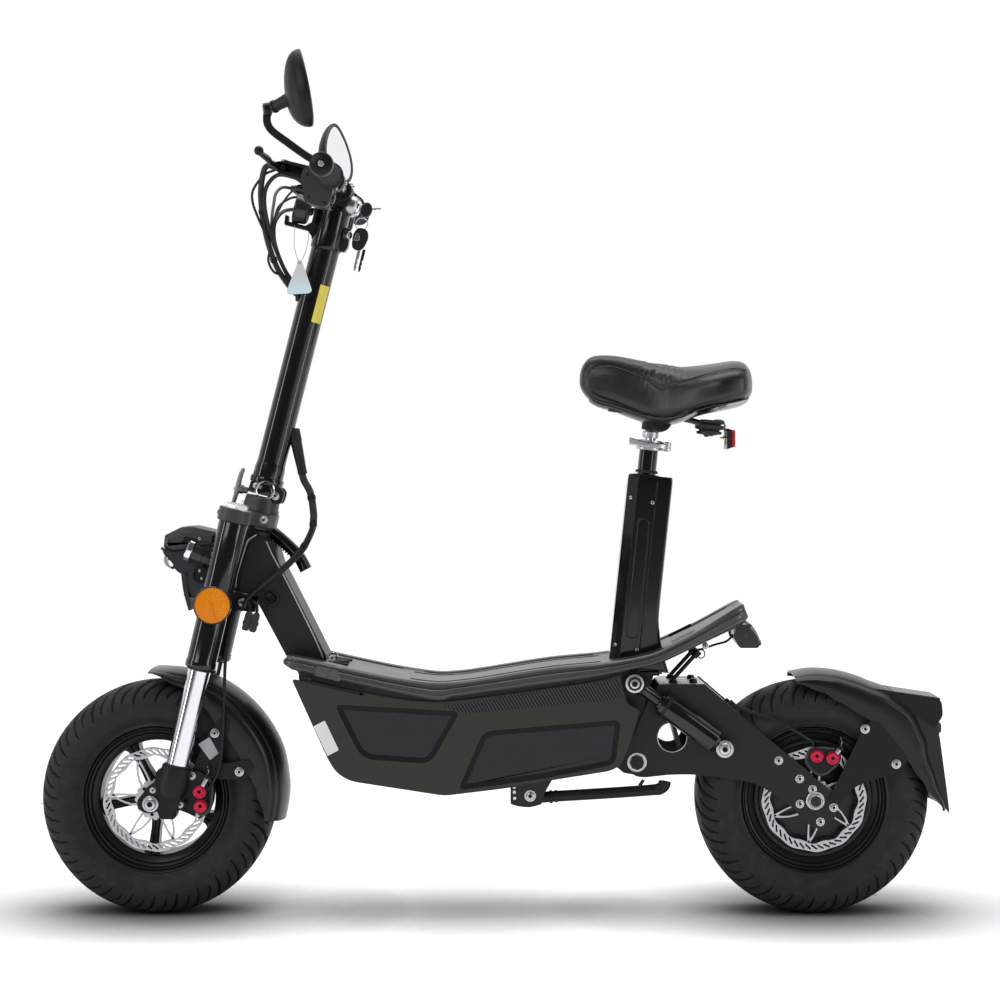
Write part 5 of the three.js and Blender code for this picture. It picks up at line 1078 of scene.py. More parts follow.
def fender_rings(spec, count, section):
    """Sections of a fender along its arc, each a closed line of outer and inner points."""
    rings = []
    for k in range(count + 1):
        t = k / count
        angle = math.radians(spec["start"] + (spec["end"] - spec["start"]) * t)
        crown = spec["radius"] * sampled(spec["crown"], t)
        fall = spec["fall"] * sampled(spec["falls"], t)
        edge = crown - fall
        low = edge - (edge - spec["skirt"]) * sampled(spec["skirts"], t)
        outer = []
        for share, inset_share in section:
            outer.append((spec["half"] * (1 - inset_share), crown - fall * share))
        side = [(spec["half"], low + (edge - low) * q) for q in (0.0, 0.5)]
        outline = [*side, *outer]
        both = [*[(-y, r) for y, r in outline], *outline[::-1]]
        thin = spec["shell"]
        inner = []
        for y, r in both[::-1]:
            squeeze = min(1.0, abs(y) / spec["half"])
            inner.append((y * (1 - thin / spec["half"] * squeeze), max(low, r - thin * (1.15 - squeeze * 0.3))
                          if r > low + 0.01 else r))
        rings.append([(r * math.cos(angle), y, r * math.sin(angle)) for y, r in [*both, *inner]])
    return rings


FENDER_SECTION = [(1.0, 0.0), (0.86, 0.015), (0.7, 0.07), (0.56, 0.16), (0.50, 0.215), (0.42, 0.235), (0.28, 0.34),
                  (0.14, 0.52), (0.04, 0.72), (0.0, 0.9), (0.0, 1.0)]


def build_front_fender():
    """Front fender with a ridge along each shoulder, its side stays, bolts and a bare label."""
    spec = {"radius": 202.5, "shell": 2.4, "half": 61.0, "skirt": 144.0, "start": -10.5, "end": 93.0, "fall": 30.0,
            "falls": [0.9, 1, 1, 1, 1, 0.9, 0.6, 0.12],
            "crown": [0.965, 0.985, 1, 1, 1, 0.985, 0.972],
            "skirts": [0.0, 0.55, 0.95, 1, 0.9, 0.5, 0.12, 0.02]}
    m = Maker(wheel_place(FRONT_AXLE))
    m.loft(fender_rings(spec, 72, FENDER_SECTION), "fender_plastic")
    m.place = STEERING
    for side in (-1, 1):
        stay = spread([(0.043, 0.01), (0.261, 0.01), (0.848, 0.104), (1, 0.313), (0.87, 0.458), (0.413, 0.25),
                       (0.435, 0.958), (0.261, 1), (0.13, 0.708), (0.011, 0.125)], -4, -464, 92, 96)
        m.plate(rounded(stay, [6, 8, 12, 10, 8, 16, 8, 6, 12, 8]), side * 61.6, side * 64.6, "satin_plastic")
    m.place = VEHICLE
    for x, z in ((-491, 102.3), (-454, 43.8)):
        m.bolt((x, -64.2, z), (0, -1, 0), 5.0)
        m.bolt((x, 64.2, z), (0, 1, 0), 5.0)
    label = [(-516, 86), (-499, 96.5), (-485, 72), (-498, 61.5)]
    m.plate(rounded(label, 1.5, 2), -65.6, -64.4, "grey_label")
    return m.piece("front_fender_shell", "fork_lower", ("front_fender",), sharp=34)


def build_rear_fender():
    """Rear fender with its hump, number plate carrier, stays, mudflap and plate lamp."""
    spec = {"radius": 213.0, "shell": 2.4, "half": 66.0, "skirt": 147.0, "start": -4.5, "end": 99.0, "fall": 20.0,
            "falls": [0.4, 0.8, 1, 1, 1, 1, 0.8, 0.5],
            "crown": [0.953, 0.911, 0.9, 0.94, 0.972, 0.953, 0.925, 0.92, 0.915, 0.9],
            "skirts": [0.04, 0.35, 0.7, 1, 1, 1, 1, 0.8, 0.45, 0.1]}
    m = Maker(wheel_place(REAR_AXLE))
    m.loft(fender_rings(spec, 84, FENDER_SECTION), "fender_plastic")
    m.place = VEHICLE
    carrier = spread([(0, 0.96), (0.1, 1), (0.98, 0.72), (1, 0.3), (0.88, 0), (0.6, 0.35), (0.45, 0.62)],
                     500, 108, 112, 60)
    m.plate(rounded(carrier, [8, 6, 8, 6, 3, 14, 10]), -48, 48, "satin_plastic")
    top = rounded(spread([(0.06, 1.0), (0.97, 0.75), (0.97, 0.69), (0.06, 0.93)], 500, 108, 112, 60), 1.2, 2)
    m.plate(top, -43, 43, "fender_plastic")
    for side in (-1, 1):
        m.tube([(515, side * 47.2, 161.5), (606, side * 47.2, 149.0)], 1.3, "satin_plastic", 8)
        stay = spread([(0, 0.1), (0.1, 0.04), (0.3, 0.26), (0.84, 0.42), (0.9, 0.56), (0.55, 0.98), (0.42, 0.94),
                       (0.2, 0.5)], 436, -12, 134, 138)
        m.plate(rounded(stay, [5, 6, 20, 10, 8, 8, 10, 24]), side * 63.6, side * 66.2, "satin_plastic")
        flap = [(548, 130), (600, 122), (607, 96), (619.5, 2), (622, -22), (594, 12), (566, 48), (548, 86)]
        m.plate(rounded(flap, [4, 6, 8, 10, 2, 10, 12, 8]), side * 44.5, side * 47.0, "fender_plastic")
        m.bolt((491, side * 65.8, 108.8), (0, side, 0), 5.2)
        m.bolt((538, side * 65.8, 55.8), (0, side, 0), 5.2)
    m.plate(rounded([(607, 118), (616, 110), (616, 96), (602, 100)], 3, 3), -11, 11, "lamp_black")
    m.plate(rounded([(606, 98.5), (614.5, 96.5), (612, 91.5), (606, 93)], 1.6, 2), -8.5, 8.5, "smoked_glass")
    m.rod((598, 0, 108), (610, 0, 106), 4.2, "lamp_black", 5.0, steps=16)
    return m.piece("rear_fender_shell", "swingarm", ("rear_fender",), sharp=34)


def build_fork_outer(side, word):
    """Painted outer tube of the fork with its lower collar and wiper."""
    m = Maker(STEERING)
    m.round((LEG_X, side * LEG_Y, 0), (0, 0, -1), [
        (76.5, 17.3), (76.5, 22.0), (77.5, 22.5), (182, 22.5), (289, 22.4), (290.4, 23.2), (296, 23.6),
        (299, 23.4), (300.6, 22.4), (302, 20.6), (302, 17.4)], "fork_gloss", 72, closed=True)
    m.round((LEG_X, side * LEG_Y, 0), (0, 0, -1),
            [(300.5, 19.4), (303.4, 19.0), (304.6, 17.9), (304.6, 17.2), (300.5, 17.2)], "grip_rubber", 48,
            closed=True)
    return m.piece(f"fork_tube_{word}", "steering", (f"fork_outer_{word}",), sharp=30)


def build_stanchion(side, word):
    """Plated stanchion in its cast axle bracket, with the bracket's ear, pinch bolts and caliper mount."""
    m = Maker(STEERING)
    m.round((LEG_X, side * LEG_Y, 0), (0, 0, -1), [
        (150, 15.6), (151, 16.9), (300, 17.0), (470, 17.0), (486, 16.9)], "chrome", 72)
    m.place = VEHICLE
    body = [(-576, 44), (-572, 52), (-534, 52), (-530.5, 44), (-533, 24), (-539, 6), (-545.5, -20), (-548, -23.5),
            (-568, -23.5), (-571, -19), (-573, -11), (-583, -15), (-594, -13.4), (-602, -7), (-604, 1.5),
            (-601.5, 8), (-594, 16), (-590, 24), (-584, 27.5), (-577, 33)]
    m.plate(rounded(body, 3.2, 3), side * 67.0, side * 92.0, "satin_plastic")
    raised = [(-575, 40), (-571.5, 46), (-534, 46), (-532, 36), (-541, 0), (-548.5, -21.5), (-566.5, -21.5),
              (-568.5, 0), (-571, 22)]
    m.plate(rounded(raised, 4, 3), side * 91.0, side * 94.0, "satin_plastic")
    m.place = STEERING
    m.round((LEG_X, side * LEG_Y, 0), (0, 0, -1), [
        (452.5, 17.6), (452.5, 20.8), (454, 22.0), (462, 22.4), (486, 22.4), (500, 19)], "satin_plastic", 56)
    m.round((LEG_X, side * LEG_Y, 0), (0, 0, -1), [(449.6, 17.4), (450.2, 18.8), (453.5, 18.9)], "grip_rubber", 48)
    m.place = VEHICLE
    near = side * 92.2
    m.bolt((-580, near - side * 0.4, 20), (0, side, 0), 3.4)
    m.bolt((-539.5, near - side * 4, -2.5), (0, side, 0), 3.6)
    m.plate(rounded([(-546, -1), (-536, 5), (-530, -2), (-537, -10), (-546, -9)], 3, 3), side * 80, side * 88,
            "satin_plastic")
    m.bolt((-539.5, side * 88, -2.5), (0, side, 0), 3.6)
    if side < 0:
        mount = [(-533, 40), (-520, 48), (-505, 42), (-500, 26), (-503, -4), (-512, -18), (-528, -16), (-536, -2)]
        m.plate(rounded(mount, 5, 3), -74, -68.5, "satin_plastic")
    m.bolt((-524.0, side * 74.0, 39.0), (0, side, 0), 4.3)
    return m.piece(f"stanchion_bracket_{word}", "fork_lower", (f"stanchion_{word}",), bevel=0.6,
                   sharp=30)


def build_front_axle():
    """Front axle with its domed heads and washers."""
    m = Maker(wheel_place(FRONT_AXLE))
    m.rod((0, -94, 0), (0, 94, 0), 8, "dark_steel")
    for side in (-1, 1):
        m.round((0, side * 94, 0), (0, side, 0), [(0, 12), (1.4, 12.0), (1.8, 11.2), (1.8, 9.6)], "bright_bolt", 48)
        m.round((0, side * 94, 0), (0, side, 0), [(1.6, 9.2), (5, 9.0), (7, 7.6), (7.6, 5.2), (7.6, 4.2)],
                "bright_bolt", 48, caps=False)
        # The socket of the domed head is painted near-black as its shade.
        m.round((0, side * 94, 0), (0, side, 0), [(7.6, 4.2), (4.0, 4.0)], "recess_black", 6)
        m.round((0, side * 46, 0), (0, side, 0), [(-1, 11), (19, 11)], "dark_steel", 32)
    return m.piece("front_axle_bolt", "fork_lower", ("front_axle",), sharp=30)


def build_caliper(name, body, node, place, adjusters, outline, lever_way):
    """Mechanical disc caliper: stepped casting, red adjusters, cable arm and its small bolts."""
    m = Maker(place)
    near, far = outline["near"], outline["far"]
    m.plate(rounded(outline["line"], 5, 3), near, far, "lamp_black")
    m.plate(rounded(inset(outline["line"], 4), 4, 3), near - 3.0, near + 1, "satin_plastic")
    face = outline["face"]
    for x, z in adjusters:
        m.rod((x, near, z), (x, face, z), 9.0, "lamp_black")
        m.round((x, face, z), (0, -1, 0), [(-2, 11.4), (1.2, 11.4), (2.2, 10.8)], "lamp_black", 40)
        m.round((x, face, z), (0, -1, 0), [
            (0, 10.2), (4.0, 10.2), (5.0, 9.4), (5.4, 7.6), (4.8, 6.8), (4.8, 2.8)], "red_anodised", 48, caps=False)
        # The socket of each adjuster is painted near-black as its shade.
        m.round((x, face, z), (0, -1, 0), [(4.8, 2.8), (2.4, 2.4)], "recess_black", 6)
        for a in turns(16):
            m.rod((x + 10.1 * math.cos(a), face - 0.6, z + 10.1 * math.sin(a)),
                  (x + 10.1 * math.cos(a), face - 3.6, z + 10.1 * math.sin(a)), 0.5, "red_anodised", steps=6)
    a, b = [Vector((p[0], face - 1.4, p[1])) for p in lever_way]
    m.tube([a, a.lerp(b, 0.5) + Vector((0, -2.4, 0)), b], [4.4, 3.4, 3.8], "brushed_plate", 10, flat=0.45)
    m.bolt(b + Vector((0, -1.2, 0)), (0, -1, 0), 3.0, "dark_steel")
    m.tube(curve_through([b + Vector((0, 0, 3)), b + Vector((2, -1, 9)), b + Vector((0, 0, 16))], 5), 1.0,
           "bright_bolt", 6)
    for k in range(5):
        m.round(b + Vector((0, 0, 5 + k * 1.9)), (0, 0, 1), [(0, 2.4), (0.7, 3.0), (1.4, 2.4)], "cable_rubber", 14)
    return m.piece(name, body, (node,), bevel=0.5, sharp=30)


def build_front_caliper():
    """Front brake caliper on the fork."""
    line = [(-534, 36), (-518, 44), (-500, 38), (-493, 22), (-494, -2), (-502, -22), (-516, -24), (-522, -8),
            (-534, 4)]
    return build_caliper("front_caliper_cast", "fork_lower", "front_caliper", VEHICLE,
                         ((-512.5, 15.6), (-511.2, -6.0)), {"line": line, "near": -63.0, "far": -42.6, "face": -75.0},
                         ((-512.5, 15.6), (-500.5, 38.0)))


def build_rear_caliper():
    """Rear brake caliper on the swingarm."""
    line = [(400, 58), (410, 44), (424, 34), (438, 40), (454, 54), (457, 66), (452, 78), (428, 81), (408, 78)]
    return build_caliper("rear_caliper_cast", "swingarm", "rear_caliper", VEHICLE,
                         ((419, 67), (443, 64)), {"line": line, "near": -54.5, "far": -43.6, "face": -57.0},
                         ((443, 64), (455, 79)))


def build_yokes():
    """Upper and lower fork yokes with clamp slots, screws and large hexagon cap nuts."""
    for name, node, top, bottom in (("upper_yoke_cast", "upper_yoke", -56.2, -76),
                                    ("lower_yoke_cast", "fork_crown", -183, -207)):
        upper = node == "upper_yoke"
        m = Maker(STEERING)
        ring = [(-26 + 25.2 * math.cos(math.radians(a)), 80 + 24 * math.sin(math.radians(a)))
                for a in range(-50, 231, 14)]
        hull = [(-51, 60), *[(x, y) for x, y in ring[::-1] if y > 62], (-1, 60), (20, 36), (29, 18), (30, 0),
                (29, -18), (20, -36), (-1, -60), *[(x, -y) for x, y in ring if y > 62], (-51, -60), (-44, -34),
                (-44, 34)]
        m.plate(rounded(hull, 2.0, 2), bottom, top, "housing_grey" if upper else "satin_plastic", axis='Z')
        for side in (-1, 1):
            m.bolt((-50.6, side * LEG_Y, (top + bottom) / 2), (-1, 0, 0), 3.4, "dark_steel", False)
            m.bolt((15.6 if upper else 12.0, side * 58, (top + bottom) / 2 + 2), (0, side, 0), 4.6)
            if upper:
                cap = (LEG_X, side * LEG_Y, -56.4)
                m.round(cap, (0, 0, 1), [(0, 21.4), (1.2, 21.4), (1.8, 20.6)], "bright_bolt", 48)
                m.round(cap, (0, 0, 1), [(1.4, 18.6), (6.6, 18.6), (8.6, 16.8), (8.9, 12), (7.6, 11), (7.6, 5)],
                        "bright_bolt", 6, caps=False)
                # The socket of the cap nut is painted near-black as its shade.
                m.round(cap, (0, 0, 1), [(7.6, 5), (5.4, 4.4)], "recess_black", 16)
            else:
                m.round((LEG_X, side * LEG_Y, top), (0, 0, 1),
                        [(0, 24.6), (1.6, 24.4), (2.6, 23.2), (2.6, 22.6), (0, 22.6)],
                        "satin_plastic", 56, closed=True)
                m.round((LEG_X, side * LEG_Y, bottom), (0, 0, -1),
                        [(0, 24.6), (1.6, 24.4), (2.2, 22.6), (0, 22.6)], "satin_plastic", 56, closed=True)
        if upper:
            m.round((0, 0, -56.4), (0, 0, 1), [(0, 29), (5, 29), (8, 27.4), (20, 26.6), (23.4, 25.0)], "housing_grey",
                    56)
            m.rod((0, 0, -40), (0, 0, -36.4), 14, "dark_steel", soft=1)
        else:
            m.rod((0, 0, bottom + 2), (0, 0, -36.6), 13.8, "dark_steel")
            m.round((0, 0, top), (0, 0, 1), [(0, 27.0), (1.6, 27.0), (2.2, 26)], "bright_bolt", 48)
        m.piece(name, "steering", (node,), bevel=1.2, segments=3)


def build_reflectors():
    """Round side reflectors in thin dark rims, each face split into two flat halves of prisms."""
    for side, word in ((-1, "left"), (1, "right")):
        m = Maker(STEERING)
        centre = Vector((LEG_X, side * 103.2, -203))
        m.round(centre, (0, side, 0), [(-0.4, 20), (-0.2, 28.4), (5.2, 28.4), (6.2, 27.6), (6.2, 26.7), (4.6, 26.4)],
                "lamp_black", 72, caps=False)
        steps = 72
        split = math.radians(118)
        rim_points = []
        for k in range(steps):
            a = split + 2 * math.pi * k / steps
            rim_points.append(centre + Vector((26.6 * math.cos(a), side * 4.9, 26.6 * math.sin(a))))
        crest = [rim_points[0] + Vector((0, side * 0.9, 0)), rim_points[steps // 2] + Vector((0, side * 0.9, 0))]
        number = m.number("orange_lens")
        for half in (rim_points[:steps // 2 + 1], [*rim_points[steps // 2:], rim_points[0]]):
            lean = 1.0 if half[0] == rim_points[0] else 0.15
            middle = centre + Vector((0, side * (4.9 + lean), 0))
            rows = m.verts([middle.lerp(p, 0.9) for p in half])
            outer = m.verts(half)
            m.face(rows, number)
            for i in range(len(half) - 1):
                m.face([rows[i], rows[i + 1], outer[i + 1], outer[i]], number)
        m.rod(crest[0], crest[1], 0.4, "orange_lens", steps=6)
        m.piece(f"side_lens_{word}", "steering", (f"side_reflector_{word}",), sharp=8)


def build_headlight():
    """Angular headlight on its bracket: chamfered grey housing, round lens, silver clips, knob and shield."""
    m = Maker(STEERING)
    top = [(-129, -122), (-107, -104), (-90, -99.4), (-52, -99.4), (-47, -106), (-46, -119), (-54, -124.5),
           (-82, -133.5), (-111, -143.5), (-127, -140.5)]
    rings = []
    for y, push in ((-41.5, 9.0), (-36, 0.6), (-33, 0), (33, 0), (36, 0.6), (41.5, 9.0)):
        rings.append([(p[0], y, p[1]) for p in inset(rounded(top, 2.0, 2), push)])
    m.loft(rings, "housing_grey")
    for side in (-1, 1):
        # Near-black recesses painted on the sides of the housing as their shade.
        m.plate(rounded([(-101, -126), (-97, -116), (-76, -116.5), (-84, -124)], 1.4, 2), side * 36.6, side * 41.9,
                "recess_black")
        m.bolt((-75, side * 40.6, -114.5), (0, side, 0), 2.4, washer=False)
        lower = [(-127, -141), (-111, -144), (-82, -134), (-58, -126), (-54, -136), (-78, -166), (-90, -174),
                 (-100, -170), (-108, -160), (-124, -150)]
        m.plate(rounded(lower, 3, 2), side * 12, side * 39.0, "lamp_black")
        m.round((-60, side * 30, -140), (-1, 0, 0.18), [
            (-14, 9), (-10, 13.5), (0, 15.2), (3, 15.4), (3.4, 14.2), (5, 14.2), (5.4, 15.8), (20, 16.2), (22, 17.4)],
                "lamp_black", 44)
        m.round((-60, side * 30, -140), (-1, 0, 0.18), [
            (22, 15.5), (22, 18.2), (23, 18.8), (30, 18.8), (31.2, 18.0), (31.4, 16.4), (27, 15.6)], "chrome", 48,
                closed=True)
        m.round((-60, side * 30, -140), (-1, 0, 0.18), [(22, 15.6), (27, 15.6), (29.5, 13.6), (31.5, 9), (32.2, 2)],
                "lamp_glass", 44)
        m.tube([(-130.0, side * 26, -143), (-122, side * 34, -146), (-112, side * 38, -148)], 2.4, "housing_grey", 8)
        m.plate(rounded([(-82, -130), (-54, -120), (-50, -142), (-64, -156), (-84, -154)], 3, 2),
                side * 36, side * 41.4, "satin_plastic")
    m.plate(rounded([(-120, -144), (-86, -138), (-66, -140), (-74, -164), (-88, -172), (-100, -168)], 4, 2),
            -12, 12, "lamp_black")
    way = Vector((-0.86, 0, -0.5))
    for side in (-1, 1):
        seat_point = Vector((-108, side * 20, -155))
        m.round(seat_point, way, [(-8, 15), (3, 16.2), (6.4, 16.4), (8.4, 15.6), (8.6, 14.4), (4, 13.6)],
                "chrome", 48, caps=False)
        m.ball(seat_point + way * 3.6, 13.6, "lamp_glass", 28)
        m.round(seat_point, way, [(-2, 11), (0.5, 11.4)], "chrome", 32)
    m.plate(rounded(spread([[0, 1], [0.3, 0.5], [0.74, 0], [0.88, 0.05], [0.5, 0.55], [0.24, 1]], -92, -226, 34, 56),
                    [3, 8, 3, 3, 8, 3]), -40, 40, "lamp_black")
    back = [(-86, -160), (-68, -150), (-56, -166), (-52, -190), (-60, -206), (-70, -200), (-80, -182)]
    m.plate(rounded(back, 5, 3), -38, 38, "lamp_black")
    for side in (-1, 1):
        m.round((-62, side * 38, -168), (0, side, 0), [(0, 13), (1.8, 13), (2.6, 12), (2.6, 9.4), (1.2, 8.8)],
                "satin_plastic", 40)
        m.bolt((-63.7, side * 39, -162), (0, side, 0), 2.8, washer=False)
        m.bolt((-58, side * 39, -173), (0, side, 0), 2.2, washer=False)
        m.plate(rounded([(-80, -140), (-46, -140), (-40, -205), (-48, -207), (-56, -196), (-74, -178)], 4, 2),
                side * 33, side * 36, "satin_plastic")
    m.block((-80, -36, -205), (-44, 36, -199), "satin_plastic")
    return m.piece("headlight_housing", "steering", ("headlight",), bevel=0.7)


def build_twin_connector():
    """Twin electrical connector that hangs from the lower yoke, with its short leads."""
    m = Maker(STEERING)
    for x in (27.5, 38.5):
        m.plate(rounded([(x - 5.4, -229), (x - 5.2, -206), (x - 3.0, -202), (x + 3.0, -202), (x + 5.2, -206),
                         (x + 5.4, -229), (x + 3.6, -231.5), (x - 3.6, -231.5)], 1.2, 2), -77, -65, "lamp_black")
        m.plate(rounded([(x - 6.2, -222), (x - 6.2, -217), (x + 6.2, -217), (x + 6.2, -222)], 1, 2), -78.2, -64,
                "lamp_black")
        lead = [(x, -71, -203), (x - 1, -70, -196), (x - 7, -66, -188), (14, -56, -186), (6, -44, -190)]
        m.tube(curve_through(lead, 5), 2.3, "cable_rubber", 10)
    m.block((22.5, -73, -212), (43.5, -69, -208), "lamp_black")
    return m.piece("twin_connector", "steering", sharp=34, bevel=0.4)


DECK_TOP = [
    (-386, 214.8), (-380, 219.5), (-372, 222.0), (-283.5, 203.0), (-225, 191.0), (-163, 181.9), (-125, 183.2),
    (-88, 188.0), (14.8, 204.2), (99.8, 212.6), (164.4, 224.7), (200, 239.5), (240.9, 259.5), (302.7, 294.5),
    (310.4, 291.0), (316, 279.0)]
DECK_LOW = [
    (-386, 209.2), (-377, 204.0), (-367.7, 200.0), (-171.9, 157.0), (-130, 159.5), (-88.4, 165.0), (16.2, 179.6),
    (90.7, 190.4), (148.2, 202.5), (178.4, 209.2), (236, 234.0), (300, 262.0), (312, 270.0), (316, 276.0)]


def deck_half(x):
    """Half width of the deck at one place along it, with its rounded nose."""
    if x < -362:
        t = (x + 386) / 24.0
        return 80.0 + 22.0 * math.sqrt(max(0.0, 1 - (1 - t) ** 2))
    if x < 165:
        return 102.0
    t = (x - 165) / 151.0
    wide = 102.0 - 42.0 * (t * t * (3 - 2 * t) * 0.35 + t * 0.65)
    return wide - (10.0 * ((x - 300) / 16.0) ** 2 if x > 300 else 0.0)


def build_deck():
    """Moulded deck: raised lips, stepped ridged sides, long grooves, a recessed tread field and a cut-out."""
    m = Maker()
    top_line = curve_through(DECK_TOP, 6)
    low_line = curve_through(DECK_LOW, 6)
    places = sorted({-386.0, -385.2, -383.5, -381.0, -377.0, -372.0, -366.0, *range(-360, 300, 6), 302.0, 306.0,
                     309.0, 312.0, 314.5, 316.0})
    rings = []
    for x in places:
        half = deck_half(x)
        top = line_height(top_line, x)
        low = line_height(low_line, x)
        thick = top - low
        ease = min(1.0, max(0.0, (x + 386) / 16.0), max(0.0, (316 - x) / 14.0))
        field = 2.6 * ease
        groove = 3.4 * ease * (1.0 if -345 < x < -215 or -185 < x < 90 or 182 < x < 292 else 0.0)
        pad = 1.0 if -338 < x < -300 else 0.0
        step = min(4.0, thick * 0.16) * ease
        side = [(half - 46, top - field), (half - 33, top - field), (half - 30, top - field - groove),
                (half - 24, top - field - groove), (half - 21, top - field * 0.4), (half - 15, top - field * 0.1),
                (half - 8.5, top), (half - 5.2, top - 0.6), (half - 2.6 + pad, top - thick * 0.14),
                (half - 1.8 + pad, top - thick * 0.30), (half - 2.9 + pad, top - thick * 0.36),
                (half - 0.4, top - thick * 0.44), (half - 0.0, top - thick * 0.66),
                (half - 2.0 * ease, top - thick * 0.71), (half - 2.2 * ease, top - thick * 0.84),
                (half - 5.0, low + step * 0.3), (half - 9.0, low)]
        ring = [(x, y, z) for y, z in side]
        ring += [(x, -y, z) for y, z in side[::-1]]
        rings.append(ring)
    m.loft(rings, "deck_mould")
    field_z = [(x, line_height(top_line, x) - 2.75) for x in range(-196, 100, 12)]
    for a, b in zip(field_z, field_z[1:]):
        for side in (-1, 1):
            m.loft([[(p[0], side * 52, p[1]), (p[0], side * 52, p[1] + 1.1), (p[0], side * 49.5, p[1] + 1.1),
                     (p[0], side * 49.5, p[1])] for p in (a, b)], "deck_mould")
    for side in (-1, 1):
        m.plate(rounded([(-337, 193), (-334, 207.6), (-301, 200.6), (-296, 187), (-300, 184)], 2.5, 2),
                side * 99.6, side * 102.4, "deck_mould")
    # Dark sheets painted in two recesses beside the cut-out as their shade.
    for side in (-1, 1):
        z = [line_height(top_line, x) for x in (-318, -296)]
        m.plate([(-322, z[0] - 3.5), (-322, z[0] - 1.2), (-292, z[1] - 1.2), (-292, z[1] - 3.5)], side * 30,
                side * 44, "recess_black")
    # A near-black sheet painted in the cut-out as its shade.
    hole = [(-330, -42), (-300, -30), (-292, 0), (-300, 30), (-330, 42)]
    z = line_height(top_line, -308)
    m.plate(rounded(hole, 6, 3), z - 8, z - 0.8, "recess_black", axis='Z')
    m.tube(hoop(-318, 18, z + 3.4, 4.6, 5.4, 20), 1.2, "chrome", 8, closed=True)
    m.tube([(-326, 10, z), (-322, 14, z + 4), (-318, 18, z - 2)], 1.4, "chrome", 8)
    # A near-black slot painted in the tail as its shade.
    m.plate(rounded([(196, 244), (200, 247), (232, 263), (234, 260), (200, 243)], 1.5, 2), -6, 6, "recess_black")
    return m.piece("deck_moulding", "frame", ("deck_board",), sharp=26)


PANEL = spread([
    (0, 0.916), (0.1, 0.304), (0.123, 0.19), (0.163, 0.115), (0.433, 0), (0.622, 0.063), (0.722, 0.115),
    (0.902, 0.194), (0.934, 0.24), (0.96, 0.415), (0.987, 0.67), (0.951, 0.72), (0.941, 0.82), (0.93, 0.95),
    (0.87, 0.9), (0.533, 0.765), (0.376, 0.722)], -372, 12, 529, 191)
FRONT_INLAY = spread([(0.125, 0.71), (0.474, 0.655), (0.392, 0.257), (0.2, 0.295)], -372, 12, 529, 191)
REAR_INLAY = spread([(0.545, 0.50), (0.93, 0.59), (0.915, 0.25), (0.70, 0.135), (0.475, 0.05)], -372, 12, 529, 191)


def build_side_panel(side, word):
    """Side panel: satin shell with sloped lips, woven inlays, ribbed strip and a bare label."""
    m = Maker()
    outline = rounded(PANEL, [6, 10, 12, 16, 10, 24, 24, 8, 8, 12, 6, 6, 6, 4, 30, 60, 60], 5)
    front = rounded(FRONT_INLAY, [9, 9, 16, 20], 6)
    rear = rounded(REAR_INLAY, [14, 10, 12, 20, 10], 6)
    out, inner = 94.0, 89.0
    m.plate(outline, side * inner, side * (out - 0.9), "panel_plastic", [front, rear])
    m.plate(inset(outline, 1.3), side * (out - 1.2), side * out, "panel_plastic", [inset(front, -1.3),
                                                                                  inset(rear, -1.3)])
    # The sloped lips round each inlay are painted near-black as shade.
    for pocket in (front, rear):
        rows = [[(p[0], side * y, p[1]) for p in inset(pocket, d)]
                for d, y in ((-1.4, out), (0.6, out - 0.2), (4.4, out - 1.4), (6.4, out - 2.3), (7.2, out - 2.4))]
        m.loft(rows, "recess_black", caps=False)
        m.plate(inset(pocket, 5.4), side * (out - 4.4), side * (out - 2.35), "woven_inlay")
    for face in m.mesh.faces:
        if face.material_index == m.number("woven_inlay"):
            face.smooth = False
    strip_top = [(-147, 146), (-52, 162), (24, 173.5), (116, 188)]
    strip_low = [(126, 160.5), (100, 154.6), (7.5, 146), (-60, 139.8), (-106, 135.4), (-127, 139.5)]
    m.plate([*strip_top, *strip_low], side * 90, side * (out + 0.35), "ribbed_strip")
    m.plate([(-350, 186.0), (-349, 181.6), (-264, 161.4), (-262, 165.0)], side * 88, side * 95.0, "satin_plastic")
    m.plate(rounded([(-352, 192), (-341, 194), (-268, 178), (-262, 162), (-275, 160), (-350, 178)], 3, 2), side * 84,
            side * 90, "satin_plastic")
    for x, z in ((-345, 187.0), (-268, 164.5)):
        m.round((x, side * 93.2, z), (0, side, 0), [(0, 3.4), (1.0, 3.2), (1.8, 2.0)], "dark_steel", 16)
    if side < 0:
        m.plate(rounded([(-339, 116), (-322, 125), (-301, 80.5), (-318, 71.5)], 1.6, 2), -94.5, -93.4, "white_label")
    return m.piece(f"panel_shell_{word}", "frame", (f"side_panel_{word}",), bevel=1.0, segments=2,
                   sharp=30)


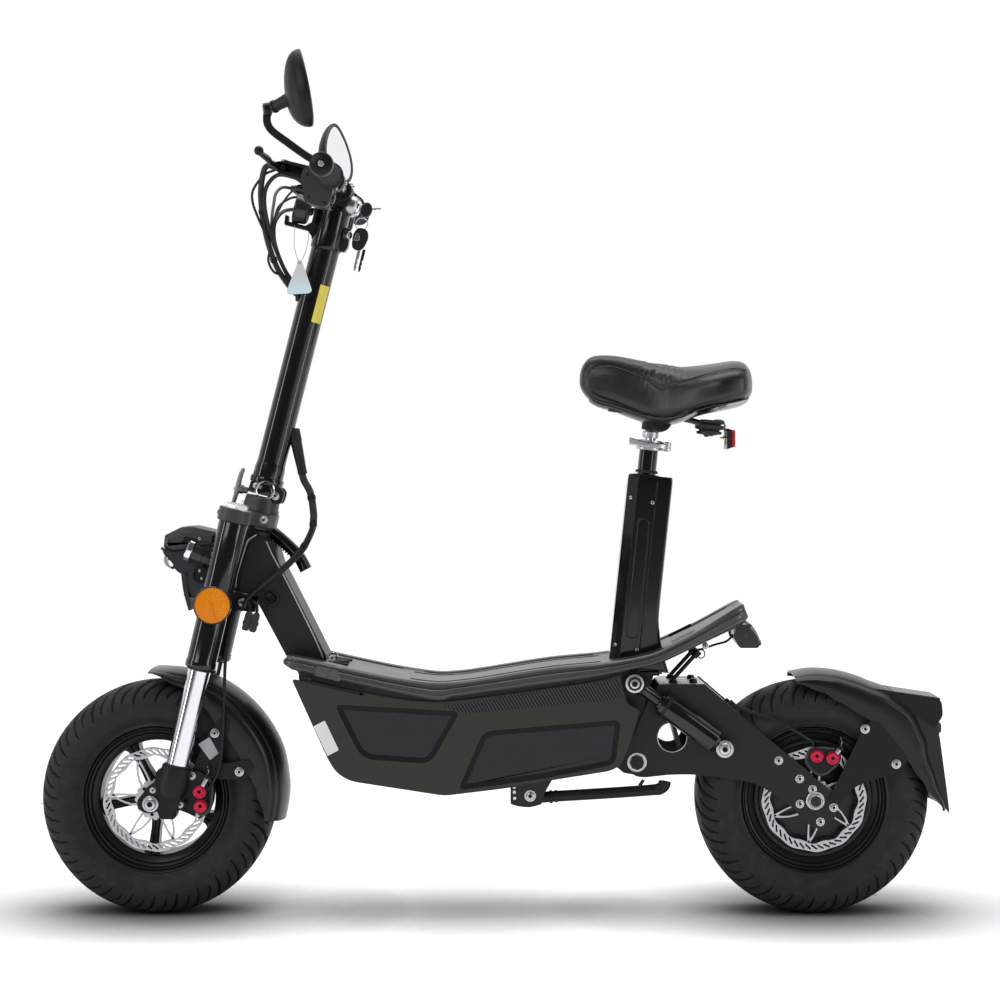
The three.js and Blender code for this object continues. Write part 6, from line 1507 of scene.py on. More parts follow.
def build_neck_trim():
    """Details of the neck: head tube cups, welded panel edges, gusset tube, cable grommet and weld beads."""
    m = Maker(STEERING)
    for top, flip in ((-77.4, 1), (-180, -1)):
        m.round((0, 0, top), (0, 0, -flip), [(0, 25), (0.4, 28.6), (4.4, 28.8), (6, 27.6), (7, 27.0)], "dark_steel",
                56)
    m.place = VEHICLE
    for side in (-1, 1):
        y = side * 40.6
        for path in ([(-431, 402), (-444.0, 392), (-452, 370), (-461.2, 338), (-463, 322)],
                     [(-416, 391), (-407, 371), (-385.4, 330.6), (-361, 282), (-341, 241), (-330, 214)]):
            m.tube(curve_through([(x, y, z) for x, z in path], 6), 1.25, "brushed_plate", 8, flat=0.6)
        if side < 0:
            m.tube(hoop(-408.3, y, 304, 9.6, 9.6, 32), 2.6, "cable_rubber", 10, closed=True)
            # The grommet's hole is painted near-black as its shade.
            m.round((-408.3, y + 0.6, 304), (0, -1, 0), [(0, 8.6), (1.0, 8.0)], "recess_black", 28)
            m.round((-410, y, 307), (-0.3, -1, 0.4), [(0, 6.8), (5, 5.2), (9, 4.4)], "cable_rubber", 24)
    m.tube(curve_through([(-418, 0, 408), (-404, 0, 398), (-386, 0, 382), (-371, 0, 366), (-360, 0, 346)], 5), 9.5,
           "frame_gloss", 24)
    for k in range(26):
        t = k / 25.0
        x, z = -419 + 45 * t, 399 - 40 * t
        m.ball((x, 8 if k % 2 else -8, z), 1.7, "frame_gloss", 8)
    return m.piece("neck_trim", "frame", sharp=40)


def build_seat_column():
    """Pressed seat column: chamfered box section with long recesses, screws, foot flare, cap and tube."""
    m = Maker(SEAT)
    half_x, half_y = 34.0, 35.0

    def section(z):
        flare = 26.0 * (max(0.0, 95 - z) / 95.0) ** 1.8
        wide = half_y
        front, rear = -half_x, half_x + flare
        c = 15.0
        return [(front, -wide + c), (front + 1.2, -wide + c - 1.4), (front + c, -wide), (front + c + 1, -wide),
                (rear - 5, -wide), (rear - 1.4, -wide + 1.4), (rear, -wide + 5), (rear, wide - 5),
                (rear - 1.4, wide - 1.4), (rear - 5, wide), (front + c + 1, wide), (front + c, wide),
                (front + 1.2, wide - c + 1.4), (front, wide - c)]

    levels = [2, 6, 12, 20, 30, 42, 55, 68, 82, 110, 150, 190, 230, 265, 290, 296, 297.6]
    rings = []
    for z in levels:
        shrink = 1.0 if z < 296 else (0.985 if z < 297 else 0.96)
        rings.append([(x * shrink, y * shrink, z) for x, y in section(z)])
    m.loft(rings, "frame_gloss")
    for side in (-1, 1):
        y = side * 35.0
        recess = rounded([(-13, 50), (5, 50), (5, 232), (-13, 232)], 8, 5)
        # A near-black line painted along the seam as its shade.
        m.plate([(9.2, 6), (10.6, 6), (10.6, 292), (9.2, 292)], side * 34.4, side * 35.15, "recess_black")
        m.plate([(10.6, 6), (11.2, 6), (11.2, 292), (10.6, 292)], side * 34.4, side * 35.5, "frame_gloss")
        m.loft([[(p[0], y + side * lift, p[1]) for p in inset(recess, d)]
                for d, lift in ((-1.6, -0.3), (-0.8, 0.75), (0.6, 0.75), (1.6, -0.2))], "frame_gloss", caps=False)
        for z in (258, 32):
            m.bolt((6.2, y + side * 0.2, z), (0, side, 0), 3.1, washer=False)
            m.bolt((-27.0, side * 27.7, z + 4), (-0.7, side * 0.7, 0), 3.1, washer=False)
    m.round((POST_X, 0, 296), (0, 0, 1), [(0, 21), (2.4, 21), (3.4, 19.6), (3.8, 15)], "satin_plastic", 48)
    plate_top = rounded([(-31, -33), (33, -33), (33, 33), (-31, 33)], 10, 4)
    m.plate(plate_top, 296, 298.6, "satin_plastic", axis='Z')
    m.round((POST_X, 0, 170), (0, 0, 1), [(0, 14.4), (166, 14.4), (167, 13.9), (167.4, 12)], "frame_gloss", 56)
    m.round((POST_X, 0, 302), (0, 0, 1), [(0, 17.5), (3, 17.2), (4.4, 15.4)], "grip_rubber", 48)
    m.plate(rounded([(-40, -42), (48, -42), (48, 42), (-40, 42)], 8, 4), -0.4, 4.6, "frame_gloss", axis='Z')
    return m.piece("seat_column_pressed", "frame", ("seat_column",), bevel=0.8, sharp=30)


def build_seat_clamp():
    """Silver split collar of the seat post clamp with its two ears."""
    m = Maker(SEAT)
    m.plate(circle(POST_X, 0, 19.8, 45), 337.2, 352.8, "bright_bolt", [circle(POST_X, 0, 14.5, 45)], axis='Z')
    for flip in (-1, 1):
        ear = [(8, 9 * flip), (24, 9 * flip), (26, 6 * flip), (26, 1.6 * flip), (8, 1.6 * flip)]
        m.plate(rounded(ear, 2, 2), 338.4, 351.6, "bright_bolt", axis='Z')
    m.round((POST_X, 0, 337.4), (0, 0, 1), [(3.6, 20.0), (4.6, 20.7), (11, 20.7), (12, 20.0)], "bright_bolt", 56)
    return m.piece("seat_clamp_ring", "frame", ("seat_clamp",), bevel=0.8, sharp=30)


def build_swingarm():
    """Swingarm: two cut side plates, slotted brushed top plate, cross plates, pivot bolts and drop-out bolts."""
    m = Maker()
    side_line = spread([
        (0, 0.468), (0.034, 0.383), (0.08, 0.363), (0.208, 0.383), (0.323, 0.387), (0.627, 0.329), (0.798, 0.149),
        (0.845, 0.059), (0.922, 0), (0.994, 0.081), (1, 0.239), (0.882, 0.374), (0.736, 0.54), (0.55, 0.77),
        (0.366, 1), (0.161, 1), (0.115, 0.9), (0.006, 0.532)], 128, -46, 322, 222)
    outline = rounded(side_line, [14, 10, 10, 6, 20, 26, 12, 10, 16, 16, 16, 24, 10, 10, 8, 8, 6, 8], 4)
    for side in (-1, 1):
        m.plate(outline, side * 58, side * 62.4, "arm_satin", [circle(200, 96, 22, 40)])
        m.tube(hoop(200, side * 62.2, 96, 22.4, 22.4, 48), 0.9, "brushed_plate", 8, closed=True)
        m.tube([(247, side * 60, 175.4), (306, side * 60, 124.5), (366, side * 60, 74), (412, side * 60, 37)], 2.2,
               "arm_satin", 8)
        for x, z in ((361, 60.5), (392.6, 33), (412, 17), (393, -5), (424, -32), (444, -10.5)):
            m.bolt((x, side * 62.2, z), (0, side, 0), 4.8)
        m.round((146.6, side * 62, 58), (0, side, 0), [(0, 15), (1.4, 15), (2, 14.2)], "bright_bolt", 40)
        m.bolt((146.6, side * 63.2, 58), (0, side, 0), 9.4, height=4.6)
    top = rounded([(180, -57.8), (247, -57.8), (247, 57.8), (180, 57.8)], 4, 2)
    slots = [slot_outline((200, y), (228, y), 3.0) for y in (-44, -15, 15, 44)]
    m.plate(top, 171.0, 175.8, "brushed_plate", slots, axis='Z')
    ramp = [(246, 171), (246, 175.8), (301, 128.6), (298, 125)]
    m.plate(ramp, -57.8, 57.8, "brushed_plate")
    m.plate([(184, 170), (190, 170), (226, 40), (220, 40)], -57.6, 57.6, "arm_satin")
    m.plate([(292, 128), (298, 128), (322, 104), (318, 100)], -57.6, 57.6, "arm_satin")
    m.rod((146.6, -58, 58), (146.6, 58, 58), 11, "arm_satin")
    for x, y, z, tilt in ((234, -30, 175.8, 0), (290, -28, 138.4, 1), (234, 30, 175.8, 0), (290, 28, 138.4, 1)):
        way = Vector((0.65, 0, 0.76)) if tilt else Vector((0, 0, 1))
        m.round((x, y, z - 0.4), way, [(0, 6.2), (3.4, 6.0), (6.0, 4.6), (6.2, 2.6)], "dark_steel", 20)
    for side in (-1, 1):
        m.tube([(200, side * 56, 150), (214, side * 56, 138), (238, side * 60.5, 121), (262, side * 62, 100)], 1.0,
               "brushed_plate", 6)
    m.round((277, 0, 82), (0, 1, 0), [(-60, 9), (60, 9)], "dark_steel", 24)
    return m.piece("swingarm_plates", "swingarm", ("swingarm",), bevel=0.7, sharp=30)


def build_rear_axle():
    """Rear axle with its domed flanged nut and spacers."""
    m = Maker(wheel_place(REAR_AXLE))
    m.rod((0, -74, 0), (0, 74, 0), 8, "dark_steel")
    for side in (-1, 1):
        m.round((0, side * 63, 0), (0, side, 0), [(0, 14), (1.6, 14.0), (2.2, 13.2), (2.2, 11)], "bright_bolt", 48)
        m.round((0, side * 63, 0), (0, side, 0), [(2, 11.6), (7.4, 11.6), (9, 10.2), (9, 8.2)], "bright_bolt", 6,
                caps=False)
        m.round((0, side * 63, 0), (0, side, 0), [(8.8, 8.4), (10.6, 7.8), (10.8, 6.0), (8.0, 5.4), (7.2, 1.0)],
                "dark_steel", 32)
        m.round((0, side * 44.4, 0), (0, side, 0), [(0, 12), (13.4, 12)], "dark_steel", 32)
    return m.piece("rear_axle_nut", "swingarm", ("rear_axle",), sharp=30)


def build_shocks():
    """Shock absorbers: polished rods in collars, painted bodies, eyes and large silver pin heads."""
    for side, word in ((-1, "left"), (1, "right")):
        length = math.hypot(135, 98)
        m = Maker(shock_place(side))
        m.round((0, -11, 0), (0, 1, 0), [(0, 12), (22, 12)], "satin_plastic", 32)
        m.round((0, 0, 6), (0, 0, 1), [(0, 9.6), (14, 9.6), (16, 9.0), (34, 9.0), (60, 8.8), (90, 8.8)], "fork_gloss",
                40)
        m.round((0, 0, 10), (0, 0, 1), [(0, 12.4), (6, 12.4), (7, 11.4)], "satin_plastic", 36)
        m.round((0, side * 11, 0), (0, side, 0), [(0, 13.6), (1.2, 13.6), (1.8, 12.8), (1.8, 11.4)], "bright_bolt",
                44)
        m.bolt((0, side * 12.0, 0), (0, side, 0), 10.2, height=4.2)
        m.piece(f"shock_shaft_{word}", "shock_upper", (f"shock_rod_{word}",), sharp=30)
        m = Maker(shock_place(side))
        m.round((0, -11, length), (0, 1, 0), [(0, 12), (22, 12)], "satin_plastic", 32)
        base = length - 10
        m.round((0, 0, base), (0, 0, -1), [(0, 12), (3, 15), (8, 18.3), (60, 18.4), (104, 18.4), (106, 17.6),
                                           (106.4, 14), (110, 13.6), (111, 11.6), (111.6, 9.4)], "fork_gloss", 56)
        m.round((0, 0, base - 100), (0, 0, 1), [(0, 18.5), (1.0, 19.2), (3.4, 19.2), (4.4, 18.5)], "satin_plastic",
                56)
        m.round((0, side * 11, length), (0, side, 0), [(0, 13.0), (1.2, 13.0), (1.8, 12.2), (1.8, 10.8)],
                "bright_bolt", 44)
        m.bolt((0, side * 12.0, length), (0, side, 0), 9.4, height=4.2)
        m.piece(f"shock_can_{word}", "shock_lower", (f"shock_body_{word}",), sharp=30)


def build_deck_stay():
    """Flexible stays from the deck's tail to the swingarm with their clip, eye bolt and ring."""
    m = Maker()
    for side in (-1, 1):
        a, b = Vector((203, side * 34, 181)), Vector((236, side * 34, 217))
        m.rod(a, b, 3.2, "satin_plastic", steps=16)
        m.round((203, side * 34, 176), (0, 0, 1), [(0, 7), (2, 7), (3, 5.4), (6, 4.6)], "satin_plastic", 24)
        m.round(b, (0.6, 0, 0.8), [(-3, 5), (5, 6.6), (9, 6.6)], "satin_plastic", 20)
    m.bolt((252, -38, 232), (0, -1, 0), 4.0)
    m.tube(hoop(245.6, -37, 219.5, 5.6, 6.4, 24), 1.0, "dark_steel", 8, closed=True)
    stay = m.piece("deck_stay", "", sharp=34)
    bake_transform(stay)
    return stay


def build_tail_light():
    """Tail light: black wedge housing, framed smoked lens, clips and its short wire."""
    m = Maker()
    left = 295
    low = line_height(curve_through(DECK_LOW, 6), left) - 31.7

    def shape(shares, corner, steps=2):
        return rounded(spread(shares, left, low, 42.5, 38), corner, steps)

    m.plate(shape([(0.007, 0.4), (0.038, 0.73), (0.19, 0.93), (0.367, 0.965), (0.485, 0.955), (0.753, 0.62),
                   (0.95, 0.2), (0.87, 0.02), (0.216, 0.02)], 2.6, 3), -42, 42, "lamp_black")
    m.plate(shape([(0.50, 0.955), (0.62, 0.985), (0.80, 0.70), (1.0, 0.23), (0.97, 0.10), (0.90, 0.12), (0.70, 0.6)],
                  1.6), -40.5, 40.5, "smoked_glass")
    m.plate(shape([(0.46, 0.95), (0.56, 0.99), (0.64, 0.97), (0.58, 0.80), (0.50, 0.84)], 1.2),
            -41.6, 41.6, "housing_grey")
    for side in (-1, 1):
        m.plate(shape([(0.3, 0.62), (0.45, 0.70), (0.52, 0.52), (0.4, 0.42)], 1.4), side * 41.5, side * 42.6,
                "housing_grey")
    m.tube(curve_through([(left + 3, -8, low + 20), (left - 8, -10, low + 9), (left - 26, -14, low + 4),
                          (left - 44, -20, low - 1.5), (left - 56, -24, low - 4)], 6), 1.9, "cable_rubber", 10)
    m.tube(curve_through([(left - 4, -12, low + 28), (left - 3, -12, low + 18), (left + 4, -12, low + 14)], 4), 2.2,
           "dark_steel", 8)
    return m.piece("tail_light_housing", "frame", ("tail_light",), bevel=0.6, sharp=30)


def build_kickstand():
    """Kickstand: turned barrel, tube with its mitred elbow and foot, and the pivot bolt."""
    m = Maker()
    m.round((-6, -74 + 13, 8), (0, -1, 0), [(0, 10.6), (26, 10.6), (27, 9.6)], "satin_plastic", 40)
    path = [(-6, -74, 6), (20, -74, 8.2), (60, -74, 10.6), (110, -74, 13.7), (160, -74, 17.2), (178, -74, 19.0)]
    m.tube(curve_through(path, 4), 8.3, "satin_plastic", 28)
    m.tube(curve_through([(172, -74, 18), (180, -74, 19.5), (186.5, -74, 24), (188, -74, 31)], 5),
           [8.4, 8.4, 8.6, 8.8, 9.0, 9.0, 9.0, 9.0, 9.0, 9.0, 9.0, 9.2, 9.4, 9.4, 9.4, 8.8], "satin_plastic", 28)
    for x, r in ((14, 9.8), (22, 9.3)):
        m.round((x, -74, 7.6 + (x - 14) * 0.1), (1, 0, 0.06), [(0, r - 1), (0.8, r), (4.2, r), (5, r - 1)],
                "satin_plastic", 32)
    m.rod((150, -74, 24), (156, -74, 33), 2.6, "dark_steel", steps=12)
    return m.piece("kickstand_leg", "kickstand", ("kickstand",), sharp=34)


def build_stand_bracket():
    """Bracket of the kickstand under the tray with its row of small holes and the silver pivot bolt."""
    m = Maker()
    line = spread([(0, 1), (0, 0.12), (0.2, 0.03), (0.45, 0), (0.72, 0.1), (0.8, 0.5), (1, 1)], -44, -6, 64, 44)
    m.plate(rounded(line, [1, 3, 6, 8, 8, 6, 1], 3), -91.0, -88.9, "arm_satin")
    for z in (24.5, 17.0, 8.0):
        m.round((-38.6 + (24.5 - z) * 0.05, -91.0, z), (0, -1, 0), [(0, 2.5), (0.4, 2.3)], "white_label", 18)
    m.bolt((-14.5, -91.0, 11.5), (0, -1, 0), 6.4)
    return m.piece("stand_bracket", "frame", bevel=0.4, sharp=30)


def build_column():
    """Steering column: hinged foot with collars and bolts, gloss tube, upper sleeve, bar clamp and label."""
    m = Maker(COCKPIT)
    m.round((0, 0, 0), (0, 0, 1), [
        (-29.6, 22), (-29.4, 24.6), (-27, 25), (-20, 25), (-16, 23.4), (-13.4, 23.2), (-12.4, 25.6), (-5, 26.2),
        (-2.6, 25.4), (-2.0, 23.8), (12, 23.4), (20, 22.2), (22, 22.0), (180, 22.0), (360, 22.0)], "frame_gloss", 80,
        caps=False)
    m.round((0, 0, 0), (0, 0, 1), [(358.6, 22), (359.2, 23.6), (360.4, 24.1), (366, 24.2), (418, 24.2), (420.6, 23.6),
                                   (421.4, 22), (425, 20.2), (429, 19.4), (430, 18)], "frame_gloss", 80)
    for side in (-1, 1):
        m.plate(rounded([(10, -37), (32, -37), (33, -16), (20, -10), (8, -14)], 6, 3), side * 9.6, side * 20.5,
                "satin_plastic")
        m.bolt((20.5, side * 20.6, -26), (0, side, 0), 4.6)
        m.bolt((-11.0, side * 23.2, -17.5), (0, side, 0), 4.0)
    m.plate(rounded([(-22, -12), (-10, -10), (-8, -24), (-20, -26)], 4, 3), -23.2, 23.2, "satin_plastic")
    m.tube(hoop(4, -26.4, -21, 13.6, 13.6, 48), 1.1, "chrome", 10, closed=True)
    for z in (405, 374):
        m.bolt((-24.2, 0, z), (-1, 0, 0), 2.6, "dark_steel", False)
    m.round((-2, 0, 281), (-1, 0, 0), [(19, 9.6), (22.6, 9.6), (23.6, 8.6), (24.2, 6.8)], "cable_rubber", 32)
    m.round((18, 0, 84), (0.436, 0, -0.9), [(4, 6), (6, 9.6), (24, 9.4), (26, 8.8), (48, 8.0), (66, 7.2), (75, 7.4),
                                            (75.6, 6.2)], "cable_rubber", 28)
    number = m.number("yellow_label")
    rows = []
    for z in (246, 262, 276, 290, 305):
        rows.append(m.verts([(22.15 * math.sin(math.radians(a)), -22.15 * math.cos(math.radians(a)), z)
                             for a in range(22, 74, 4)]))
    for a, b in zip(rows, rows[1:]):
        for i in range(len(a) - 1):
            m.face([a[i], a[i + 1], b[i + 1], b[i]], number)
    return m.piece("column_painted", "column", ("column_tube",), sharp=32)


def build_ignition():
    """Ignition lock on the sleeve with a polished barrel, a second small lock, and the hanging pair of keys."""
    m = Maker(COCKPIT)
    m.round((14, 0, 434), (1, 0, 0), [(0, 14), (4, 16.5), (12, 16.5), (16, 14.6), (18, 12.8)], "brushed_plate", 44)
    m.round((26, 0, 434), (1, 0, 0), [(0, 11.4), (8.6, 11.2), (9.8, 10.4), (9.8, 8.6), (8.6, 8.2), (8.6, 3)],
            "chrome", 40, caps=False)
    m.plate(rounded([(12, 362), (30, 362), (33.4, 372), (31, 398), (12, 402)], 3, 3), -9, 9, "lamp_black")
    m.round((20, -3, 388), (0.8, -0.55, 0.1), [(0, 8.6), (9, 8.6), (10, 7.8)], "lamp_black", 32)
    m.round((20, -3, 388), (0.8, -0.55, 0.1), [(8, 6.2), (14.4, 6.2), (15.2, 5.6), (15.2, 2)], "chrome", 32)
    m.plate(rounded([(39, 372), (36, 392), (41, 405), (56, 405), (61, 393), (57, 374), (48, 369)], 6, 3),
            -9.5, -4.5, "lamp_black")
    m.plate(rounded([(39, 384), (47, 384), (47, 394), (41, 396)], 1.5, 2), -10.4, -9.4, "chrome")
    for x0, x1, y in ((49.0, 53.8, -8.2), (56.2, 60.8, -5.8)):
        edge = [(x0, 374), (x0 + 0.4, 344), (x0 + 2.0, 338), (x1 - 0.8, 339.5), (x1, 345), (x1 - 1.2, 348), (x1, 351),
                (x1 - 1.4, 355), (x1, 358), (x1, 374)]
        m.plate(edge, y - 0.9, y + 0.9, "bright_bolt" if y < -7 else "dark_steel")
    loop = [(45 + 9.5 * math.cos(a), -7 + 1.5 * math.sin(a), 411 + 9.5 * math.sin(a)) for a in turns(36)]
    m.tube(loop, 0.8, "chrome", 8, closed=True)
    return m.piece("ignition_and_keys", "column", bevel=0.4, sharp=30)


def build_key():
    """Ignition key with its round moulded head and the blade of its twin."""
    m = Maker(COCKPIT)
    m.rod((20, 0, 434), (38, 0, 434), 2, "bright_bolt", steps=12)
    rings = []
    for y, r in ((-3.6, 9.5), (-3.0, 11.4), (-1.4, 12.2), (1.4, 12.2), (3.0, 11.4), (3.6, 9.5)):
        rings.append(hoop(46, y, 434, r - 3.0, r, 40))
    m.loft(rings, "lamp_black")
    m.plate([(46, 437), (66, 443), (68.5, 442), (66, 440), (62, 439.4), (60, 437.6), (56, 437.4), (46, 432)],
            0.4, 2.0, "bright_bolt")
    return m.piece("key_moulded", "ignition_key", ("ignition_key",), bevel=0.3, sharp=30)


def build_fold_lever():
    """Cast clamp lever of the folding joint: a tall tapered blade with a rounded top and its side boss."""
    m = Maker(STEERING)
    rings = []
    for z, x0, x1, half in ((-57, -46, -41, 4.6), (-52, -46, -40, 6.4), (-40, -45.4, -38.4, 7.4),
                            (-28, -45.4, -37.2, 7.6), (-16, -45.4, -38.2, 7.6), (-6, -44.6, -37.6, 7.2),
                            (0, -43.2, -36.8, 6.2), (3, -42, -37.6, 4.2), (4, -41, -38.6, 2.4)):
        middle, reach = (x0 + x1) / 2, (x1 - x0) / 2
        rings.append([(middle + reach * math.copysign(abs(math.cos(a)) ** 0.6, math.cos(a)),
                       half * math.copysign(abs(math.sin(a)) ** 0.6, math.sin(a)), z) for a in turns(28)])
    m.loft(rings, "cast_alloy")
    m.round((-40, 0, -29), (1, 0, 0.02), [(0, 7.2), (6, 7.0), (9, 5.4), (13.6, 5.2), (14, 4.4)], "cast_alloy", 32)
    m.rod((-28, 0, -28.6), (-25.2, 0, -28.5), 4.2, "dark_steel", steps=20)
    m.bolt((-46.0, 0, -29), (-1, 0, 0), 3.2, washer=False)
    return m.piece("fold_lever_cast", "fold_lever", ("fold_lever",), sharp=40)


def build_handlebar():
    """Handlebar with its clamp, clamp screws and knurled centre."""
    m = Maker(COCKPIT)
    m.round((BAR_X, -312, BAR_Z), (0, 1, 0), [(0, 10), (0.8, 11), (623.2, 11), (624, 10)], "frame_gloss", 48)
    m.round((BAR_X, -24, BAR_Z), (0, 1, 0),
            [(0, 15.6), (1.2, 17), (20, 17), (21, 15), (27, 15), (28, 17), (46.8, 17), (48, 15.6)],
            "satin_plastic", 48)
    for y in (-15, 15):
        for x in (-10, 16):
            m.bolt((x, y, 466.2 if x < 0 else 465.4), (0, 0, 1), 2.8, washer=False, height=2.2)
    m.block((-8, -22, 428), (15, 22, 444), "satin_plastic")
    return m.piece("handlebar_painted", "column", ("handlebar",), bevel=0.6, sharp=30)


def grip_profile(start, end):
    """Distance and radius pairs of the flange, the fine ribs and the closed end of a grip."""
    profile = [(start, 12), (start, 18.6), (start + 1, 19.8), (start + 4, 20), (start + 5, 18.6), (start + 6, 15.6)]
    place = start + 8
    while place < end - 8:
        profile += [(place, 15.9), (place + 0.6, 15.0), (place + 1.4, 15.0), (place + 2.0, 15.9)]
        place += 3.4
    profile += [(end - 5, 16), (end - 1.2, 15.6), (end, 14), (end, 11.4)]
    return profile


def build_grip(side, word, body, node):
    """Ribbed rubber grip with its flange."""
    m = Maker(COCKPIT)
    m.round((BAR_X, 0, BAR_Z), (0, side, 0), grip_profile(193.7, 311.7), "grip_rubber", 56)
    for x, z in circle(BAR_X, BAR_Z, 15.6, 18):
        m.tube([(x, side * 204, z), (x, side * 300, z)], 0.7, "grip_rubber", 6)
    return m.piece(f"grip_ribbed_{word}", body, (node,), sharp=40)


def build_controls(side, word):
    """Switch housing with seams, screws and rocker, and the brake perch with its clamp and adjuster."""
    m = Maker(COCKPIT)
    a, b = side * 153.2, side * 192.6
    outline = [(-38, 451), (-38, 436), (-30, 423), (-27, 410), (-18, 405.5), (4, 405), (11.5, 411), (11.8, 448),
               (16, 460), (8, 470), (-6, 470.4), (-22, 463), (-34, 458)]
    m.plate(rounded(outline, [6, 8, 10, 10, 8, 10, 8, 12, 12, 12, 12, 10, 8], 4), a, b, "housing_grey")
    # A near-black line painted along the housing's seam as its shade.
    m.plate(inset(rounded(outline, 8, 4), -0.5), side * 171.6, side * 173.0, "recess_black")
    for x, z in ((-20, 415), (4, 412), (-30, 446)):
        m.bolt((x, b, z), (0, side, 0), 2.2, "dark_steel", False)
        m.bolt((x, a, z), (0, -side, 0), 2.2, "dark_steel", False)
    m.plate(rounded([(-30, 430), (-22, 418), (-2, 416), (2, 430), (-8, 440), (-24, 440)], 6, 4), a - side * 0.9,
            a + side * 1, "satin_plastic")
    m.block((11, side * 160, 436), (14.6, side * 185, 446), "lamp_black")
    m.block((11, side * 163, 412), (13.4, side * 168, 430 if side > 0 else 432), "lamp_black")
    m.round((BAR_X, 0, BAR_Z), (0, side, 0),
            [(127.2, 12), (127.2, 16.2), (128.2, 17), (151.6, 17), (152.6, 16.2), (152.6, 12)],
            "satin_plastic", 40, closed=True)
    perch = [(-86, 446), (-86, 458), (-70, 462.6), (-30, 463), (-10, 462), (-10, 442), (-34, 441), (-72, 441.6)]
    m.plate(rounded(perch, 5, 3), side * 128, side * 134.6, "satin_plastic")
    m.plate(rounded([(-86, 456.5), (-70, 462.6), (-30, 463), (-10, 462), (-10, 457.4), (-78, 457.4)], 3, 3),
            side * 128, side * 152.4, "satin_plastic")
    m.plate(rounded([(-82, 446.4), (-72, 441.6), (-34, 441), (-10, 442), (-10, 446.4)], 3, 3), side * 128,
            side * 152.4, "satin_plastic")
    m.round((-74, side * 139.9, 463), (0, 0, 1), [(-1, 5.4), (1.6, 5.4), (2.4, 4.6)], "bright_bolt", 24)
    m.round((-84, side * 137, 451.5), (-1, 0, -0.06), [(-2, 6.4), (4, 6.4), (5, 5.2), (9, 5.0), (10, 4.2)],
            "dark_steel", 20)
    m.bolt((22, side * 140, 452), (1, 0, 0), 2.6, washer=False, height=1.6)
    return m.piece(f"switch_housing_{word}", "column", (f"controls_{word}",), bevel=0.7, sharp=30)


def build_brake_lever(side, word):
    """Curved brake lever with its eye, tapering blade and ball end."""
    m = Maker(COCKPIT)
    m.round((-74, side * 139.9, 447.6), (0, 0, 1), [(0, 6.4), (0.6, 7), (8.2, 7), (8.8, 6.4)], "satin_plastic", 32)
    path = curve_through([(-74, side * 139.9, 452), (-83, side * 150, 452), (-90, side * 164, 452),
                          (-89, side * 186, 452), (-88, side * 210, 452), (-90.4, side * 240, 452),
                          (-93, side * 265, 452), (-92, side * 289.7, 452)], 6)
    count = len(path) - 1
    radii = [4.2 + 1.6 * math.sin(math.pi * i / count) - 1.2 * (i / count) for i in range(count + 1)]
    m.tube(path, radii, "satin_plastic", 18, flat=0.8)
    m.ball((-91, side * 290.5, 452), 6.8, "satin_plastic", 28)
    return m.piece(f"brake_lever_curved_{word}", f"brake_lever_{word}", (f"brake_lever_{word}",),
                   sharp=40)


def build_horn():
    """Horn can with a ringed diaphragm, its rolled edge, terminal and curved bracket."""
    m = Maker(COCKPIT)
    m.round((-38, 0, 410), (-1, 0, 0), [(0, 12), (0.4, 18), (3, 20.6), (12, 21.4), (15, 22.8), (20, 23), (22, 22.4),
                                        (23, 20.4), (22, 18), (21.4, 14), (22.4, 12), (21.6, 9), (23, 6), (23.4, 2)],
            "lamp_black", 64)
    line = [(-72, 396), (-67, 396), (-65.6, 387.4), (-38, 387.2), (-30, 395), (-29.6, 430), (-24.6, 430),
            (-24.4, 396), (-15, 378), (-13.5, 363), (-20, 361.6), (-24, 373), (-33, 381), (-70, 381.4)]
    m.plate(line, -9, 9, "satin_plastic")
    m.plate(rounded([(-40, 424), (-28, 424), (-28, 430), (-38, 446), (-46, 446)], 3, 3), -5, 5, "satin_plastic")
    m.bolt((-29.6, 0, 410), (-1, 0, 0), 3.6)
    m.bolt((-26, -9.2, 424), (0, -1, 0), 2.8)
    m.round((-36, 0, 410), (1, 0, 0), [(-1, 6), (2, 6), (3, 5)], "dark_steel", 6)
    return m.piece("horn_can", "column", ("horn",), bevel=0.4, sharp=34)


def build_horn_button():
    """Domed horn button on the left switch housing."""
    m = Maker(COCKPIT)
    m.round((5, -172.9, 422), (1, 0, 0), [(0, 6.6), (9.4, 6.8), (10.4, 6.2), (11, 4.4), (11, 3), (10.4, 2)],
            "lamp_black", 32)
    return m.piece("horn_push", "horn_button", ("horn_button",), sharp=34)


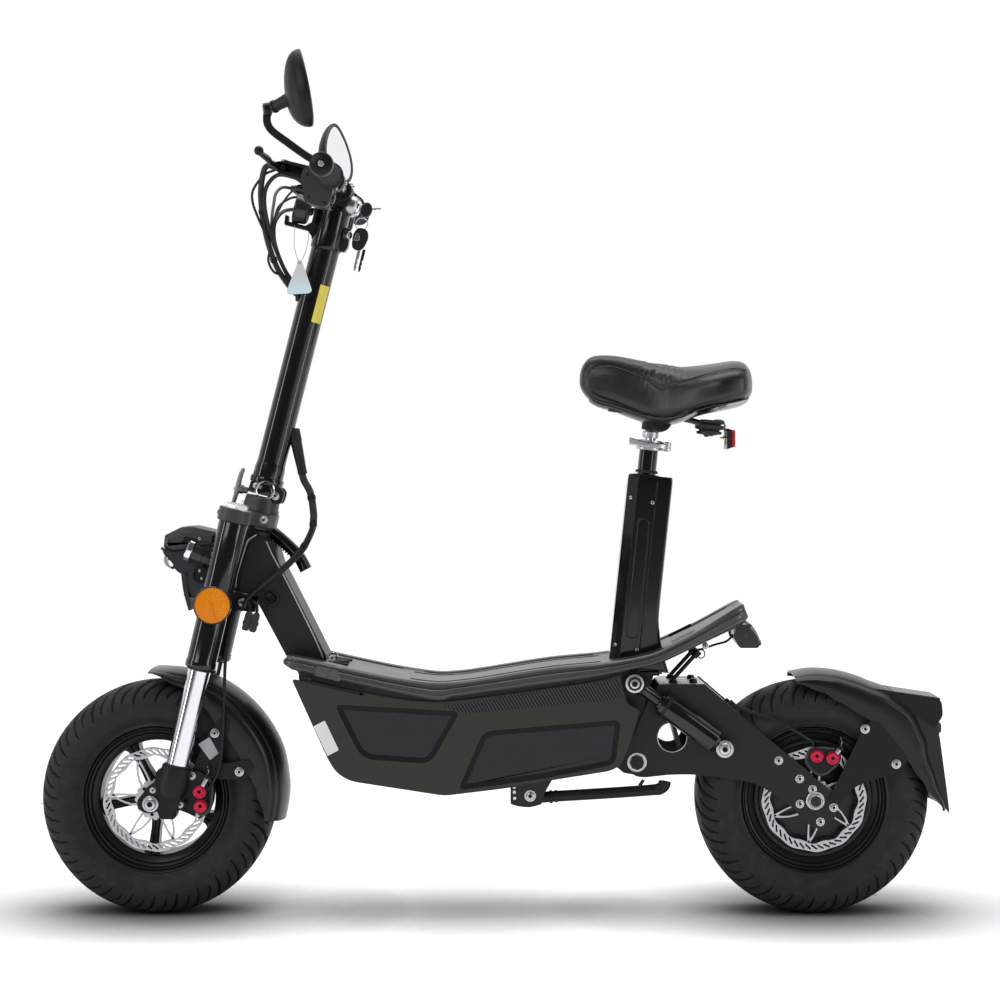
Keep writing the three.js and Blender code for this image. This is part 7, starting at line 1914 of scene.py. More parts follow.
def build_mirror_arm(side, word):
    """Bar-end hub with its screw, the bent flat arm and the ball joint with its nut."""
    m = Maker(COCKPIT)
    y = side * 320.8
    m.round((BAR_X, side * 312.4, BAR_Z), (0, side, 0),
            [(0, 14), (0.5, 16.4), (2, 17), (11.6, 17), (14.6, 15.8), (16.4, 12), (16.8, 7), (15.4, 6.0), (15.0, 5.2)],
            "satin_plastic", 64)
    m.round((BAR_X, side * 327.0, BAR_Z), (0, side, 0), [(0, 4.6), (1.8, 4.6), (2.2, 3.8)], "bright_bolt", 6)
    path = curve_through([(BAR_X, y, BAR_Z), (-20, y, 458), (-50, y, 469.6), (-74, y, 479.6), (-83.5, y, 488),
                          (-87, y, 498), (-87.4, y, 507)], 6)
    rings = []
    for i, point in enumerate(path):
        ahead = path[min(i + 1, len(path) - 1)] - path[max(i - 1, 0)]
        way = ahead.normalized()
        across = Vector((way.z, 0, -way.x))
        wide, deep = 5.4, 3.4
        rings.append([point + across * a * wide + Vector((0, 1, 0)) * b * deep for a, b in
                      ((-1, -0.6), (-0.8, -1), (0.8, -1), (1, -0.6), (1, 0.6), (0.8, 1), (-0.8, 1), (-1, 0.6))])
    m.loft(rings, "satin_plastic")
    m.ball((-87, y, 508), 7.4, "brushed_plate", 24)
    m.round((-87, y, 508), (0.9, -side * 0.2, 0.42), [(-7.6, 6.8), (-6.6, 9.4), (0, 9.8), (2.4, 9.0), (3, 7.6)],
            "satin_plastic", 36)
    return m.piece(f"mirror_stem_{word}", "column", (f"mirror_arm_{word}",), sharp=30)


def build_mirror(side, word):
    """Mirror head: egg-shaped shell with a soft bulge, rolled rim, recessed glass, and its neck."""
    x = -41.0 if side < 0 else -59.0
    place = COCKPIT @ Matrix.Translation((x, side * 343.0, 547.0)) @ Matrix.Rotation(
        -side * math.radians(12 if side < 0 else 31), 4, 'Z') @ Matrix.Rotation(-math.radians(24), 4, 'Y')
    m = Maker(place)

    def egg(share, depth, lower=0.0):
        out = []
        for a in turns(72):
            up = math.sin(a)
            wide = 40.0 * math.copysign(abs(math.cos(a)) ** 0.94, math.cos(a)) * (1.0 - 0.27 * up - 0.10 * up * up)
            out.append((depth, wide * share / 1.02, 54.0 * up * share - lower))
        return out

    shell = [egg(0.935, -1.7), egg(0.94, -0.2), egg(0.965, 0.0), egg(0.99, -0.8), egg(1.0, -3.0), egg(0.995, -5.4)]
    shell += [egg(s, -d, low) for s, d, low in ((0.965, 10.5, 0.4), (0.90, 15.5, 1.0), (0.80, 20.0, 2.0),
                                                (0.66, 24.0, 4.0), (0.48, 27.2, 6.0), (0.28, 29.2, 8.0),
                                                (0.1, 30.0, 9.0))]
    m.loft(shell, "satin_plastic")
    m.loft([egg(1.0, -1.2), egg(0.985, 0.7), egg(0.93, 0.9), egg(0.885, 0.4), egg(0.88, -0.8)], "housing_grey",
           caps=False)
    m.loft([egg(0.9, -2.4), egg(0.9, -0.6), egg(0.86, -0.4)], "mirror_glass")
    socket = place.inverted() @ (COCKPIT @ Vector((-87, side * 320.8, 508)))
    root = Vector((-18, 0, socket.z / 2))
    end = socket + (root - socket).normalized() * 8.5
    way = (end - root)
    m.round(root, way, [(0, 11), (way.length * 0.45, 8.8), (way.length * 0.7, 8.2), (way.length - 4.5, 8.0),
                        (way.length - 4, 9.2), (way.length - 0.4, 9.2), (way.length, 8.2)], "satin_plastic", 36)
    return m.piece(f"mirror_head_{word}", f"mirror_{word}", (f"mirror_{word}",), sharp=34)


def lay_cord(name, body, place, points, radius, finish, replaces=(), between=None, ties=()):
    """A free cable along a line; when it runs between two bodies it is laid on no body, with its points baked in
    place.
    """
    path = [Vector(p) for p in curve_through(points, 8)]
    m = Maker(place)
    m.tube(path, radius, finish, 16)
    for tie in ties:
        index = min(range(len(path)), key=lambda i: abs(i / (len(path) - 1) - tie))
        way = path[min(index + 1, len(path) - 1)] - path[max(index - 1, 0)]
        for push in (-2.4, 0, 2.4):
            m.round(path[index] + way.normalized() * push, way, [(-0.9, radius + 0.2), (-0.5, radius + 1.0),
                                                                (0.5, radius + 1.0), (0.9, radius + 0.2)],
                    "cable_rubber", 20)
    made = m.piece(name, None if between else body, replaces, sharp=40)
    if between:
        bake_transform(made)
    return made


COCKPIT_ROUTE = [
    (-86.9, -140, 452), (-94, -139.8, 451.2), (-101, -135, 442), (-101, -114, 412), (-92, -88, 376), (-78, -62, 342),
    (-60, -36, 312), (-40, -12, 292), (-28, -1, 283), (-18, 0, 281)]
HARNESS_UPPER = [(-366.6, 0, 498), (-363, -3, 484), (-352, -12, 464), (-346, -24, 434), (-345.6, -30, 421)]
HARNESS_LOWER = [
    (-426, -41.6, 317.6), (-425, -50, 319), (-418, -56, 326), (-400, -57, 340), (-378, -54, 360),
    (-358, -47, 384), (-347, -36, 408), (-345.6, -30, 421)]
HARNESS_BRANCH = [
    (-449, -58, 291), (-446, -66, 299), (-432, -70, 314), (-400, -68, 339), (-372, -62, 362), (-354, -52, 384),
    (-346, -40, 410), (-345, -33, 421)]
FRONT_HOSE_ROUTE = [
    (5, -69, -207.6), (6, -69.5, -240), (9, -70, -285), (22, -70.5, -350), (33, -71, -410), (36, -71, -440),
    (33, -71, -462), (27, -70.6, -478), (24, -68, -482)]
REAR_HOSE_ROUTE = [
    (288, -60.5, 151), (297, -60.8, 143), (318, -61.5, 134), (355, -62, 122.5), (386, -62, 105), (402, -60, 95),
    (411, -57, 89.5), (414, -54.7, 84.1)]


def build_cables():
    """Brake hoses, the cockpit loom with its loops and ties, and the harness at the steering."""
    lay_cord("front_hose", "fork_lower", STEERING, FRONT_HOSE_ROUTE, 2.5, "cable_rubber", ("front_brake_hose",))
    lay_cord("rear_hose", "swingarm", VEHICLE, REAR_HOSE_ROUTE, 2.5, "cable_rubber", ("rear_brake_hose",))
    lay_cord("loom_main", "column", COCKPIT, COCKPIT_ROUTE, 4.4, "cable_sheath", ("cockpit_cables",),
             ties=(0.42, 0.62, 0.84))
    runs = {
        "loom_left": ([(-34, -160, 434), (-52, -150, 441), (-80, -134, 440), (-93, -124, 420), (-92, -110, 396),
                       (-82, -86, 368), (-69, -60, 342), (-52, -34, 316), (-34, -13, 294), (-20, -6, 284)], 3.1),
        "loom_right": ([(-40, 150, 430), (-58, 130, 424), (-70, 70, 414), (-78, 10, 402), (-80, -34, 384),
                        (-78, -46, 366), (-70, -44, 344), (-54, -24, 318), (-34, -6, 296), (-20, 4, 286)], 3.0),
        "loom_horn": ([(-39, 3, 420), (-48, 0, 428), (-66, -16, 424), (-78, -50, 404), (-79, -58, 380),
                       (-76, -58, 358), (-66, -46, 338), (-50, -26, 314), (-34, -11, 297), (-20, -8, 290)], 1.9),
        "loop_outer": ([(-84, -137, 447), (-100, -128, 436), (-112, -118, 412), (-110, -106, 394), (-98, -92, 374),
                        (-84, -76, 354), (-75, -62, 336), (-73, -56, 318), (-63, -42, 305), (-50, -28, 303),
                        (-34, -14, 292), (-20, -10, 288)], 1.9),
        "loop_inner": ([(-34, -158, 426), (-50, -140, 424), (-62, -120, 410), (-72, -96, 388), (-78, -78, 368),
                        (-72, -58, 346), (-56, -38, 322), (-36, -20, 302), (-20, -14, 292)], 1.6),
        "brake_cable_right": (
            [(-95, 137, 451), (-104, 110, 446), (-104, 60, 430), (-96, 10, 410), (-88, -28, 386), (-80, -40, 362),
             (-68, -34, 336), (-48, -16, 310), (-30, -2, 292), (-20, 8, 284)], 2.5),
    }
    for name, (points, radius) in runs.items():
        lay_cord(name, "column", COCKPIT, points, radius, "cable_rubber")
    middle = VEHICLE @ Vector((-347, -30, 421))
    top = VEHICLE @ Vector((-366.6, 0, 498))
    low = VEHICLE @ Vector((-424, -52, 320))
    lay_cord("harness_upper", None, VEHICLE, HARNESS_UPPER, 5.6, "cable_sheath", ("steering_harness",),
             ("column", "steering", top, middle), ties=(0.55,))
    lay_cord("harness_lower", None, VEHICLE, HARNESS_LOWER, 5.0, "cable_sheath", (),
             ("frame", "steering", low, middle), ties=(0.72, 0.95))
    lay_cord("harness_branch", "steering", VEHICLE, HARNESS_BRANCH, 2.6, "cable_rubber")


def build_hang_tag():
    """Bare triangular tag with softened corners on its thin string loop."""
    m = Maker(COCKPIT)
    line = [(-30.4, 331), (-36.6, 281), (-33, 276.4), (-2, 286.4), (1, 291.4), (-25, 331)]
    m.plate(rounded(line, [3, 3, 3, 3, 3, 3], 3), -46, -45.4, "hang_tag")
    m.plate(rounded([(-31.0, 331), (-31.6, 326), (-24.4, 325), (-25, 331)], 2, 2), -46.4, -45.0, "grey_label")
    for path in ([(-28, -45.6, 329), (-36, -44, 338), (-45, -34, 356), (-51, -20, 378), (-54, -10, 383)],
                 [(-28, -45.6, 329), (-25, -44, 336), (-24, -38, 350), (-26, -26, 364), (-30, -10, 379)]):
        m.tube(curve_through(path, 6), 0.55, "grey_label", 6)
    return m.piece("hang_tag_bare", "column", sharp=30)


def smooth_share(shares, t):
    """A value on one smooth curve through the entries of a table."""
    place = min(max(t, 0.0), 1.0) * (len(shares) - 1)
    i = min(int(place), len(shares) - 2)
    rest = place - i
    a = shares[max(i - 1, 0)]
    b, c = shares[i], shares[i + 1]
    d = shares[min(i + 2, len(shares) - 1)]
    return 0.5 * (2 * b + (c - a) * rest + (2 * a - 5 * b + 4 * c - d) * rest ** 2
                  + (3 * b - a - 3 * c + d) * rest ** 3)


SADDLE_TOP = [0.92, 0.985, 0.983, 0.941, 0.887, 0.84, 0.803, 0.823, 0.862, 0.90, 0.86]
SADDLE_LOW = [0.42, 0.28, 0.204, 0.112, 0.028, 0.0, 0.06, 0.15, 0.205, 0.257, 0.33]
SADDLE_WIDTH = [0.19, 0.25, 0.30, 0.335, 0.40, 0.54, 0.75, 0.92, 1.0, 0.96, 0.84]


def saddle_point(t, angle):
    """A point of the saddle's skin from its share along the length and its angle round the section."""
    half = 109 * smooth_share(SADDLE_WIDTH, t)
    top = 570 + 107 * smooth_share(SADDLE_TOP, t)
    low = 570 + 107 * smooth_share(SADDLE_LOW, t)
    past = max((0.075 - t) / 0.075, (t - 0.925) / 0.075, 0.0)
    closing = (1 - min(past, 0.999) ** 2.3) ** (1 / 2.3)
    middle = low + (top - low) * 0.4
    half, top, low = half * closing, middle + (top - middle) * closing, middle - (middle - low) * closing
    across, up = math.cos(angle), math.sin(angle)
    y = half * math.copysign(abs(across) ** 0.8, across)
    z = middle + (top - middle) * up ** 0.74 if up > 0 else middle - (middle - low) * (-up) ** 0.5
    return Vector((61.0 + 263.5 * t, y, z))


SADDLE_SEAMS = [
    [(0.03, 0.15), (0.07, 0.48), (0.15, 0.66), (0.27, 0.60), (0.38, 0.44), (0.455, 0.22)],
    [(0.03, -0.1), (0.08, -0.26), (0.15, -0.38), (0.26, -0.50), (0.38, -0.60), (0.455, -0.72)],
    [(0.455, 0.22), (0.54, 0.36), (0.66, 0.50), (0.80, 0.60), (0.90, 0.56), (0.965, 0.40)],
    [(0.56, -0.74), (0.64, -0.60), (0.74, -0.50), (0.86, -0.44), (0.95, -0.40), (0.98, -0.36)],
]
SADDLE_GRID = (48, 56)
COVER_PRESSURE = 4.0
COVER_FRAMES = 20
COVER_PUSH = 4.0


def swollen_cover():
    """How far the foam pushes the cover out, from a cloth run with inner pressure on a coarse skin."""
    along, around = SADDLE_GRID
    still = [[Vector((0, 0, 0)) for _ in range(around)] for _ in range(along + 1)]
    rest = [[saddle_point(i / along, 2 * math.pi * (k + 0.5) / around) * 0.001 for k in range(around)]
            for i in range(along + 1)]
    mesh = bpy.data.meshes.new("cover_blank")
    faces = [(i * around + k, i * around + (k + 1) % around, (i + 1) * around + (k + 1) % around,
              (i + 1) * around + k) for i in range(along) for k in range(around)]
    faces += [tuple(range(around))[::-1], tuple(along * around + k for k in range(around))]
    mesh.from_pydata([p for row in rest for p in row], [], faces)
    blank = bpy.data.objects.new("cover_blank", mesh)
    bpy.context.scene.collection.objects.link(blank)
    held = blank.vertex_groups.new(name="sewn")
    for i in range(along + 1):
        for k in range(around):
            up = math.sin(2 * math.pi * (k + 0.5) / around)
            if up < -0.72 or i in (0, along):
                held.add([i * around + k], 1.0, 'REPLACE')
    cloth = blank.modifiers.new("Cloth", 'CLOTH')
    cloth.settings.vertex_group_mass = "sewn"
    cloth.settings.use_pressure = True
    cloth.settings.uniform_pressure_force = COVER_PRESSURE
    cloth.settings.effector_weights.gravity = 0.0
    cloth.settings.quality = 6
    cloth.settings.tension_stiffness = 25.0
    cloth.settings.compression_stiffness = 25.0
    cloth.settings.bending_stiffness = 2.0
    cloth.point_cache.frame_end = COVER_FRAMES
    scene = bpy.context.scene
    for number in range(1, COVER_FRAMES + 1):
        scene.frame_set(number)
    shaped = blank.evaluated_get(bpy.context.evaluated_depsgraph_get()).data
    if len(shaped.vertices) != (along + 1) * around:
        raise RuntimeError("the cloth run changed the cover's points")
    for i in range(along + 1):
        for k in range(around):
            push = (shaped.vertices[i * around + k].co - rest[i][k]) * 1000
            still[i][k] = push * min(1.0, COVER_PUSH / max(push.length, 1e-6))
    scene.frame_set(1)
    bpy.data.objects.remove(blank)
    bpy.data.meshes.remove(mesh)
    return still


def blended(grid, t, angle):
    """A value between the points of the coarse skin."""
    along, around = SADDLE_GRID
    a = min(max(t, 0.0), 0.9999) * along
    b = (angle / (2 * math.pi) * around - 0.5) % around
    i, k = int(a), int(b)
    u, v = a - i, b - k
    left = grid[i][k].lerp(grid[i][(k + 1) % around], v)
    right = grid[i + 1][k].lerp(grid[i + 1][(k + 1) % around], v)
    return left.lerp(right, u)


def saddle_skin():
    """Grid of points of the cover with sewn seams pressed in and wrinkles in its waist."""
    around = 208
    depth = sizes().seam_depth * 1000
    seams = [curve_through(line, 12) for line in SADDLE_SEAMS]
    push = swollen_cover()
    steps = [0.5 - 0.5 * math.cos(math.pi * i / 44) for i in range(45)]
    places = sorted({*[round(0.0002 + 0.16 * s / 2, 5) for s in steps], *[i / 190 for i in range(15, 177)],
                     *[round(0.9998 - 0.16 * s / 2, 5) for s in steps]})
    grid = []
    for t in places:
        near = [[p for p in seam if abs(p.x - t) < 0.02] for seam in seams]
        ring = []
        centre = saddle_point(t, math.pi / 2).lerp(saddle_point(t, -math.pi / 2), 0.5)
        for k in range(around):
            angle = 2 * math.pi * (k + 0.5) / around
            point = saddle_point(t, angle)
            fold = math.asin(max(-1.0, min(1.0, math.sin(angle))))
            best = min((math.hypot((p.x - t) * 264, (fold - p.y) * 62) for points in near for p in points),
                       default=99.0)
            press = depth * max(0.0, 1 - best / 3.6) ** 1.4
            puff = 1.3 * min(1.0, best / 24.0)
            creases = 0.0
            if 0.30 < t < 0.66 and math.sin(angle) > 0.1:
                strength = math.sin(math.pi * (t - 0.30) / 0.36) * min(1.0, (math.sin(angle) - 0.1) * 2.0)
                swing = 0.35 * abs(math.cos(angle))
                wave = noise.noise(Vector((t * 30 + swing * 9, (1 - abs(math.cos(angle))) * 2.2, 4.2)))
                fine = noise.noise(Vector((t * 74 + swing * 16, (1 - abs(math.cos(angle))) * 4.0, 9.1)))
                creases = strength * (2.6 * (abs(wave) ** 0.6 - 0.45) + 0.9 * abs(fine))
            out = (point - centre).normalized()
            bound = min(1.0, past_end(t) * 8)
            ring.append(point + out * (puff - press - 1.3 + creases) * bound + blended(push, t, angle) * 0.6 * bound)
        grid.append(ring)
    return grid, seams


def past_end(t):
    """How far a place lies from the nearer end of the saddle, as a share."""
    return min(t, 1 - t)


def sew_saddle(seams):
    """Two rows of stitches beside the pressed seams of the cover."""
    m = Maker()
    pitch = sizes().stitch_pitch * 1000
    steps = 6
    for seam in [[p for p in seam if 0.07 < p.x < 0.95] for seam in seams[:3]]:
        for side in (-1, 1):
            for lift in (-0.052, 0.052):
                last = None
                for a, b in zip(seam, seam[1:]):
                    for s in range(steps):
                        q = a.lerp(b, s / steps)
                        angle = q.y + lift
                        if side < 0:
                            angle = math.pi - angle
                        point = saddle_point(min(0.985, max(0.02, q.x)), angle)
                        if last is None:
                            last = point
                            continue
                        if (point - last).length >= pitch:
                            way = (point - last).normalized()
                            out = Vector((0, math.copysign(1, point.y), 0.8)).normalized() * 0.35
                            m.tube([last + way * 0.5 + out * 0.4, last.lerp(point, 0.5) + out * 2.2,
                                    point - way * 0.5 + out * 0.4], 0.42, "thread", 6)
                            last = point
    m.piece("saddle_stitches", "seat")


def trim_saddle():
    """Gloss strip around the rear of the cover."""
    m = Maker()
    for side in (-1, 1):
        rows = []
        for i in range(34):
            q = 0.56 + 0.40 * i / 33.0
            taper = min(1.0, i / 7.0, (33 - i) / 3.0)
            rows.append([])
            for a in (0.0, 0.2, 0.4, 0.6, 0.8, 1.0):
                angle = -0.86 + (0.30 - 0.5 * a) * taper
                angle = angle if side > 0 else math.pi - angle
                point = saddle_point(q, angle)
                rows[-1].append(point + Vector((0, side * (0.6 + 1.2 * math.sin(math.pi * a)), -0.35)))
        m.loft(rows, "fork_gloss", loop=False, caps=False)
    strip = m.piece("saddle_rear_strip", "seat", sharp=60)
    strip.modifiers.new("Thickness", 'SOLIDIFY').thickness = 0.0012


def carry_saddle():
    """Pan that closes the cover from below."""
    m = Maker()
    rows = []
    for i in range(40):
        q = 0.06 + 0.90 * i / 39.0
        ring = []
        for k in range(14):
            a = -math.pi * (0.16 + 0.68 * k / 13.0)
            p = saddle_point(q, a)
            ring.append((p.x, p.y * 0.93, p.z - 1.4))
        rows.append(ring)
    m.loft(rows, "lamp_black", loop=False, caps=False)
    pan = m.piece("saddle_pan", "seat", sharp=50)
    pan.modifiers.new("Thickness", 'SOLIDIFY').thickness = 0.0016


def build_saddle():
    """Saddle: sewn cover over foam, with pressed seams, wrinkles, two rows of stitches and a gloss rear strip."""
    m = Maker()
    grid, seams = saddle_skin()
    m.loft(grid, "saddle_leather")
    cover = m.piece("saddle_cover", "seat", ("saddle",), sharp=70)
    sew_saddle(seams)
    trim_saddle()
    carry_saddle()


def build_saddle_carrier():
    """Saddle clamp, rails, elastomer springs, and the wire bracket with the red rear reflector."""
    m = Maker(SEAT)
    m.round((POST_X, 0, 368), (0, 0, 1), [(0, 11.5), (0.6, 14.4), (1.6, 15), (24, 15), (27, 13.6), (28, 9.6)],
            "satin_plastic", 44)
    for side in (-1, 1):
        disc = [(6 + 17.5 * math.cos(math.radians(a)), 384 + 17.5 * math.sin(math.radians(a))) for a in
                range(170, 371, 10)]
        m.plate([(-11, 393), *disc, (23, 393)], side * 17.5, side * 24.0, "lamp_black")
        m.plate(inset([(-11, 393), *disc, (23, 393)], 3.4), side * 23.6, side * 25.2, "satin_plastic")
        m.bolt((6, side * 25.0, 383), (0, side, 0), 4.6, "dark_steel")
        for k in range(5):
            m.tube([(k * 3.2, side * 25.2, 377), (k * 3.2, side * 25.4, 389)], 0.7, "dark_steel", 6)
        path = curve_through([(-74, side * 14, 394), (-60, side * 18, 393), (-30, side * 22, 392),
                              (20, side * 22, 391.6), (56, side * 26, 389), (76, side * 34, 384),
                              (83, side * 44, 380)], 5)
        m.tube(path, 3.6, "dark_steel", 14)
        m.round((83, side * 46, 371), (0, 0, 1), [
            (0, 12), (0.6, 15.6), (3.6, 16.4), (4.6, 15), (5.4, 12.4), (6.6, 12.0), (7.4, 15), (8.6, 19), (13, 19.4),
            (14.2, 16), (15, 12.6), (16.2, 16.6), (18, 18.2), (20.4, 18.4), (21, 15)], "grip_rubber", 44)
        m.bolt((83, side * 46, 371), (0, 0, -1), 4.0, "dark_steel")
    m.tube([(83, -46, 377), (83, 46, 377)], 4.0, "dark_steel", 14)
    m.block((78, -40, 379), (88, 40, 383.4), "satin_plastic")
    m.place = VEHICLE
    wire = curve_through([(262, 0, 573), (272, 0, 575.5), (281.5, 0, 574), (285.0, 0, 568), (285.2, 0, 552),
                          (285, 0, 538)], 5)
    m.tube(wire, 1.9, "bright_bolt", 12)
    m.plate(rounded([(285.5, 531), (293.6, 534), (293.6, 561), (285.5, 563.5)], 1.6, 2), -29, 29, "lamp_black")
    m.plate(rounded([(293.2, 533.6), (298.4, 535.0), (298.4, 560), (293.2, 561.4)], 1.4, 2), -27.6, 27.6, "red_lens")
    m.round((286.5, 0, 549), (-1, 0, 0), [(0, 5.6), (1.0, 5.6), (1.4, 3.4), (4.6, 3.2), (5.0, 1.6), (9, 1.4)],
            "brass", 6)
    return m.piece("saddle_mount", "seat", ("saddle_carrier",), bevel=0.4, sharp=34)


def build_seat_post():
    """Chromed seat post."""
    m = Maker(SEAT)
    m.round((POST_X, 0, 200), (0, 0, 1), [(0, 8), (0.8, 9), (183, 9), (184, 8.4)], "chrome", 56)
    m.round((POST_X, 0, 356), (0, 0, 1), [(0, 9.4), (0.8, 12.6), (9, 12.6), (10, 11.6), (10.4, 9.4)],
            "bright_bolt", 48)
    return m.piece("seat_post_chromed", "seat", ("seat_post",), sharp=34)


def build_clamp_lever():
    """Quick-release lever: cam barrel and curved flat lever, with its bolt and nut as a piece of the frame."""
    bolt = Maker(SEAT)
    bolt.round((20, -4, 345), (0, -1, 0), [(0, 4), (8, 4)], "dark_steel", 20)
    bolt.hexagon((20, 9, 345), (0, 1, 0), 5.2, 5.0)
    bolt.piece("clamp_bolt", "frame", bevel=0.3, sharp=34)
    m = Maker(SEAT)
    m.round((20, -12, 338.6), (0, 0, 1), [(0, 6.2), (0.6, 7), (12.4, 7), (13, 6.2)], "bright_bolt", 32)
    m.round((20, -12, 337.8), (0, 0, 1), [(0, 3.2), (14.6, 3.2)], "dark_steel", 16)
    path = curve_through([(20, -15, 345), (10, -20.4, 345), (-6, -22.6, 345.4), (-20, -22.4, 346.4),
                          (-30, -20.6, 347.4), (-38, -18.8, 348)], 6)
    rings = []
    for i, point in enumerate(path):
        q = i / (len(path) - 1)
        ahead = path[min(i + 1, len(path) - 1)] - path[max(i - 1, 0)]
        side = Vector((ahead.y, -ahead.x, 0)).normalized()
        tall = 4.6 - 1.4 * math.sin(math.pi * q) + 1.2 * q
        rings.append([point + side * 1.9 * a + Vector((0, 0, tall * b)) for a, b in
                      ((-1, -0.7), (-0.5, -1), (0.5, -1), (1, -0.7), (1, 0.7), (0.5, 1), (-0.5, 1), (-1, 0.7))])
    m.loft(rings, "bright_bolt")
    return m.piece("clamp_lever_curved", "seat_clamp_lever", ("seat_clamp_lever",), bevel=0.3, sharp=34)


def floor_finish():
    """Pale floor: its diffuse part takes the object's real shadow, and its white glow for the camera is dimmed by
    ambient occlusion near the object, which paints a dark contact shadow under the wheels.
    """
    f = Finish("floor_white", 0.7, specular=0.1)
    f.patina((0.88, 0.88, 0.88), 0.02, 2.0, 0.7, 0.1)
    f.bump(f.noise(4.0, 2.0, f.place()), 0.02, 0.001)
    path = f.node('ShaderNodeLightPath')
    seen = f.math('MAXIMUM', path.outputs['Is Camera Ray'], f.math(
        'MAXIMUM', path.outputs['Is Glossy Ray'], path.outputs['Is Transmission Ray']))
    # Ambient occlusion dims the camera's glow near the object: a painted contact shadow under the wheels.
    near = f.node('ShaderNodeAmbientOcclusion', {'Distance': 0.25}, samples=16)
    open_share = f.math('POWER', near.outputs['AO'], 4.0)
    glow = f.node('ShaderNodeEmission', {'Color': (1.0, 1.0, 1.0, 1.0), 'Strength': f.math(
        'MULTIPLY', f.math('MULTIPLY', seen, open_share), 1.25)})
    both = f.node('ShaderNodeMixShader', {0: f.math('MULTIPLY', seen, 0.9)})
    f.feed(both.inputs[1], f.shader.outputs[0])
    f.feed(both.inputs[2], glow.outputs[0])
    f.feed(f.tree.nodes["Material Output"].inputs['Surface'], both.outputs[0])
    return f.material


def studio_world():
    """White behind the object, and a darker studio on the side of the camera for reflections."""
    world = bpy.data.worlds.new("studio_white")
    world.use_nodes = True
    r = Recipe(world.node_tree)
    background = r.tree.nodes["Background"]
    background.inputs["Color"].default_value = (1.0, 1.0, 1.0, 1.0)
    path = r.node('ShaderNodeLightPath')
    split = r.node('ShaderNodeSeparateXYZ', {0: r.node('ShaderNodeTexCoord').outputs['Generated']})
    room = r.ramp(split.outputs[1], -0.4, 0.4, 0.09, 1.0)
    seen = r.math('MAXIMUM', path.outputs['Is Camera Ray'], path.outputs['Is Transmission Ray'])
    mirrored = r.math('MULTIPLY', path.outputs['Is Glossy Ray'], room)
    ambient = r.math('MULTIPLY', path.outputs['Is Diffuse Ray'], 0.42)
    r.feed(background.inputs["Strength"], r.math('ADD', r.math('MAXIMUM', seen, mirrored), ambient))
    return world


CAMERA_PLACE = (0.072, -3.4, 0.692)
CAMERA_SHIFT = (-0.04, -0.04)


def build_stage():
    """Pale floor, camera and soft studio light."""
    scene = bpy.context.scene
    half = sizes().floor_width / 2
    mesh = bpy.data.meshes.new("studio_floor")
    mesh.from_pydata([(-half, -half, 0), (half, -half, 0), (half, half, 0), (-half, half, 0)], [], [(0, 1, 2, 3)])
    floor = bpy.data.objects.new("studio_floor", mesh)
    scene.collection.objects.link(floor)
    mesh.materials.append(floor_finish())
    camera = bpy.data.objects.new("studio_camera", bpy.data.cameras.new("studio_camera"))
    camera.data.lens = sizes().lens
    camera.data.sensor_width = 36.0
    camera.data.shift_x, camera.data.shift_y = CAMERA_SHIFT
    camera.data.clip_end = 60.0
    camera.location = CAMERA_PLACE
    camera.rotation_euler = (math.pi / 2, 0, 0)
    scene.collection.objects.link(camera)
    scene.camera = camera
    key = sizes().lamp_power
    for name, place, target, width, height, power in (
            ("key_softbox", (-1.7, -2.5, 2.5), (0, 0, 0.5), 1.5, 1.5, key),
            ("fill_softbox", (2.7, -1.9, 1.7), (0, 0, 0.5), 0.9, 1.8, key * 0.5),
            ("top_softbox", (0.0, 0.2, 3.0), (0, 0, 0.6), 2.6, 1.2, key * 1.1),
            ("strip_left", (-2.4, -1.0, 1.0), (0, 0, 0.6), 0.25, 1.8, key * 0.4),
            ("strip_right", (2.2, -1.4, 0.8), (0, 0, 0.5), 0.2, 1.6, key * 0.25)):
        data = bpy.data.lights.new(name, 'AREA')
        data.shape = 'RECTANGLE'
        data.size, data.size_y, data.energy = width, height, power
        made = bpy.data.objects.new(name, data)
        made.location = place
        made.rotation_euler = (Vector(target) - Vector(place)).to_track_quat('-Z', 'Y').to_euler()
        scene.collection.objects.link(made)
    scene.world = studio_world()
    scene.view_settings.view_transform = 'Standard'


SIDES = ((-1, "left"), (1, "right"))


class SCOOTER_OT_stage(Operator):
    """Pale floor, camera and soft lamps."""
    bl_idname = "scooter.stage"
    bl_label = "Stage"

    def execute(self, context):
        build_stage()
        return {'FINISHED'}


class SCOOTER_OT_kept_solids(Operator):
    """Finishes of the frame, battery case and controller case."""
    bl_idname = "scooter.kept_solids"
    bl_label = "Frame and cases"

    def execute(self, context):
        for node, finish, slot, width in KEPT_SOLIDS:
            dress_solid(node, finish, width)
        return {'FINISHED'}


class SCOOTER_OT_tyres(Operator):
    """Both road tyres."""
    bl_idname = "scooter.tyres"
    bl_label = "Tyres"

    def execute(self, context):
        build_tyre("front_tyre_tread", "front_wheel", "front_tyre", FRONT_AXLE)
        build_tyre("rear_tyre_tread", "rear_wheel", "rear_tyre", REAR_AXLE)
        return {'FINISHED'}


class SCOOTER_OT_rims(Operator):
    """Front rim and rear hub motor."""
    bl_idname = "scooter.rims"
    bl_label = "Rims"

    def execute(self, context):
        build_front_rim()
        build_hub_motor()
        return {'FINISHED'}


class SCOOTER_OT_discs(Operator):
    """Both wave brake discs."""
    bl_idname = "scooter.discs"
    bl_label = "Brake discs"

    def execute(self, context):
        build_disc("front_disc_wave", "front_wheel", "front_brake_disc", FRONT_AXLE, 0.3)
        build_disc("rear_disc_wave", "rear_wheel", "rear_brake_disc", REAR_AXLE, 0.8)
        return {'FINISHED'}


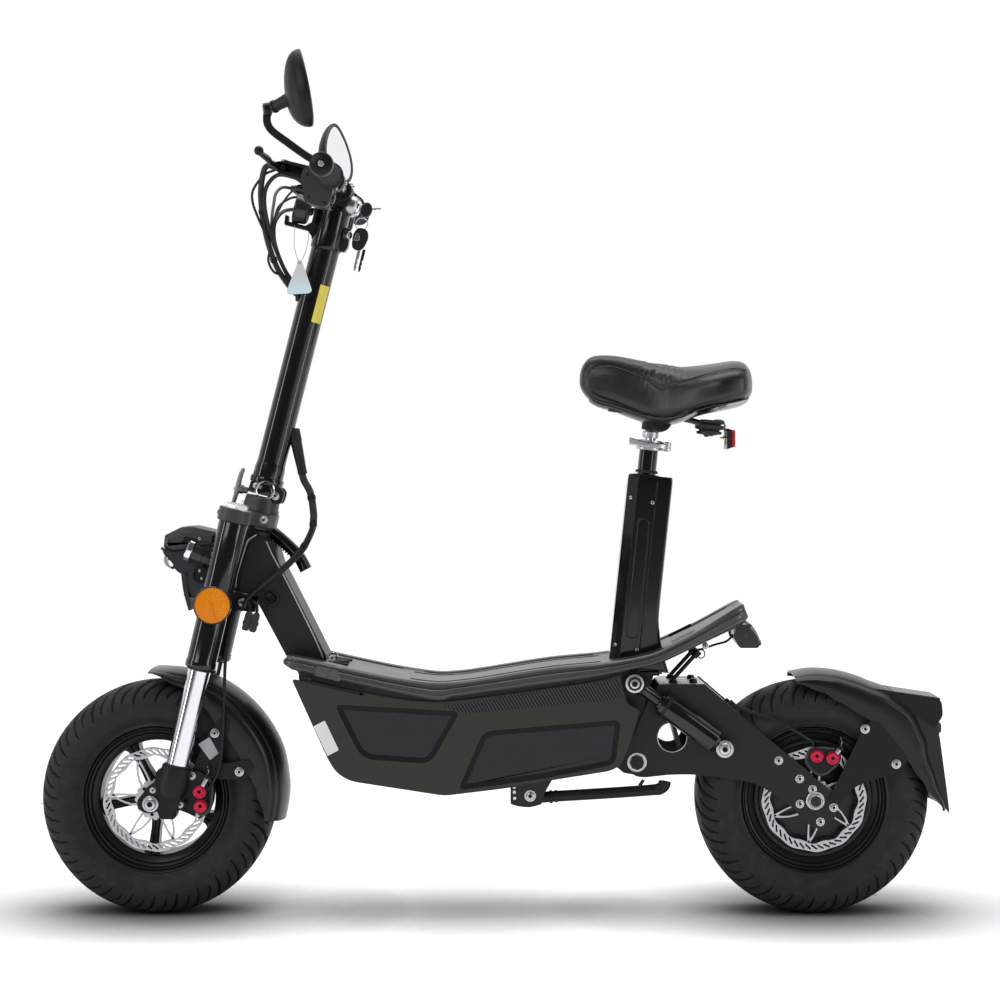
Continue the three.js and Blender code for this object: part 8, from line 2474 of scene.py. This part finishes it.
class SCOOTER_OT_axles(Operator):
    """Front and rear axle ends."""
    bl_idname = "scooter.axles"
    bl_label = "Axles"

    def execute(self, context):
        build_front_axle()
        build_rear_axle()
        return {'FINISHED'}


class SCOOTER_OT_calipers(Operator):
    """Both disc calipers."""
    bl_idname = "scooter.calipers"
    bl_label = "Brake calipers"

    def execute(self, context):
        build_front_caliper()
        build_rear_caliper()
        return {'FINISHED'}


class SCOOTER_OT_fenders(Operator):
    """Front fender and rear fender with its plate carrier."""
    bl_idname = "scooter.fenders"
    bl_label = "Fenders"

    def execute(self, context):
        build_front_fender()
        build_rear_fender()
        return {'FINISHED'}


class SCOOTER_OT_fork(Operator):
    """Fork tubes, stanchions and yokes."""
    bl_idname = "scooter.fork"
    bl_label = "Fork"

    def execute(self, context):
        for side, word in SIDES:
            build_fork_outer(side, word)
            build_stanchion(side, word)
        build_yokes()
        return {'FINISHED'}


class SCOOTER_OT_lights(Operator):
    """Headlight, side reflectors, twin connector and tail light."""
    bl_idname = "scooter.lights"
    bl_label = "Lights"

    def execute(self, context):
        build_headlight()
        build_reflectors()
        build_twin_connector()
        build_tail_light()
        return {'FINISHED'}


class SCOOTER_OT_deck(Operator):
    """Moulded deck and the stay below it."""
    bl_idname = "scooter.deck"
    bl_label = "Deck"

    def execute(self, context):
        build_deck()
        build_deck_stay()
        return {'FINISHED'}


class SCOOTER_OT_side_panels(Operator):
    """Both side panels."""
    bl_idname = "scooter.side_panels"
    bl_label = "Side panels"

    def execute(self, context):
        for side, word in SIDES:
            build_side_panel(side, word)
        return {'FINISHED'}


class SCOOTER_OT_neck(Operator):
    """Trim of the frame's neck."""
    bl_idname = "scooter.neck"
    bl_label = "Neck"

    def execute(self, context):
        build_neck_trim()
        return {'FINISHED'}


class SCOOTER_OT_column(Operator):
    """Column, fold lever and handlebar."""
    bl_idname = "scooter.column"
    bl_label = "Steering column"

    def execute(self, context):
        build_column()
        build_fold_lever()
        build_handlebar()
        return {'FINISHED'}


class SCOOTER_OT_grips(Operator):
    """Grips, switch housings and brake levers."""
    bl_idname = "scooter.grips"
    bl_label = "Grips and controls"

    def execute(self, context):
        for side, word in SIDES:
            build_controls(side, word)
            build_brake_lever(side, word)
        build_grip(-1, "left", "column", "grip_left")
        build_grip(1, "right", "throttle", "throttle_grip")
        return {'FINISHED'}


class SCOOTER_OT_horn(Operator):
    """Horn and its button."""
    bl_idname = "scooter.horn"
    bl_label = "Horn"

    def execute(self, context):
        build_horn()
        build_horn_button()
        return {'FINISHED'}


class SCOOTER_OT_ignition(Operator):
    """Ignition lock, key, spare key and hang tag."""
    bl_idname = "scooter.ignition"
    bl_label = "Ignition"

    def execute(self, context):
        build_ignition()
        build_key()
        build_hang_tag()
        return {'FINISHED'}


class SCOOTER_OT_mirrors(Operator):
    """Mirror arms and mirror heads."""
    bl_idname = "scooter.mirrors"
    bl_label = "Mirrors"

    def execute(self, context):
        for side, word in SIDES:
            build_mirror_arm(side, word)
            build_mirror(side, word)
        return {'FINISHED'}


class SCOOTER_OT_cables(Operator):
    """Brake hoses, cockpit loom and harness."""
    bl_idname = "scooter.cables"
    bl_label = "Cables"

    def execute(self, context):
        build_cables()
        return {'FINISHED'}


class SCOOTER_OT_rear_suspension(Operator):
    """Swingarm and both shock absorbers."""
    bl_idname = "scooter.rear_suspension"
    bl_label = "Rear suspension"

    def execute(self, context):
        build_swingarm()
        build_shocks()
        return {'FINISHED'}


class SCOOTER_OT_stand(Operator):
    """Kickstand and its bracket."""
    bl_idname = "scooter.stand"
    bl_label = "Kickstand"

    def execute(self, context):
        build_kickstand()
        build_stand_bracket()
        return {'FINISHED'}


class SCOOTER_OT_seat_column(Operator):
    """Seat column, post, clamp and its lever."""
    bl_idname = "scooter.seat_column"
    bl_label = "Seat column"

    def execute(self, context):
        build_seat_column()
        build_seat_post()
        build_seat_clamp()
        build_clamp_lever()
        return {'FINISHED'}


class SCOOTER_OT_saddle(Operator):
    """Saddle and its sprung carrier."""
    bl_idname = "scooter.saddle"
    bl_label = "Saddle"

    def execute(self, context):
        build_saddle_carrier()
        build_saddle()
        return {'FINISHED'}


STEPS = [
    SCOOTER_OT_stage,
    SCOOTER_OT_kept_solids,
    SCOOTER_OT_tyres,
    SCOOTER_OT_rims,
    SCOOTER_OT_discs,
    SCOOTER_OT_axles,
    SCOOTER_OT_calipers,
    SCOOTER_OT_fenders,
    SCOOTER_OT_fork,
    SCOOTER_OT_lights,
    SCOOTER_OT_deck,
    SCOOTER_OT_side_panels,
    SCOOTER_OT_neck,
    SCOOTER_OT_column,
    SCOOTER_OT_grips,
    SCOOTER_OT_horn,
    SCOOTER_OT_ignition,
    SCOOTER_OT_mirrors,
    SCOOTER_OT_cables,
    SCOOTER_OT_rear_suspension,
    SCOOTER_OT_stand,
    SCOOTER_OT_seat_column,
    SCOOTER_OT_saddle,
]


class SCOOTER_PT_build(Panel):
    """Lists the build steps."""
    bl_label = "Seated electric scooter"
    bl_idname = "SCOOTER_PT_build"
    bl_space_type = 'VIEW_3D'
    bl_region_type = 'UI'
    bl_category = "Scooter"

    def draw(self, context):
        for group in (context.scene.scooter_sizes, context.scene.scooter_colours):
            box = self.layout.box()
            for name in group.bl_rna.properties.keys():
                if name not in ("rna_type", "name"):
                    box.prop(group, name)
        for made in STEPS:
            self.layout.operator(made.bl_idname)


CLASSES = [ScooterColours, ScooterSizes, *STEPS, SCOOTER_PT_build]


def register():
    """Registers the classes and the two groups of settings."""
    for made in CLASSES:
        bpy.utils.register_class(made)
    bpy.types.Scene.scooter_colours = PointerProperty(type=ScooterColours)
    bpy.types.Scene.scooter_sizes = PointerProperty(type=ScooterSizes)


def unregister():
    """Removes what register() added."""
    del bpy.types.Scene.scooter_sizes
    del bpy.types.Scene.scooter_colours
    for made in reversed(CLASSES):
        bpy.utils.unregister_class(made)


def main():
    """Runs every step."""
    register()
    for made in STEPS:
        group, name = made.bl_idname.split(".")
        getattr(getattr(bpy.ops, group), name)()


if __name__ == "__main__":
    main()
